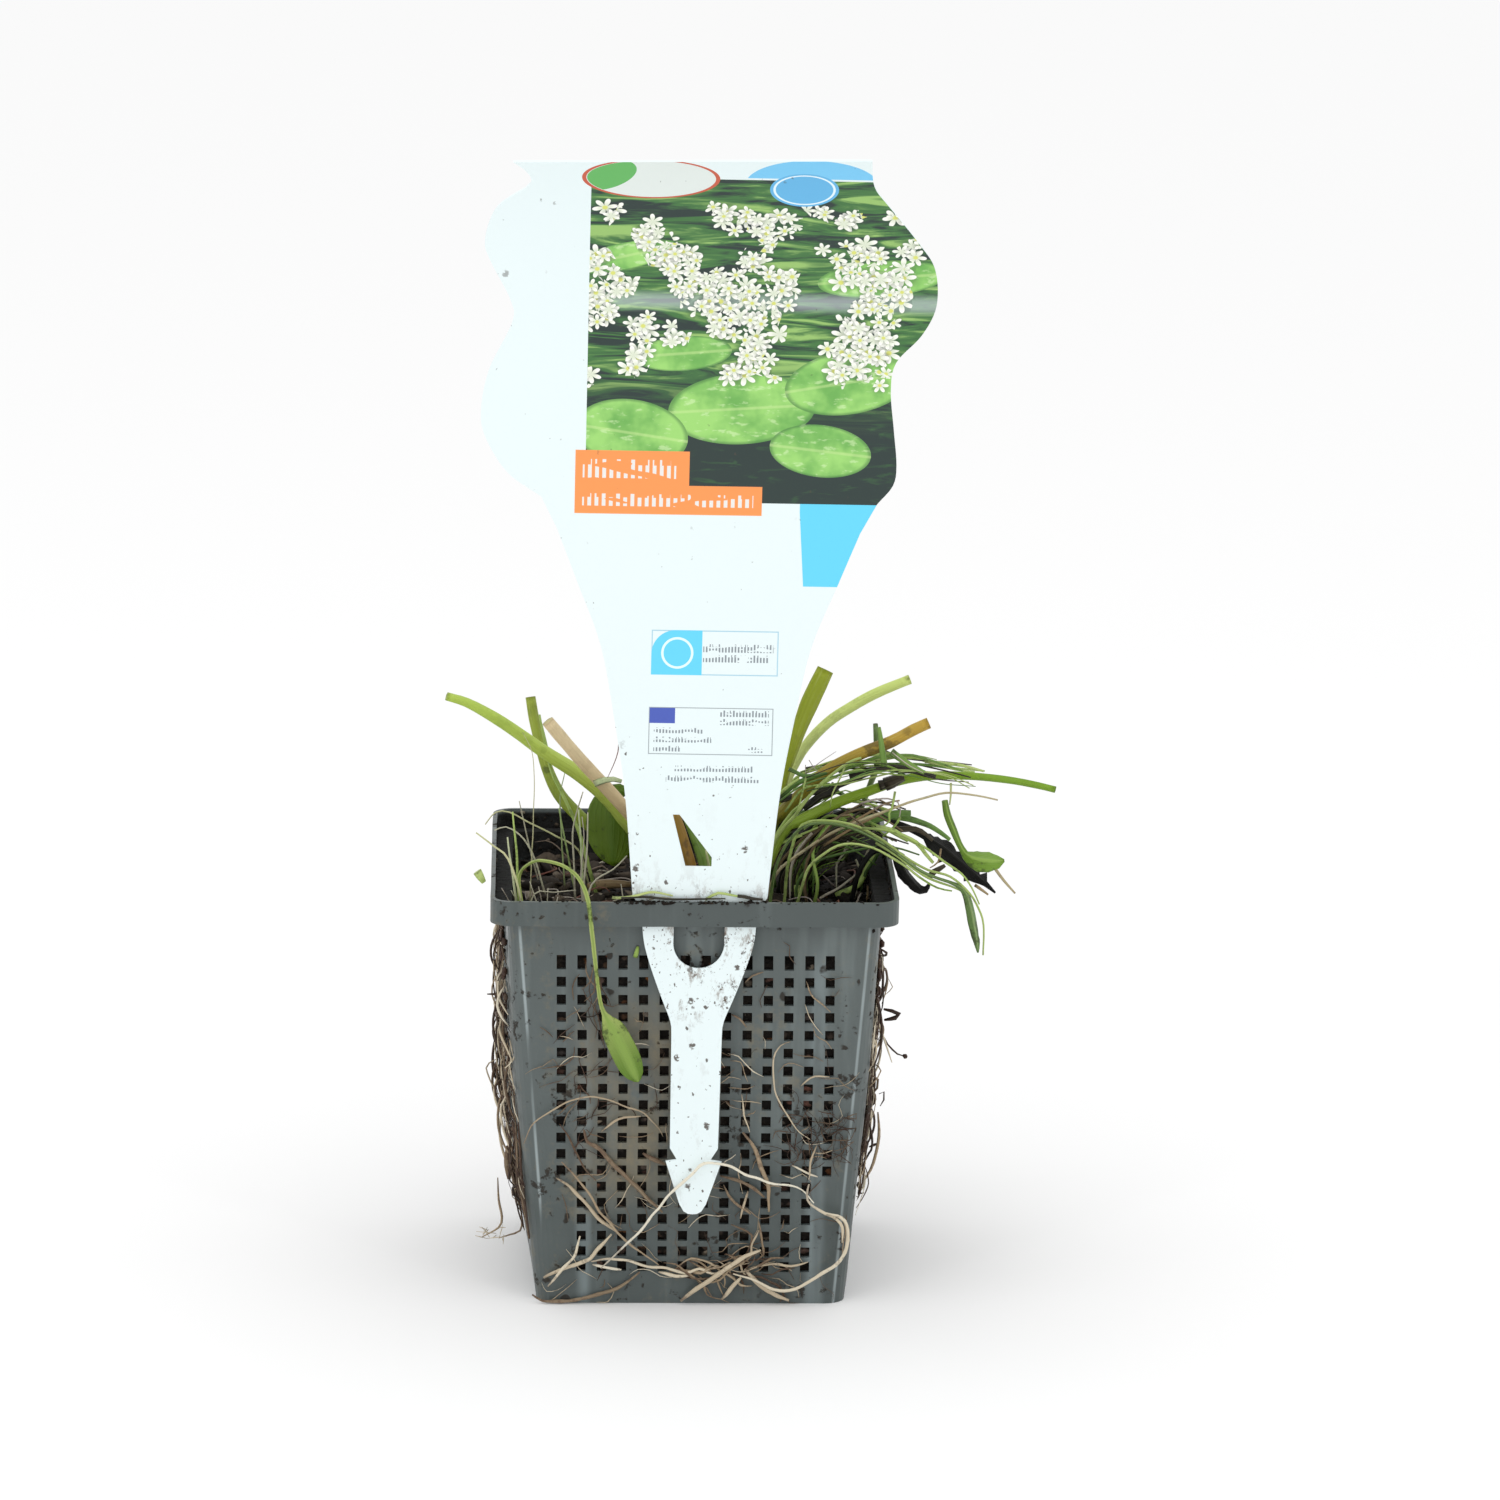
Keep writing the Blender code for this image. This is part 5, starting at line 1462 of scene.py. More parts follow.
@dataclass
class CutStalks:
    """The cut leaf stalks that lean out of the pot on both sides."""

    stalks: tuple = STALKS
    step: float = 2.2
    sides: int = 18
    waver: float = 0.25
    swell: float = 0.05
    cut_depth: float = 0.5

    def build(self) -> list[Piece]:
        """Make each stalk in place of its solid."""
        skins: dict[str, Material] = {}
        made = []
        for number, stalk in enumerate(self.stalks):
            if stalk.skin.name not in skins:
                skins[stalk.skin.name] = stalk.skin.material()
            samples = smooth_route(stalk.route, self.step)
            for sample in samples:
                at = Vector(sample[:3])
                push = bend_noise(at, 14.0, number * 3.7) * self.waver
                if at.z > FOOT + 1.0:
                    sample[:3] = [a + b for a, b in zip(sample, push)]
                sample[3] *= 1.0 + self.swell * noise.noise(at / 5.0)
            bm = start_mesh()
            grow(bm, samples, self.sides, 0.5, Vector(stalk.facing), stalk.ribbed, self.cut_depth)
            made.append(finish_piece(stalk.name, bm, skins[stalk.skin.name], (stalk.node,)))
        return made


# Leaves


@dataclass(frozen=True)
class Leaf:
    """One leaf with its stalk: the way its blade faces, its stations and its finish."""

    name: str
    node: str
    facing: tuple
    stations: tuple
    skin: LeafBlade
    slot: Slot
    fold: float = 0.0
    ruffle: float = 0.0
    ragged: float = 0.0


FRESH_BLADE = LeafBlade("leaf_fresh", (176, 190, 108), (88, 120, 28), (130, 158, 70), (64, 80, 26),
                        0.12, 0.42, 0.3, 0.68)
BROAD_BLADE = LeafBlade("leaf_broad", (66, 96, 8), (90, 116, 12), (80, 110, 16), (48, 62, 10), 0.1, 0.5)
BRIGHT_BLADE = LeafBlade("leaf_bright", (90, 120, 36), (112, 150, 40), (144, 176, 78), (60, 78, 22), 0.1)
DARK_BLADE = LeafBlade("leaf_rotten", (44, 52, 24), (15, 15, 12), (40, 45, 26), (10, 9, 8),
                       0.75, 0.45, specular=0.14)
BLACK_BLADE = LeafBlade("leaf_black", (24, 24, 20), (16, 15, 13), (36, 37, 31), (10, 9, 8),
                        0.6, 0.4, specular=0.16)
GREY_BLADE = LeafBlade("leaf_grey_green", (110, 136, 72), (96, 128, 66), (150, 174, 112), (70, 84, 44), 0.16)

LEAVES = (
    Leaf("broad_leaf_left", "leaf_broad_left", (0.0, -1.0, 0.15),
         ((-2.5, 7.5, FOOT, 0.9, 0.9), (-7.5, 7.6, 116, 0.8, 0.8), (-13, 8.2, 126.5, 0.8, 0.7),
          (-17.8, 8.8, 131.6, 1.2, 0.5), (-20.6, 8.6, 131.2, 3.2, 0.4), (-21.4, 8.4, 129, 5.8, 0.3),
          (-21.6, 8, 126, 7.1, 0.28), (-21.6, 7.6, 122.5, 7.5, 0.28), (-21.6, 7.1, 118.5, 7.0, 0.25),
          (-21.6, 6.6, 115.2, 5.3, 0.25), (-21.5, 6.1, 112.6, 2.8, 0.2), (-21.4, 5.9, 111.2, 0.4, 0.15)),
         BROAD_BLADE, Slot.GREEN, 0.12, 0.3),
    Leaf("hanging_leaf_front", "leaf_hanging_front", (0.0, -1.0, 0.1),
         ((-44, -44.5, FOOT, 0.44, 0.44), (-46.5, -45, 113, 0.44, 0.44), (-47.2, -44.5, 121, 0.42, 0.42),
          (-43.5, -48, 125.4, 0.42, 0.42), (-39.5, -53, 126.7, 0.44, 0.42), (-34.8, -57, 126.1, 0.48, 0.44),
          (-31.2, -59.2, 123.3, 0.54, 0.5), (-29, -59.7, 118, 0.6, 0.5), (-27.7, -58.7, 108, 0.6, 0.5),
          (-26.6, -57.5, 98, 0.55, 0.5), (-25.4, -56.8, 89, 0.55, 0.5), (-24.2, -56.4, 85.4, 0.8, 0.45),
          (-23, -56.1, 83, 2.2, 0.35), (-21.8, -55.9, 80.8, 3.3, 0.3), (-20, -55.6, 77, 3.6, 0.28),
          (-18.2, -55.2, 73.2, 3.65, 0.28), (-16.8, -54.9, 70, 3.3, 0.26), (-15.7, -54.6, 67.7, 2.3, 0.22),
          (-15.1, -54.3, 66.4, 1.1, 0.18), (-14.9, -54.2, 66, 0.2, 0.15)),
         FRESH_BLADE, Slot.GREEN, 0.22, 0.2),
    Leaf("dead_leaf_dark", "leaf_dead_dark", (0.3, -1.0, 0.5),
         ((24, 2, FOOT, 0.7, 0.7), (28, 4, 118, 0.7, 0.7), (40, 6, 126, 0.7, 0.6), (48, 7, 126.6, 0.7, 0.5),
          (56, 8, 123.6, 0.8, 0.4), (61, 8.6, 121.4, 1.0, 0.35), (66, 9, 118.6, 1.1, 0.3),
          (70, 9.5, 115.8, 2.0, 0.3), (75, 9.8, 111.6, 1.9, 0.3), (79, 10, 108.2, 1.5, 0.3),
          (82, 10, 105.6, 0.9, 0.25), (84.8, 10, 103, 0.3, 0.2)), DARK_BLADE, Slot.DEAD, 0.55, 1.5, 3.0),
    Leaf("dead_leaf_curled", "leaf_dead_curled", (0.5, -1.0, 0.3),
         ((44, -7, FOOT, 0.7, 0.7), (46, -7, 113, 0.7, 0.7), (50, -6, 118.6, 0.9, 0.6),
          (55, -5, 118.8, 1.3, 0.5), (57.2, -4.8, 115.5, 1.7, 0.45), (58.7, -4.5, 112.2, 1.9, 0.4),
          (61.5, -4, 108.6, 1.6, 0.4), (63.2, -4, 107.2, 1.3, 0.4), (64.6, -4, 107.3, 1.0, 0.4),
          (65.6, -4, 109, 0.4, 0.3)), BLACK_BLADE, Slot.DEAD, 0.7, 0.5, 0.8),
    Leaf("bright_leaf_right", "leaf_bright", (0.2, -1.0, 0.4),
         ((68.9, -12, 134.4, 0.85, 0.8), (69.7, -12, 130.4, 1.05, 0.8), (71.4, -12, 126.2, 1.05, 0.7),
          (73.2, -12, 122.0, 0.9, 0.6), (75.0, -12, 119.2, 1.2, 0.5), (76.6, -12, 118.2, 2.5, 0.3),
          (79, -12, 117.6, 3.4, 0.28), (81.5, -12, 117.3, 3.3, 0.25), (84, -12, 117.4, 2.0, 0.2),
          (85.6, -12, 117.6, 0.4, 0.15)), BRIGHT_BLADE, Slot.GREEN, 0.9, 0.8, 0.6),
    Leaf("narrow_leaf_hanging", "leaf_narrow_hanging", (0.4, -1.0, 0.1),
         ((21, -16, FOOT, 0.5, 0.5), (23, -18.5, 118, 0.45, 0.4), (28, -21.5, 127.5, 0.42, 0.35),
          (34, -22, 130.2, 0.42, 0.35), (42.5, -22, 129, 0.42, 0.35), (51.5, -22, 124.6, 0.42, 0.35),
          (61, -21, 117.5, 0.42, 0.35), (66, -19.6, 114.7, 0.42, 0.35), (71, -18, 112.6, 0.5, 0.4),
          (74.4, -16, 110, 1.0, 0.4), (76.2, -15, 105, 1.4, 0.3), (77.5, -14, 99, 1.4, 0.28),
          (78.4, -14, 94.5, 0.9, 0.25), (78.7, -14, 92, 0.25, 0.2)), GREY_BLADE, Slot.GREEN, 0.5, 0.3),
)


# Half width, in millimetres, from which a leaf's stalk counts as its blade
BLADE_FROM_WIDTH = 1.1


@dataclass
class SmallLeaves:
    """The leaves that are left on the plant, fresh and dead."""

    leaves: tuple = LEAVES
    step: float = 1.3
    sides: int = 24

    def build(self) -> list[Piece]:
        """Make each leaf in place of its solid."""
        made = []
        for number, leaf in enumerate(self.leaves):
            samples = smooth_route(leaf.stations, self.step)
            bm = start_mesh()
            grow(bm, samples, self.sides, 0.5, Vector(leaf.facing))
            self._crease(bm, samples, leaf, number)
            face_outwards(bm)
            made.append(finish_piece(leaf.name, bm, leaf.skin.material(), (leaf.node,)))
        return made

    @staticmethod
    def _crease(bm: Mesh, samples: Sequence[Sequence[float]], leaf: Leaf, seed: int) -> None:
        """Fold the blade along its midrib and let its edges ripple."""
        points = [Vector(s[:3]) for s in samples]
        frames = transport_frames(points, Vector(leaf.facing))
        for vert in bm.verts:
            nearest = min(range(len(points)), key=lambda i: (points[i] - vert.co).length_squared)
            side, depth = frames[nearest]
            across = (vert.co - points[nearest]).dot(side)
            width = samples[nearest][3]
            if width < BLADE_FROM_WIDTH:
                continue
            outwards = abs(across) / width
            ripple = leaf.ruffle * outwards * noise.noise(vert.co / 3.2 + Vector((seed, 0, 7.0)))
            torn = leaf.ragged * outwards ** 2 * (noise.noise(vert.co / 1.5) - 0.15)
            vert.co += side * math.copysign(torn, across)
            vert.co -= depth * (leaf.fold * abs(across) - leaf.fold * width * 0.4 + ripple)
            vert.co -= side * across * (1 - math.cos(math.atan(leaf.fold))) * 0.8


# Strands


FIBRES = StrandSkin("pale_fibres", ((0.0, (124, 62, 52)), (0.12, (110, 92, 76)), (0.3, (158, 146, 142)),
                                    (0.5, (180, 172, 156)), (0.7, (198, 198, 168)), (0.85, (164, 184, 126)),
                                    (1.0, (150, 182, 96))), 0.5, (92, 76, 58))
GRASS = StrandSkin("grass_strands", ((0.0, (26, 25, 20)), (0.14, (62, 52, 36)), (0.28, (146, 122, 86)),
                                     (0.42, (196, 190, 152)), (0.55, (172, 190, 112)), (0.68, (138, 168, 74)),
                                     (0.84, (92, 128, 54)), (1.0, (44, 66, 34))))


@dataclass(frozen=True)
class Strand:
    """One thin strand: route, radius, tone and flatness."""

    route: tuple
    radius: float
    tone: float
    flat: float = 1.0
    node: str = ""


def in_plane(y: float, radius: float, tone: float, *places: tuple[float, float], flat: float = 0.6,
             rooted: bool = False) -> Strand:
    """A strand whose places, given as x and z, lie in one upright plane.

    Args:
        y: where that plane is.
        radius: half width of the strand.
        tone: number that the material turns into a colour.
        places: x and z along the strand.
        flat: thickness as a share of the width.
        rooted: whether it first rises from the crown.

    Returns:
        The strand.
    """
    crown = ((17.0, y * 0.4, 104.0), (22.5, y * 0.8, 121.0)) if rooted else ()
    return Strand((*crown, *((x, y, z) for x, z in places)), radius, tone, flat)


RIGHT_STRANDS = (
    Strand(((20, -9, FOOT), (24, -10, 114), (35, -11, 123), (46, -12, 128.8), (56.8, -12, 133),
            (63.6, -12, 135.2), (69.1, -12, 136.5), (76, -12, 136.1), (83.4, -12, 134.6)),
           0.45, 0.36, 0.8, "strand_tan"),
    Strand(((14, 17, FOOT), (18, 18, 120), (25, 20, 128.6), (31, 22, 133.8), (41.9, 23, 136.8),
            (47.7, 24, 138.4), (58.3, 24, 139), (69.5, 24, 136), (82.1, 24, 134.5)),
           0.45, 0.6, 0.7, "strand_upper"),
    Strand(((27, -28, FOOT), (29, -28.6, 112), (31.2, -29, 119.5), (35, -30, 123.5), (38.8, -30, 125.8),
            (42.8, -30, 126.4), (46.6, -30, 125.8), (50.5, -30, 124.5), (56, -30, 121.1), (61.2, -30, 117.2)),
           0.42, 0.56, 0.8, "strand_arc_low"),
    Strand(((25, -15, FOOT), (26, -15.2, 116), (28.5, -15.5, 126), (31.6, -15.8, 129), (38.2, -16, 129.4),
            (43.4, -16, 128.3), (47.3, -16, 126.7), (52.5, -16, 123.6), (58.1, -16.3, 119.4),
            (64.2, -16.8, 116.0), (70.5, -18, 114.4), (75.6, -19, 110.1), (78.3, -20, 105.9),
            (79.7, -20, 101.4), (79.7, -20, 92.8)), 0.45, 0.6, 0.8, "strand_arc_long"),
)
LEFT_STRANDS = (
    Strand(((-27, 18, FOOT), (-29.5, 20, 112.5), (-32.5, 24, 121), (-36.1, 26, 126.6), (-38.6, 28, 132.8),
            (-40.2, 29, 140.4), (-42.1, 30, 148.6)), 0.5, 0.62, 0.9, "shoot_thin_left"),
    Strand(((-44.5, -12, FOOT), (-43.9, -12, 120.2), (-43.5, -12, 131.2), (-43.5, -12, 140.1),
            (-44.1, -12, 147.4), (-46.8, -12, 153)), 0.16, 0.44, 1.0, "strand_left_tall"),
    Strand(((-28, 10, FOOT), (-31.2, 10, 114.7), (-37.6, 10, 118.6), (-44.8, 10, 122.3), (-50.1, 10, 125.4),
            (-54, 10, 125.3), (-57, 10, 121.8)), 0.28, 0.46, 1.0, "strand_left_arch"),
    Strand(((-47, -41, FOOT), (-47.9, -42, 121.9), (-48.2, -42, 127.4), (-49.1, -42, 137.7)),
           0.4, 0.6, 0.9, "shoot_left_green"),
    Strand(((-46, -46.5, FOOT), (-47, -46.8, 115), (-50.3, -47, 125.9), (-54, -47, 129.4), (-58.8, -47, 133)),
           0.36, 0.46, 1.0, "shoot_left_pale"),
)
# Fine whitish fibres over the left rim and among the stalks on the right
PALE_FIBRES = (
    in_plane(15, 0.25, 0.6, (-42, 104), (-44.2, 112), (-45.3, 117), (-47.6, 127.4)),
    in_plane(0, 0.3, 0.65, (-40, 104), (-43, 114), (-45.1, 118.4), (-47.5, 121.5), (-51.1, 123.5),
             (-54.4, 122.6)),
    in_plane(-44, 0.4, 0.75, (-47, 104), (-48.6, 117), (-49.8, 125.1), (-50.4, 131.2)),
    in_plane(5, 0.3, 0.9, (-32, 104), (-34, 114.2), (-35.2, 121), (-36.6, 127.8)),
    in_plane(10, 0.25, 0.85, (-34.8, 104), (-35.6, 116), (-36.3, 129.4), (-35, 136.5)),
    in_plane(-5, 0.3, 0.6, (-32, 104), (-32.4, 115.7), (-32.7, 125.1), (-30, 134.7)),
    in_plane(-30, 0.38, 0.8, (-29.6, 104), (-30.1, 114.9), (-30.7, 127.1), (-31.3, 135.5)),
    in_plane(-30.6, 0.3, 0.6, (-30.4, 104), (-29.8, 114.9), (-29, 125.7), (-28.8, 134.9)),
    in_plane(-31.5, 0.22, 0.5, (-29.4, 104), (-30.6, 116), (-29.8, 128), (-30.4, 134)),
    in_plane(-42, 0.25, 0.6, (-45.4, 105), (-43.3, 115), (-38, 115.4), (-32, 116.1)),
    in_plane(-38, 0.3, 0.6, (-30, 105.5), (-27.7, 116.6), (-21.8, 121), (-18.3, 124.7)),
    in_plane(-12, 0.15, 0.02, (-20.4, 150.9), (-20.6, 147.5), (-21.7, 143.9), (-23.3, 140.3)),
    in_plane(-12, 0.95, 0.8, (-27.1, 138.6), (-24.1, 139.7), (-21.7, 140), (-19.5, 139.4), flat=0.3),
    in_plane(-53.4, 0.2, 0.6, (-12.5, 116.4), (-9, 117.1), (-5.5, 116.6)),
    in_plane(-12, 0.25, 0.35, (45.4, 133.3), (50.1, 134.7), (53.3, 135), (56.1, 133.9), (56.8, 131.7),
             (56.2, 128.6)),
    in_plane(-12, 0.22, 0.3, (46.3, 133), (48.4, 132.8), (50.6, 131.2)),
    in_plane(-12, 0.2, 0.35, (49.6, 131.9), (51.5, 133.3), (53.9, 133.1)),
    in_plane(-8, 0.12, 0.35, (30.9, 141), (34.7, 144.1), (39.1, 147.2)),
    in_plane(-8, 0.12, 0.35, (31.7, 144.7), (33.1, 142.7), (34.8, 141)),
    in_plane(-8, 0.12, 0.4, (30.8, 143.3), (30.9, 140.5)),
    in_plane(-9.7, 0.2, 0.55, (54.4, 147.3), (56.6, 145.6), (59.4, 143.6), (63, 141.7), flat=0.5),
    in_plane(-5, 0.42, 0.5, (33, 123.4), (29.4, 119.2), (27.8, 115.8), (27, 111.5), (27.1, 104.1)),
    in_plane(5, 0.35, 0.6, (43.4, 118.8), (42, 115.1), (40.4, 112.5), (40.3, 109.7), (40.5, 104.5)),
    in_plane(8, 0.35, 0.7, (45.7, 112.8), (46.8, 110.7), (46.8, 104.2)),
    in_plane(8, 0.35, 0.6, (49.2, 115.8), (48.3, 112.8), (48.2, 109.6), (47.6, 104.4)),
    Strand(((35.5, -4.5, 104.8), (40.6, 2, 106), (46, 8, 108.5), (50.4, 12, 110.6)), 0.4, 0.5),
    Strand(((45.4, -8, 104.5), (46.6, -3, 105.4), (47.6, 1.8, 104.9)), 0.3, 0.4),
    Strand(((46.2, 9.9, 104.6), (45.8, 3, 105.2), (45, -3.9, 104.5)), 0.3, 0.6),
    Strand(((34.1, -4.5, 104.8), (35.3, -8.5, 104.8)), 0.5, 0.1),
    Strand(((25.6, 29.7, 105), (27, 31.5, 106), (28.8, 33.3, 105.2)), 0.35, 0.6),
)
# Green, tan and black blades
GRASS_BLADES = (
    in_plane(0, 0.55, 0.62, (-26, 104), (-28, 111.5), (-29.6, 117.4), (-32.7, 126.4), (-36.1, 133.5),
             (-38.6, 139.1), (-40.2, 145.6), (-42.1, 155.2), flat=0.8),
    Strand(((-27.9, 3.3, 105.4), (-25.1, 5.7, 105.8), (-21.8, 6.9, 105.8), (-16.5, 8.2, 105.4)),
           1.6, 0.23, 0.6),
    in_plane(-12, 2.3, 0.76, (6.5, 104.4), (4.8, 112.2), (3.2, 117.6), (0.8, 124.2), (-2.2, 131.5),
             flat=0.25),
    in_plane(-14.5, 0.5, 0.5, (5.6, 111.5), (4.6, 115.6), (4.2, 117.8), (3.5, 120.8)),
    in_plane(-8, 1.0, 0.8, (52.4, 143.0), (52.0, 146.2), (51.4, 150.0), (50.7, 154.0), flat=0.4),
    in_plane(-9, 1.1, 0.8, (54.2, 147.4), (56.4, 145.8), (59.4, 143.6), (63.4, 141.4), flat=0.3),
    in_plane(-3, 0.9, 0.03, (43, 139.2), (49.5, 140.6), (55, 141.6), (59.5, 141.2), flat=0.4),
    in_plane(1, 1.1, 0.04, (56.5, 139.7), (60.5, 140.0), (64, 138.9), (67, 138.0), flat=0.4),
    in_plane(-47, 1.3, 0.56, (-58.6, 122.4), (-57.8, 121.0), (-56.8, 119.4), flat=0.5),
    in_plane(-53.7, 0.42, 0.53, (-22.4, 117.0), (-17.6, 117.3), (-13.6, 118.3), (-10.9, 118.6),
             (-6.1, 117.6)),
    in_plane(-53.7, 0.38, 0.55, (2.5, 116.5), (4.6, 117.7), (6.2, 118.4), (9.2, 118.0), (11.9, 117.5),
             (14, 117.0)),
    in_plane(-53.8, 0.5, 0.05, (11.2, 117.6), (13.0, 117.4), (15.2, 116.9), (18.0, 116.7)),
    in_plane(-53.9, 0.35, 0.04, (-20, 116.9), (-14, 117.4), (-8, 116.8), (0, 116.7), (8, 116.8)),
    in_plane(-50.4, 0.7, 0.66, (-16, 99.6), (-15.6, 101.2), (-15.3, 102.6)),
    in_plane(-7, 0.6, 0.57, (28.3, 129), (30.5, 132.3), (33.5, 136), (36.8, 139.4), (42.4, 143.7),
             (46.2, 145.1), rooted=True),
    in_plane(-6, 0.6, 0.6, (27.6, 129.6), (29.7, 131.3), (32.2, 134.1), (35.2, 137.1), (40.8, 140.3),
             (46.3, 141.5), (48, 141.3), rooted=True),
    in_plane(-6, 0.6, 0.1, (47.5, 141.2), (52.7, 141.5), (56.4, 141)),
    in_plane(-6, 0.45, 0.72, (39, 140.9), (42.4, 142.9), (46.3, 143.5), (51, 143.2), (56.2, 141.5)),
    in_plane(-4, 0.45, 0.8, (40, 140.5), (46.2, 143), (49.5, 144.4), (52.7, 145), (56.2, 145.3),
             (60.4, 145.3), (63.2, 144.5), (69.3, 142.6), (74.3, 140.9)),
    in_plane(-2, 0.4, 0.62, (44, 142), (51.5, 143.4), (57, 144.3), (65.2, 143.5), (70.8, 141.3),
             (77.7, 140.2)),
    in_plane(0, 0.55, 0.55, (64, 142.7), (68.1, 142.3), (72.3, 141.9), (76.4, 141.1), (80.3, 140)),
    in_plane(0, 0.45, 0.84, (50, 141.6), (58.5, 141.9), (64, 141.6), (68.2, 141.1), (72.3, 140.5),
             (74.2, 140)),
    in_plane(-2, 0.9, 0.03, (24.1, 132), (29.6, 133.4), (38.7, 135.7), (43.8, 137.6), (48.3, 139.5),
             (51.5, 140.3)),
    in_plane(-4, 0.8, 0.88, (24.3, 133.3), (26.8, 135.9), (30.5, 138.1), (36.9, 140.1)),
    in_plane(-4, 0.6, 0.9, (26.4, 141.2), (28.6, 140.1), (30.5, 139.3), (35.2, 139.8), (38.5, 141)),
    in_plane(-6, 0.5, 0.6, (23.4, 134.3), (24.2, 135), (26.7, 137.2), (29.3, 139.1)),
    in_plane(-8, 0.3, 0.58, (31, 139.9), (30.2, 136.2), (29.4, 132.6), (28.2, 128.9)),
    in_plane(-8, 0.25, 0.57, (41.6, 142.8), (40.3, 139.7), (38.3, 135.4), (37.7, 131.2)),
    in_plane(-2, 1.4, 0.02, (39.5, 136.3), (37.6, 134.3), (35.1, 133.2), (32.7, 130.9), (30.8, 129.5),
             flat=0.8),
    in_plane(3.2, 1.5, 0.08, (51.6, 135.0), (53.0, 135.4), (54.4, 135.9), flat=1.0),
    in_plane(3.6, 1.9, 0.1, (53.2, 135.2), (55.2, 136.0), (57.0, 136.9), (58.6, 137.4), flat=1.0),
    in_plane(4, 1.0, 0.84, (52, 126.5), (57.6, 125.9), (60.4, 125.4), (63.2, 124.5), (65.9, 123.4),
             (69, 121.4), (71.5, 119.5)),
    in_plane(4, 0.9, 0.12, (56, 122.4), (61.8, 122.5), (64.6, 121.1), (66.6, 119.4), flat=0.4),
    in_plane(-18, 0.38, 0.62, (46, 128), (54, 127.2), (56.5, 126.4), (63.1, 122.7), (68.4, 118.8),
             (73.4, 115.3), (76.3, 111.4), (78.5, 106.8)),
    in_plane(-17, 0.8, 0.58, (50, 128), (55.1, 126.7), (56.5, 125.8), (61.1, 123.6), (63.6, 120.5),
             (65.7, 118), flat=0.4),
    in_plane(-16, 0.45, 0.6, (50, 123.4), (56.7, 119.1), (60.2, 116.3), (64.7, 113.4), (70.8, 111.3),
             (74.4, 109.6)),
    in_plane(-15, 0.4, 0.66, (52, 120.5), (58.2, 116.6), (62, 113.6), (67, 110.6), (71.2, 109.7)),
    in_plane(-14, 0.9, 0.1, (64.6, 113), (66.2, 114.7), (67.8, 115.6), (69.2, 116.5)),
    in_plane(-17, 0.3, 0.26, (67.8, 122), (67.1, 118.3), (64.9, 116.6)),
    in_plane(6, 0.5, 0.3, (78.8, 106.2), (82.5, 103.4)),
    in_plane(-10, 0.35, 0.5, (70.6, 138.9), (70.7, 135.5), (70.5, 132.7)),
    in_plane(-10, 0.4, 0.28, (34, 122), (43.4, 127.5), (48, 130.3), (52.9, 133.2), (56.7, 134)),
    in_plane(-10, 0.4, 0.28, (36, 121), (44.5, 126.4), (49.2, 128.9), (54, 131.5)),
    in_plane(-13, 0.35, 0.62, (55.2, 137.1), (54.4, 132.5), (53.6, 130.9), (53.7, 128.8), (50.1, 126)),
    in_plane(-13, 0.35, 0.66, (56.8, 129.9), (55.1, 127.4), (52, 124.5)),
    in_plane(2, 1.4, 0.86, (46, 124.5), (52, 126.4), (54.7, 127), (57.5, 127.5), (60.5, 127.6), flat=0.4),
    in_plane(-5, 0.9, 0.6, (29, 108.6), (29.1, 104)),
    in_plane(0, 0.4, 0.28, (48.6, 102.5), (48.8, 105), (48.8, 107.3)),
    in_plane(4, 0.5, 0.95, (52.1, 116.2), (50.8, 113.4), (48.3, 110), (47, 104.5)),
    in_plane(-4, 0.4, 0.6, (24.2, 120), (28.1, 121.6), (30.3, 122.4)),
    in_plane(-3, 0.4, 0.58, (25.4, 120.6), (29.5, 122.2), (34.7, 124.6)),
    in_plane(-8, 0.5, 0.34, (81.9, 116.5), (84.8, 112.2), (89, 107.4), flat=0.7),
    Strand(((40, 0, 104.4), (46, 2, 107), (49, 7, 111), (51.6, 12, 114.5)), 0.9, 0.62, 0.7),
)


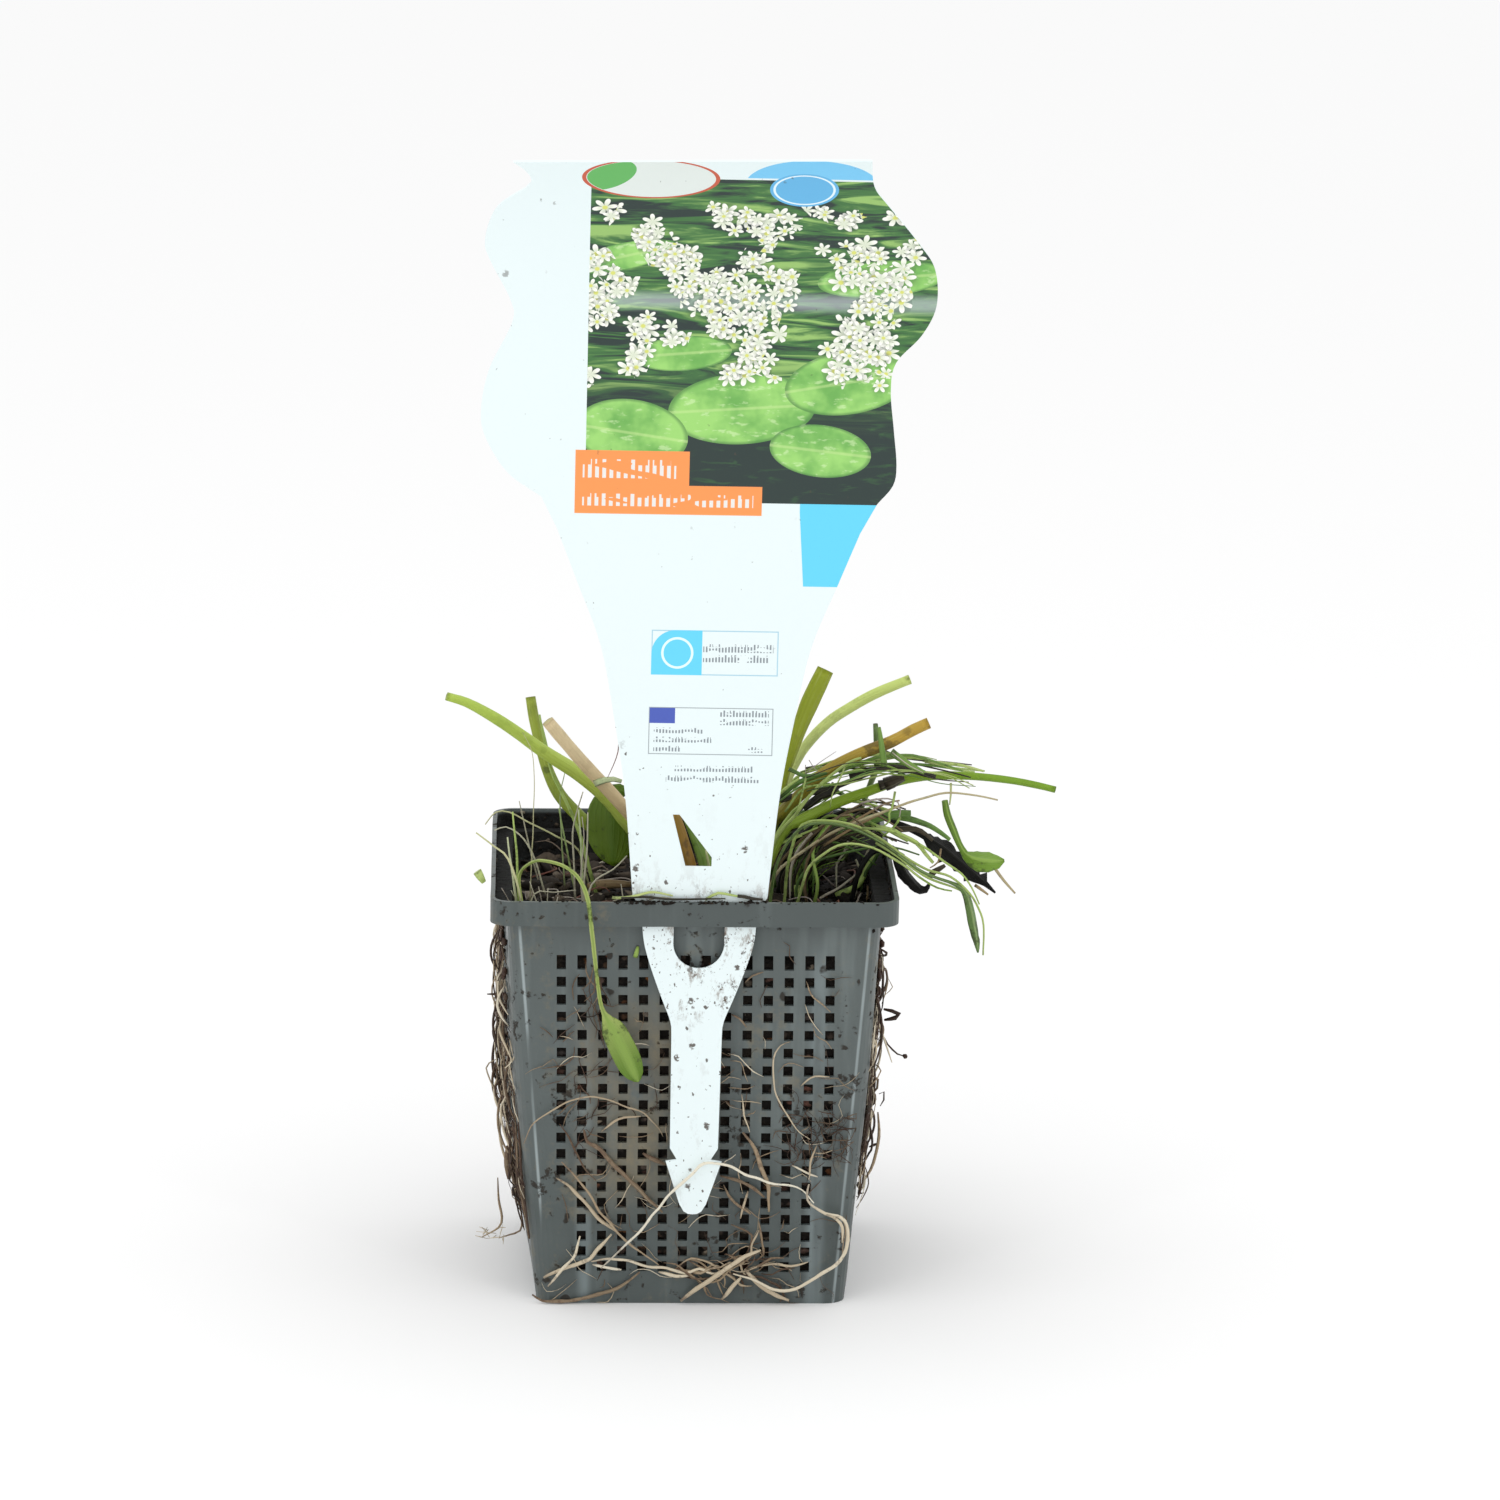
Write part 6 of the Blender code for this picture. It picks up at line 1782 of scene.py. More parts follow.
@dataclass
class Strands:
    """Thin strands and grassy leaves, with the ones that match a solid in place of it."""

    step: float = 1.8
    waver: float = 0.22
    tuft_tones: tuple = (0.06, 0.1, 0.14, 0.2, 0.62, 0.7, 0.84, 0.9) * 4
    bundle_line: tuple = ((24.0, 132.0), (31.0, 138.5), (40.0, 141.5), (50.0, 143.2), (59.0, 143.0),
                          (68.0, 141.6), (77.0, 139.6))
    bundle_tones: tuple = (0.06, 0.1, 0.5, 0.56, 0.6, 0.64, 0.7, 0.84)
    bundle_strands: int = 16
    fan_stems: int = 9
    fan_pitch: float = 1.1
    fan_top: float = 116.5
    seedlings: int = 80
    seedling_tones: tuple = (0.05, 0.15, 0.3, 0.4, 0.55)
    seedling_foot: float = 103.6
    inside_half: float = 47.5
    seed: int = 23

    def build(self) -> list[Piece]:
        """Make the measured strands, the finer ones beside them and the tuft over the right rim."""
        skin = GRASS.material()
        made = []
        for name, strands in (("strands_right", RIGHT_STRANDS), ("strands_left", LEFT_STRANDS)):
            bm = start_mesh()
            for strand in strands:
                self._grow_one(bm, strand, 10)
            nodes = tuple(s.node for s in strands)
            made.append(finish_piece(name, bm, skin, nodes))
        bm = start_mesh()
        for strand in GRASS_BLADES:
            self._grow_one(bm, strand, 8)
        self._tuft(bm)
        self._upper_bundle(bm)
        made.append(finish_piece("fine_strands", bm, skin))
        bm = start_mesh()
        for strand in PALE_FIBRES:
            self._grow_one(bm, strand, 6)
        self._corner_fan(bm)
        self._seedlings(bm)
        made.append(finish_piece("pale_fibres", bm, FIBRES.material()))
        return made

    def _grow_one(self, bm: Mesh, strand: Strand, sides: int) -> None:
        """Grow one strand that thins towards its tip."""
        samples = smooth_route(strand.route, self.step)
        last = len(samples) - 1
        for i, sample in enumerate(samples):
            if i > 0:
                push = bend_noise(Vector(sample), 9.0, strand.tone * 10) * self.waver
                sample[:] = [a + b for a, b in zip(sample, push)]
            half = strand.radius * (1.0 - 0.45 * (i / last) ** 2)
            sample.extend((half, half * strand.flat))
        grow(bm, samples, sides, strand.tone)

    def _tuft(self, bm: Mesh) -> None:
        """Grow the loose tuft that arches from the crown over the right rim."""
        draw = random.Random(self.seed)
        for tone in self.tuft_tones:
            foot = Vector((draw.uniform(19, 34), draw.uniform(-12, 22), 104.0))
            top = Vector((draw.uniform(36, 50), foot.y + draw.gauss(0, 4), draw.uniform(119, 132)))
            reach = draw.uniform(5, 18)
            tip = top + Vector((reach, draw.gauss(0, 3), -draw.uniform(0.1, 0.5) * reach))
            rise = foot.lerp(top, 0.45) + Vector((-draw.uniform(1, 4), 0, draw.uniform(3, 7)))
            start = foot + Vector((draw.uniform(-1, 1), 0, 6))
            bend = top.lerp(tip, 0.5) + Vector((0, 0, 1.0))
            radius, flat = draw.uniform(0.25, 0.6), draw.uniform(0.4, 0.9)
            self._grow_one(bm, Strand((foot, start, rise, top, bend, tip), radius, tone, flat), 6)

    def _upper_bundle(self, bm: Mesh) -> None:
        """Draw thin strands out beside each other above the long stalk."""
        draw = random.Random(self.seed + 3)
        for _ in range(self.bundle_strands):
            first, last = draw.randint(0, 2), draw.randint(4, 7)
            side, rise = draw.uniform(-9, 6), draw.uniform(-3.2, 1.6)
            places = [(x + draw.gauss(0, 0.8), side + draw.gauss(0, 0.6), z + rise + draw.gauss(0, 0.7))
                      for x, z in self.bundle_line[first:last]]
            tone = draw.choice(self.bundle_tones)
            self._grow_one(bm, Strand(tuple(places), draw.uniform(0.14, 0.34), tone, 0.7), 6)

    def _corner_fan(self, bm: Mesh) -> None:
        """Fan short pale stems out over the front left corner."""
        draw = random.Random(self.seed + 2)
        for number in range(self.fan_stems):
            foot = (-46.0 + self.fan_pitch * number, -38.0 - draw.uniform(0, 4), 104.0)
            top = self.fan_top - 0.175 * (number - 3) ** 2
            tip = (-52.0 + 2.5 * number, -41.0, top + draw.gauss(0, 0.8))
            middle = tuple((a + b) / 2 + draw.gauss(0, 0.7) for a, b in zip(foot, tip))
            radius, tone = draw.uniform(0.15, 0.3), draw.uniform(0.4, 0.8)
            self._grow_one(bm, Strand((foot, middle, tip), radius, tone), 6)

    def _seedlings(self, bm: Mesh) -> None:
        """Put short pale shoots and fallen fibres over the compost."""
        draw = random.Random(self.seed + 1)
        for _ in range(self.seedlings):
            x, y = draw.uniform(-45, 45), draw.uniform(-45, 45)
            angle = draw.uniform(0, math.tau)
            length = draw.uniform(4, 15)
            lift = draw.uniform(0.2, 5.0) if draw.random() < 0.35 else draw.uniform(0.2, 1.5)
            ahead = Vector((math.cos(angle), math.sin(angle), 0.0)) * length
            start = Vector((x, y, self.seedling_foot))
            if max(abs(x + ahead.x), abs(y + ahead.y)) > self.inside_half:
                continue
            middle = start + ahead * 0.5 + Vector((draw.gauss(0, 1.5), draw.gauss(0, 1.5), lift + 0.6))
            end = start + ahead + Vector((0, 0, lift * draw.uniform(0.2, 1.2)))
            tone = draw.choice(self.seedling_tones)
            self._grow_one(bm, Strand((start, middle, end), draw.uniform(0.12, 0.3), tone), 5)


@dataclass
class Thatch:
    """Fan of matted leaf bases that leans from the compost towards the right rim."""

    facing: tuple = (-0.7, 0.0, 0.7)
    core: tuple = ((30, 14, 104.4, 6.0, 1.6), (32, 14, 109, 7.0, 2.0), (38, 14.5, 114.2, 8.0, 2.4),
                   (44, 15, 118.4, 7.0, 1.8), (48, 15.5, 121.6, 3.5, 0.6))
    fibres: int = 210
    top: float = 124.0
    tones: tuple = (0.06, 0.1, 0.12, 0.16, 0.2, 0.24, 0.6, 0.72, 0.9)
    seed: int = 31

    def build(self) -> Piece:
        """Make the fan in place of its solid: a dark core under leaning fibres."""
        draw = random.Random(self.seed)
        bm = start_mesh()
        grow(bm, smooth_route(self.core, 1.5), 20, 0.04, Vector(self.facing))
        for _ in range(self.fibres):
            spread = draw.random()
            foot = Vector((28.6 + 4.4 * draw.random(), draw.uniform(5.5, 22.5), 104.2 + 3.0 * draw.random()))
            angle = math.radians(33.0 + 30.0 * spread + draw.gauss(0, 4))
            length = draw.uniform(11, 25) * (1.0 - 0.15 * spread)
            tip = foot + Vector((math.cos(angle) * length, draw.gauss(0, 1.6), math.sin(angle) * length))
            tip.z = min(tip.z, self.top)
            bow = Vector(self.facing) * (2.6 + draw.gauss(0, 0.8))
            middle = foot.lerp(tip, 0.5) + bow
            tone = draw.choice(self.tones) + draw.gauss(0, 0.02)
            radius = draw.uniform(0.22, 0.62)
            samples = smooth_route((foot, middle, tip), 2.2)
            for i, sample in enumerate(samples):
                half = radius * (1.0 - 0.5 * i / len(samples))
                sample.extend((half, half * 0.4))
            grow(bm, samples, 5, max(0.0, tone), Vector(self.facing))
        return finish_piece("leaf_base_thatch", bm, GRASS.material(), ("thatch_right",))


# Roots


ROOTS = StrandSkin("root_fibres", ((0.0, (30, 24, 19)), (0.2, (64, 51, 41)), (0.4, (104, 86, 68)),
                                   (0.6, (156, 136, 110)), (0.8, (204, 190, 164)), (1.0, (232, 226, 208))),
                   0.6, (66, 34, 24), 0.22)


@dataclass(frozen=True)
class WallRoot:
    """One loose root over the front wall: x, z and how far it stands off, radius and tone."""

    route: tuple
    radius: float
    tone: float
    node: str = ""


FRONT_ROOTS = (
    WallRoot(((-37, 36.6, 0.3), (-34.2, 34.8, 0.2), (-29.6, 30.2, 0.2), (-24.9, 25, 0.2), (-19.2, 19.8, 0.3)),
             0.62, 0.72, "root_front_a"),
    WallRoot(((-35.4, 41.8, 1.5), (-30.4, 36, 1.5), (-24.9, 27.3, 1.5), (-18.1, 19.2, 1.5), (-9, 12, 1.3)),
             0.42, 0.62, "root_front_b"),
    WallRoot(((-29.7, 50.4, 0.1), (-28.6, 47, 0.1), (-25.1, 44.7, 0.1), (-19.1, 38.3, 0.1),
              (-14.1, 33.2, 0.1), (-8.1, 26.8, 0.1)), 0.75, 0.47, "root_front_c"),
    WallRoot(((-24.8, 11.4, 3), (-17.2, 18.7, 3.2), (-13.7, 22.6, 4.4), (-10, 28.6, 6), (-6.5, 33.6, 7.2),
              (-2.3, 38.3, 8.0), (1.8, 42.6, 8.3), (5.5, 43.4, 8.2), (9.4, 42.2, 6.6), (14.2, 39.2, 4.6),
              (21, 36.3, 2.8), (26, 35, 1.4), (29.7, 33.4, 0.7), (33, 30.7, 3.4)),
             0.48, 0.97, "root_front_d"),
    WallRoot(((31.5, 35.6, 2.2), (31.3, 32.4, 2.2), (32.4, 29.8, 2.2), (36.3, 27.2, 2.2), (39.3, 26.4, 2.2),
              (41.5, 24.9, 2.2), (42.7, 22.3, 2.0), (42.7, 19.4, 1.8), (41.7, 15.6, 1.8), (39.3, 12.1, 2),
              (35, 9.2, 2.1), (30.1, 6, 2.2), (26.9, 4.8, 2.2), (22.8, 5.1, 2.2), (18.6, 7.1, 2.1),
              (14.8, 8.9, 2), (11.5, 9.7, 1.8)), 0.62, 0.86, "root_front_e"),
    WallRoot(((-2.9, 0.8, 0.2), (3.6, 6.5, 1.0), (8.5, 10.3, 1.6), (13.6, 13.8, 1.2), (19, 15.9, 0.4)),
             0.85, 0.76, "root_front_f"),
    WallRoot(((14.7, 10.6, 0.6), (17, 7.7, 0.5), (20.9, 4, 0.3), (26.9, 1.1, 0.1)),
             0.8, 0.74, "root_front_g"),
    WallRoot(((-43.4, 2.6, -0.6), (-40.3, 1.1, 0.1), (-36.7, 0.9, 0.1), (-32.7, 1.0, 0), (-28.6, 2, 0),
              (-23.9, 3.1, 0), (-20.4, 4.4, 0), (-17.1, 6.7, 0), (-14.2, 9.4, 0)), 0.62, 0.5, "root_front_h"),
    WallRoot(((-39.2, 5.5, 1.6), (-35.2, 10.5, 1.6), (-31.9, 14.8, 1.5), (-30.3, 20.1, 1.2)),
             0.52, 0.84, "root_front_i"),
    WallRoot(((-40.1, 7.8, 0), (-31.1, 11.9, 0), (-27.6, 13.4, 0), (-25.9, 16, 0), (-21.9, 20.1, 0)),
             0.7, 0.78, "root_front_j"),
    WallRoot(((-27.3, 12.5, 0.6), (-22.4, 13.4, 0.4), (-17.2, 12.6, 0.3), (-11.7, 11.1, 0.3),
              (-6.5, 10.5, 0.3), (-1.3, 9.4, 0.4), (2.2, 10.6, 0.6), (5.5, 9.1, 0.8), (9, 9.6, 0.8)),
             0.5, 0.84, "root_front_k"),
    WallRoot(((13.4, 50, 0), (16.7, 45.1, 0), (19.2, 39.1, 0), (20.9, 34.1, 0), (20.8, 26.9, 0)),
             0.75, 0.6, "root_front_l"),
)
FINE_ROOTS = (
    WallRoot(((36.6, 27.2, 3.0), (38.5, 26.4, 3.0), (40.5, 24.1, 3.0), (41, 22, 2.8), (40.8, 18.8, 2.4)),
             0.5, 0.8),
    WallRoot(((8.6, 1.8, 0), (11.3, 5.1, 0.3), (13.7, 8.3, 0.6)), 0.75, 0.78),
    WallRoot(((-26.7, 11.4, 0.2), (-22.8, 10.6, 0.2), (-18.8, 10.2, 0.2)), 0.5, 0.92),
    WallRoot(((-8.7, 9.4, 0.3), (-4.3, 8.5, 0.3), (0.3, 8.8, 0.3)), 0.62, 0.84),
    WallRoot(((-45.7, 46.6, 0.5), (-44.1, 51.5, 0.8), (-39.5, 55.5, 1.2), (-34.4, 58.4, 1.4),
              (-29.2, 59.9, 1.5), (-24.1, 59.9, 1.3), (-18.9, 57.6, 1), (-13.5, 55.6, 0.5), (-10, 51.9, 0.3),
              (-7.8, 48.5, 0.2)), 0.3, 0.66),
    WallRoot(((26, 75.8, 0.2), (23.3, 75, 0.5), (21.7, 71.3, 0.6), (21.6, 65, 0.8), (23, 59.2, 0.6),
              (25.8, 54.9, 0.4), (28, 50.9, 0.3), (31.9, 48, 0.2)), 0.3, 0.76),
    WallRoot(((30, 92.9, 0), (32.3, 88.4, 0.4), (36.9, 84.4, 0)), 0.26, 0.6),
    WallRoot(((28.9, 63, 0), (32.7, 66.1, 0.5), (36.7, 65.9, 0)), 0.34, 0.72),
    WallRoot(((10, 83.5, 0), (12.4, 82.3, 0.4), (14.3, 79.8, 0)), 0.4, 0.5),
    WallRoot(((13.6, 92.9, 0), (15.5, 94.9, 0.4), (18.4, 95.7, 0)), 0.3, 0.5),
    WallRoot(((13.2, 60.6, 0), (13.9, 55.2, 0.3), (15.6, 50, 0.1)), 0.28, 0.78),
    WallRoot(((7.6, 37.3, 0), (12.8, 35.9, 0.3), (16.9, 33.6, 0.3), (19.9, 31.3, 0)), 0.6, 0.46),
    WallRoot(((8.4, 34.7, 0), (11.8, 29.5, 0.2), (15.9, 26.3, 0)), 0.48, 0.52),
    WallRoot(((15, 33, 0.3), (14.2, 29.2, 0.3), (13.2, 25.1, 0.1)), 0.42, 0.7),
    WallRoot(((-13.4, 43.8, 0), (-10.1, 42.1, 0.2), (-7.1, 40.7, 0)), 0.75, 0.44),
    WallRoot(((-25, 50, 0), (-20, 53.5, 0.5), (-14, 54.5, 0.3)), 0.4, 0.68),
    WallRoot(((-36, 52, 0), (-33, 47, 0.3), (-30, 40, 0.2), (-26, 36, 0)), 0.35, 0.36),
    WallRoot(((33.5, 46, 0.3), (32, 41, 0.8), (32, 37, 1.8)), 0.35, 0.7),
    WallRoot(((27, 40.5, 0), (31, 38.5, 0.5), (34, 37, 0)), 0.35, 0.9),
)


def hanging(y: float, radius: float, tone: float, *places: tuple[float, float]) -> tuple:
    """Tone, radius and route of a loose root whose places, given as x and z, lie in one upright plane."""
    return tone, radius, tuple((x, y, z) for x, z in places)


@dataclass(frozen=True)
class RootPatch:
    """Roots that are drawn at random over a part of a wall, each number between two limits."""

    count: int
    x: Span
    z: Span
    heading: Callable[[random.Random], float]
    length: Span
    radius: Span
    tone: Span
    off: Span
    back: bool = False


def any_way(draw: random.Random) -> float:
    """A heading in any direction."""
    return draw.uniform(0, math.tau)


# The tangle near the base, hairs, the brush at the right, the hairs at the left and the roots at the back
ROOT_PATCHES = (
    RootPatch(34, (-8, 20), (7.5, 15), lambda draw: draw.gauss(0.15, 0.35),
              (6, 20), (0.18, 0.45), (0.25, 0.75), (0.1, 1.4)),
    RootPatch(110, (-40, 42), (4, 99),
              lambda draw: draw.choice((-1.2, -1.8, -0.6, 0.4, 2.6, -2.4)) + draw.gauss(0, 0.3),
              (3, 13), (0.08, 0.2), (0.2, 0.9), (0, 0.4)),
    RootPatch(85, (26, 43), (41, 56), any_way, (3, 10), (0.08, 0.22), (0.0, 0.4), (0, 0.7)),
    RootPatch(34, (-33, -22), (46, 99), lambda draw: draw.gauss(-1.6, 0.5),
              (4, 14), (0.1, 0.25), (0.05, 0.5), (0, 0.3)),
    RootPatch(60, (-38, 38), (3, 95), any_way, (6, 30), (0.12, 0.5), (0.2, 0.9), (0, 0.5), back=True),
)


@dataclass(frozen=True)
class RootMat:
    """The net of roots on one side wall: its side, -1 for left and 1 for right, and its extent."""

    side: int
    name: str
    node: str
    low: float
    high: float
    roots: int


LEFT_MAT = RootMat(-1, "root_net_left", "root_mat_left", 22.0, 101.0, 430)
RIGHT_MAT = RootMat(1, "root_net_right", "root_mat_right", 30.0, 100.0, 330)
# Loose roots on the side walls, left (-1) and right (1)
LOOSE_ENDS = {
    -1: (hanging(-22, 0.35, 0.6, (-52.9, 29.6), (-52.6, 23.2), (-51.7, 18.3), (-52.6, 15.3), (-57.1, 12.6)),
         hanging(-22, 0.3, 0.5, (-46.7, 22.1), (-46.2, 17.5), (-46.7, 14.4), (-49.7, 13.2), (-52.5, 12.3)),
         hanging(-20, 1.1, 0.46, (-50.2, 38.1), (-50.2, 34.1), (-49.8, 28.6)),
         hanging(-36, 0.5, 0.3, (-49, 50), (-47.6, 41.5), (-47.4, 33), (-45.1, 22.5), (-43.9, 16.5)),
         hanging(-38, 0.3, 0.5, (-48.6, 60), (-47.8, 46), (-47, 34), (-45.4, 24), (-44.3, 17)),
         hanging(-40, 0.4, 0.24, (-47.6, 56), (-46.8, 44), (-46.4, 36), (-45.2, 26), (-44, 17.5)),
         hanging(-10, 0.22, 0.7, (-52.8, 60.4), (-55.5, 58.9), (-56.3, 57.5), (-54.7, 52.9), (-53, 50.1)),
         hanging(-42, 0.35, 0.85, (-49.7, 96.6), (-48.6, 89.6), (-46.9, 81.2), (-46.9, 74.2), (-48.8, 68.6),
                 (-50.9, 66.4)),
         hanging(-10, 0.35, 0.1, (-56.1, 78.6), (-54.2, 78.6), (-51.7, 78.6)),
         hanging(-5, 0.22, 0.6, (-51.8, 83.6), (-54.2, 81.3), (-54.8, 77.3), (-53.1, 72.7))),
    1: (hanging(-12, 0.25, 0.6, (52.1, 89.3), (54.1, 84.4), (53.4, 79.3), (52.6, 76.8)),
        hanging(-12, 0.16, 0.7, (54.3, 84), (55.5, 81.6), (53.4, 79.3)),
        hanging(-12, 0.7, 0.0, (53.1, 75.3), (55.4, 74.8), (57.4, 73.9), (56.3, 72.8), (53.3, 72.2)),
        hanging(-30, 0.3, 0.85, (49.5, 79.3), (51.5, 74.5), (52.3, 72.1), (54.7, 65)),
        hanging(-20, 0.28, 0.1, (52.8, 69.8), (54, 67.4), (56.7, 64.7), (58.8, 64)),
        hanging(-20, 0.8, 0.05, (58.2, 64.4), (58.9, 64), (59.4, 63.8)),
        hanging(-42, 0.3, 0.8, (48.2, 76.9), (49.8, 72.9), (49.1, 68.7), (47.2, 64.8)),
        hanging(-14, 0.5, 0.62, (51.9, 46.4), (52.3, 39.4), (50.9, 31.9), (49.3, 28.3), (47.3, 24.9)),
        hanging(-14, 0.4, 0.05, (49.6, 36.4), (52.4, 37.6)),
        hanging(-14, 0.4, 0.1, (47.7, 31.5), (48.8, 31.8)),
        hanging(-14, 0.4, 0.1, (46.8, 22.9), (48.4, 23.2)),
        hanging(-10, 0.25, 0.1, (52.7, 47), (53.7, 48.8), (53.7, 51.1), (52.3, 50.5))),
}


@dataclass
class RootSystem:
    """Loose roots on the front wall, mats on the side walls and a few fine ones at the back."""

    pot: PondPot
    clearance: float = 0.4
    slimmed: float = 0.8
    waver: float = 0.45
    highest: float = 104.0
    mat_tones: tuple = (0.03, 0.08, 0.15, 0.28, 0.4, 0.6, 0.84)
    frayed_hairs: int = 14
    clods: int = 150
    seed: int = 47

    def build(self) -> list[Piece]:
        """Make every root."""
        skin = ROOTS.material()
        return [self._front(skin), self._fine(skin), self._mat(skin, LEFT_MAT), self._mat(skin, RIGHT_MAT)]

    def _on_wall(self, x: float, z: float, off: float, radius: float) -> tuple[float, ...]:
        """A place over the front wall."""
        return tuple(Vector((x, -(self.pot.wall_half(z) + self.clearance + radius + off), z)))

    def _grow_root(self, bm: Mesh, root: WallRoot, sides: int, back: bool = False) -> None:
        """Grow one root, a little uneven, along its route over the wall."""
        lowest = root.radius + 0.2
        points = [self._on_wall(x, max(z, lowest), off, root.radius) for x, z, off in root.route]
        samples = smooth_route(points, 1.4)
        last = len(samples) - 1
        for i, sample in enumerate(samples):
            at = Vector(sample)
            rough = 1.0 + 0.3 * noise.noise(at / 1.8)
            push = bend_noise(at, 5.0, root.tone * 20) * self.waver
            sample[0] += push.x
            sample[1] -= abs(push.y) * 0.5
            sample[2] = max(sample[2] + push.z, root.radius + 0.15)
            if back:
                sample[1] = -sample[1]
            end = min(1.0, 0.45 + 2.2 * min(i, last - i) / max(1, last))
            half = root.radius * self.slimmed * rough * end
            sample.extend((half, half * 0.85))
        grow(bm, samples, sides, root.tone)

    def _front(self, skin: Material) -> Piece:
        """Make the stout front roots in place of their solids."""
        bm = start_mesh()
        for root in FRONT_ROOTS:
            self._grow_root(bm, root, 9)
        return finish_piece("front_roots", bm, skin, tuple(r.node for r in FRONT_ROOTS))

    def _fine(self, skin: Material) -> Piece:
        """Make the finer front roots, the tangle near the base, hairs, and the few at the back."""
        draw = random.Random(self.seed)
        bm = start_mesh()
        for root in FINE_ROOTS:
            self._grow_root(bm, root, 7)
        for patch in ROOT_PATCHES:
            for _ in range(patch.count):
                self._wander(bm, draw, patch)
        return finish_piece("fine_roots", bm, skin)

    def _wander(self, bm: Mesh, draw: random.Random, patch: RootPatch) -> None:
        """Grow a root that wanders over a wall from a place in a patch."""
        x, z = draw.uniform(*patch.x), draw.uniform(*patch.z)
        angle = patch.heading(draw)
        length, radius = draw.uniform(*patch.length), draw.uniform(*patch.radius)
        tone, off = draw.uniform(*patch.tone), draw.uniform(*patch.off)
        route = []
        steps = max(3, round(length / 3.0))
        for i in range(steps + 1):
            limit = self.pot.wall_half(z) - 2.0
            stand = off * math.sin(math.pi * i / steps) + 0.05
            route.append((held_between(-limit, x, limit), max(radius + 0.2, z), stand))
            angle += draw.gauss(0, 0.5)
            x += math.cos(angle) * length / steps
            z = min(self.highest, z + math.sin(angle) * length / steps)
        self._grow_root(bm, WallRoot(tuple(route), radius, tone), 5, patch.back)

    def _mat(self, skin: Material, mat: RootMat) -> Piece:
        """Make one side wall's mat: a thin net of wavy roots that hugs the bulged wall."""
        draw = random.Random(self.seed + mat.side)
        bm = start_mesh()
        for number in range(mat.roots):
            y, z = draw.uniform(-40.0, 38.0), draw.uniform(mat.low + 4, mat.high)
            length = draw.uniform(5, 26)
            angle = -math.pi / 2 + draw.gauss(0, 0.7)
            radius = draw.uniform(0.08, 0.26) if number % 12 else 0.38
            off = draw.uniform(0.0, 1.2) if number % 6 else draw.uniform(1.2, 3.0)
            tone = draw.choice(self.mat_tones) + draw.gauss(0, 0.04)
            steps = max(3, round(length / 3.0))
            samples = []
            for i in range(steps + 1):
                stand = off * math.sin(math.pi * i / steps)
                samples.append((mat.side * (self._side_reach(mat, y, z) + 0.3 + radius + stand), y, z))
                angle = angle * 0.85 - math.pi / 2 * 0.15 + draw.gauss(0, 0.5)
                y = held_between(-43.0, y + math.cos(angle) * length / steps, 41.0)
                z = held_between(mat.low - 6, z + math.sin(angle) * length / steps, mat.high + 2)
            self._along(bm, samples, radius, held_between(0.0, tone, 1.0), 5)
        self._add_clods(bm, draw, mat)
        for tone, radius, route in LOOSE_ENDS[mat.side]:
            self._along(bm, route, radius, tone, 6)
        if mat is LEFT_MAT:
            self._frayed_end(bm, draw)
        return finish_piece(mat.name, bm, skin, (mat.node,))

    def _side_reach(self, mat: RootMat, y: float, z: float) -> float:
        """How far a bulged side wall reaches out at a place."""
        bulge = self.pot.left_bulge if mat is LEFT_MAT else self.pot.right_bulge
        return self.pot.wall_half(z) + self.pot.swell(y, z, bulge)

    def _frayed_end(self, bm: Mesh, draw: random.Random) -> None:
        """Fray the end of the lowest loose root at the left."""
        for _ in range(self.frayed_hairs):
            start = Vector((draw.uniform(-56, -51), draw.uniform(-24, -20), draw.uniform(12, 15)))
            bend = Vector((draw.gauss(0, 1.5), draw.gauss(0, 1.0), draw.gauss(0, 1.0)))
            self._along(bm, (start, start + bend, start + bend * 1.8), 0.14, 0.8, 5)

    @staticmethod
    def _along(bm: Mesh, route: Route, radius: float, tone: float, sides: int) -> None:
        """Grow a root that thins towards both ends."""
        curve = smooth_route(route, 1.9)
        for i, sample in enumerate(curve):
            half = radius * min(1.0, 0.45 + 2.0 * min(i, len(curve) - 1 - i) / len(curve))
            sample.extend((half, half * 0.85))
        grow(bm, curve, sides, tone)

    def _add_clods(self, bm: Mesh, draw: random.Random, mat: RootMat) -> None:
        """Put small clods of compost among a mat's roots, a third of them high on the wall."""
        for number in range(self.clods):
            y, z = draw.uniform(-40, 30), draw.uniform(80, 102) if number % 3 == 0 else draw.uniform(26, 98)
            size = draw.uniform(0.25, 1.3)
            reach = self._side_reach(mat, y, z) + 0.5 + draw.uniform(0.0, 0.7)
            placed = (Matrix.Translation((mat.side * reach, y, z))
                      @ Matrix.Diagonal((mat.side * size * 0.6, size, size, 1.0)))
            rough_lump(bm, placed, draw.uniform(0.0, 0.4), number * 1.3, roughness=0.5, spread=0.8)


# Studio


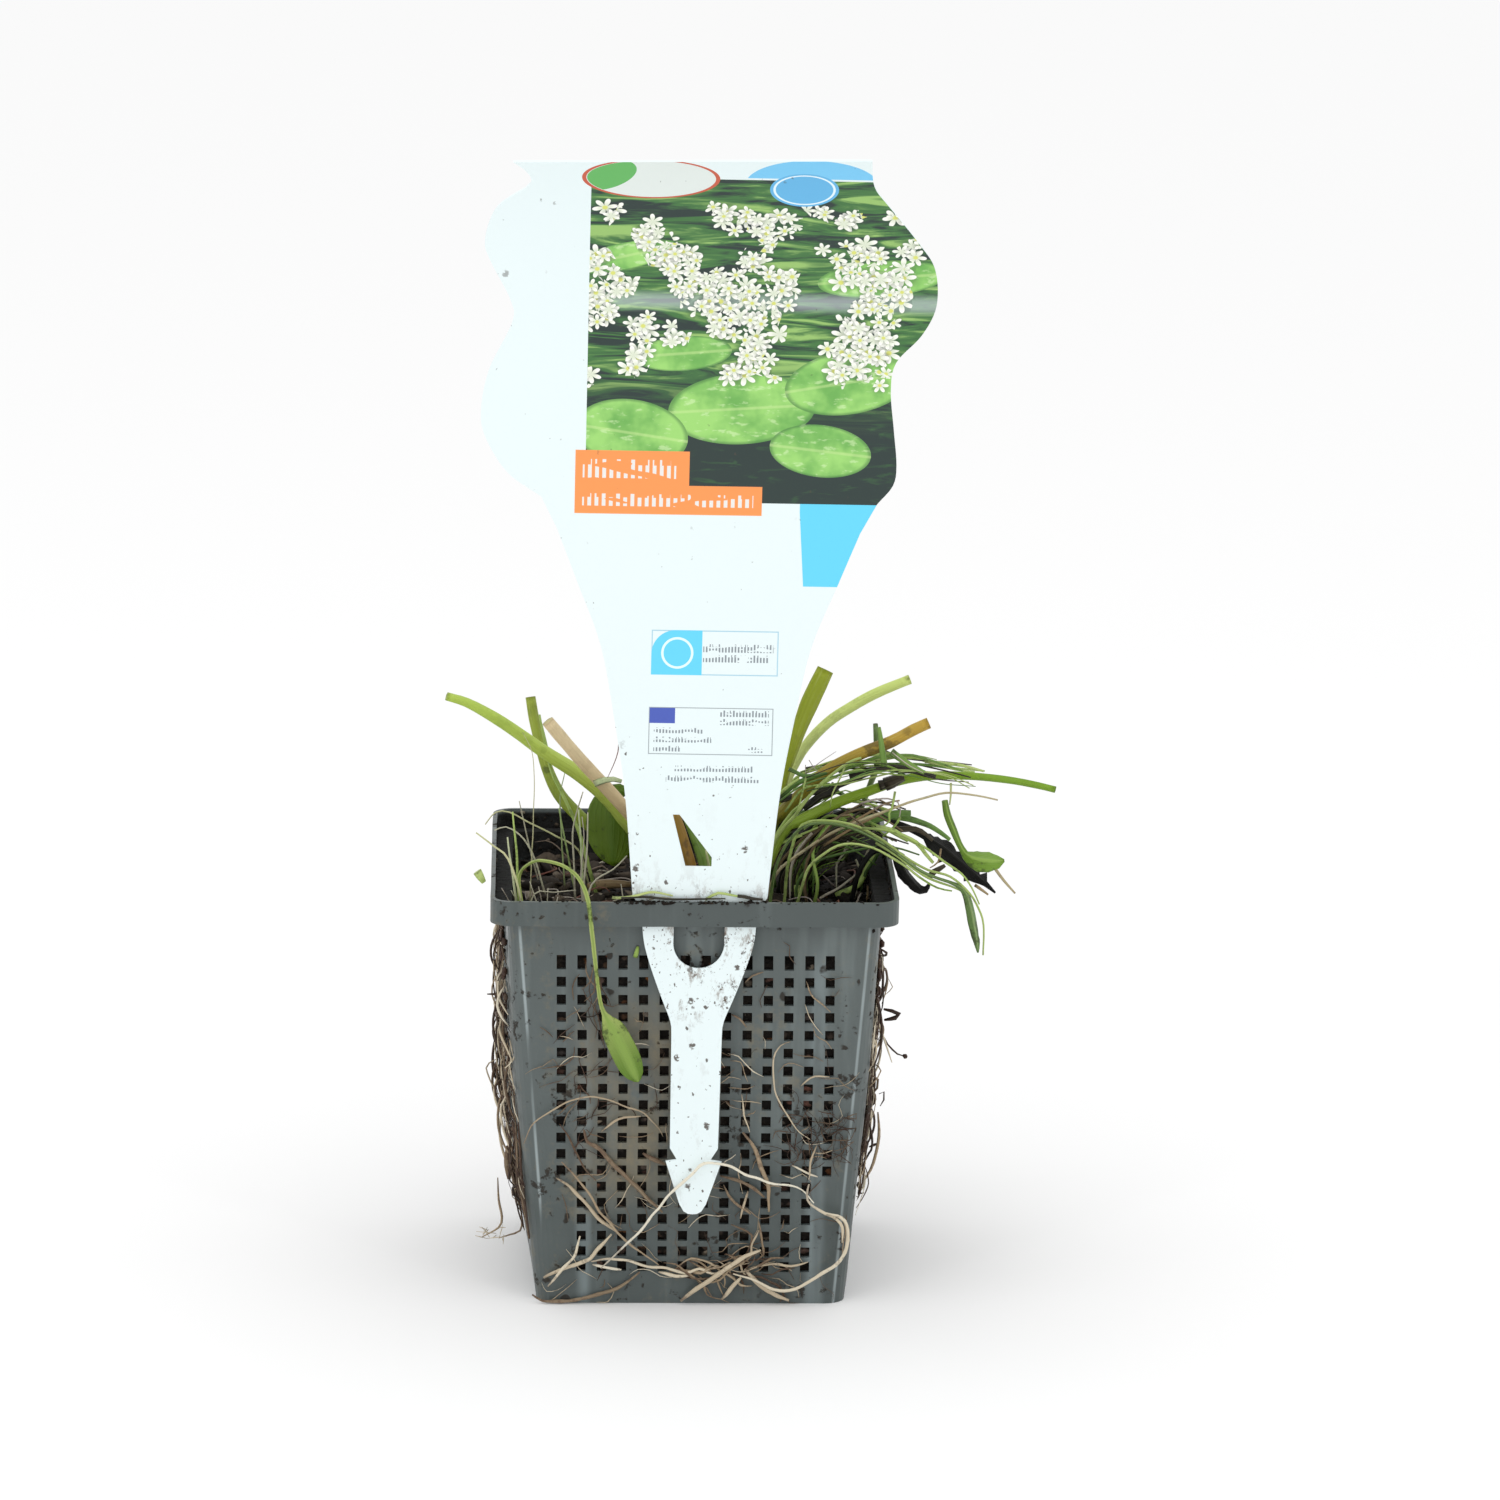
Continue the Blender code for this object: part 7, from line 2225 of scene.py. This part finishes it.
@dataclass
class Studio:
    """Pale floor, soft light and the camera, which was fitted to the pot's corners in the photograph."""

    azimuth: float = -1.833
    elevation: float = 12.726
    distance: float = 1878.8
    roll: float = 0.702
    target: tuple = (15.79, 0.0, 145.59)
    focal_pixels: float = 6836.5
    frame_pixels: float = 1500.0
    sensor: float = 36.0
    surround: float = 1.0
    floor_radius: float = 14.0
    aim_height: float = 0.13
    soft_boxes: tuple = (("left_strip", (-0.85, -1.1, 0.5), 0.06, 1.2, 1.3),
                         ("right_strip", (0.85, -1.1, 0.5), 0.06, 1.2, 1.3),
                         ("top_light", (-0.2, -0.3, 1.5), 0.8, 0.8, 2.2))

    def build(self) -> None:
        """Make the floor, the lights and the camera."""
        bpy.context.scene.view_settings.view_transform = "Standard"
        self._floor()
        self._lights()
        self._camera()

    def _floor(self) -> None:
        """Make the floor, which is not part of the plant."""
        bm = bmesh.new()
        bmesh.ops.create_circle(bm, cap_ends=True, segments=96, radius=self.floor_radius)
        mesh = bpy.data.meshes.new("studio_floor")
        bm.to_mesh(mesh)
        bm.free()
        floor = link_to_scene("studio_floor", mesh)
        mesh.materials.append(StudioWhite().material())

    def _lights(self) -> None:
        """Make the white surround and the soft boxes."""
        world = bpy.data.worlds.new("studio_surround")
        bpy.context.scene.world = world
        world.use_nodes = True
        background = world.node_tree.nodes["Background"]
        background.inputs["Color"].default_value = (1.0, 1.0, 1.0, 1.0)
        background.inputs["Strength"].default_value = self.surround
        for name, place, width, height, power in self.soft_boxes:
            lamp = bpy.data.lights.new(name, "AREA")
            lamp.shape = "RECTANGLE"
            lamp.size = width
            lamp.size_y = height
            lamp.energy = power
            light = link_to_scene(name, lamp)
            aim = Vector((0.0, 0.0, self.aim_height)) - Vector(place)
            light.matrix_world = Matrix.Translation(place) @ aim.to_track_quat("-Z", "Y").to_matrix().to_4x4()

    def _camera(self) -> None:
        """Place the camera at the photograph's angle."""
        azimuth, elevation, roll = (math.radians(a) for a in (self.azimuth, self.elevation, self.roll))
        back = Vector((math.sin(azimuth) * math.cos(elevation), -math.cos(azimuth) * math.cos(elevation),
                       math.sin(elevation)))
        level_right = Vector((math.cos(azimuth), math.sin(azimuth), 0.0))
        level_up = back.cross(level_right)
        right = level_right * math.cos(roll) + level_up * math.sin(roll)
        up = level_up * math.cos(roll) - level_right * math.sin(roll)
        lens = bpy.data.cameras.new("camera")
        lens.sensor_width = self.sensor
        lens.lens = self.sensor * self.focal_pixels / self.frame_pixels
        lens.clip_start = 0.05
        lens.clip_end = 60.0
        camera = link_to_scene("camera", lens)
        turn = Matrix((right, up, back)).transposed().to_4x4()
        place = Vector(self.target) + back * self.distance
        camera.matrix_world = Matrix.Translation(place * MM) @ turn
        bpy.context.scene.camera = camera


def main() -> None:
    """Build the potted plant and its studio, in order."""
    noise.seed_set(NOISE_SEED)
    logging.basicConfig(level=logging.INFO, format="%(name)s: %(message)s")
    Studio().build()
    pot = PondPot()
    pieces = [pot.build()]
    pieces += Compost(pot).build()
    pieces.append(PlantLabel().build())
    pieces += CutStalks().build()
    pieces += SmallLeaves().build()
    pieces += Strands().build()
    pieces.append(Thatch().build())
    pieces += RootSystem(pot).build()
    for piece in pieces:
        log.info("%s is in place", piece.name)


if __name__ == "__main__":
    main()
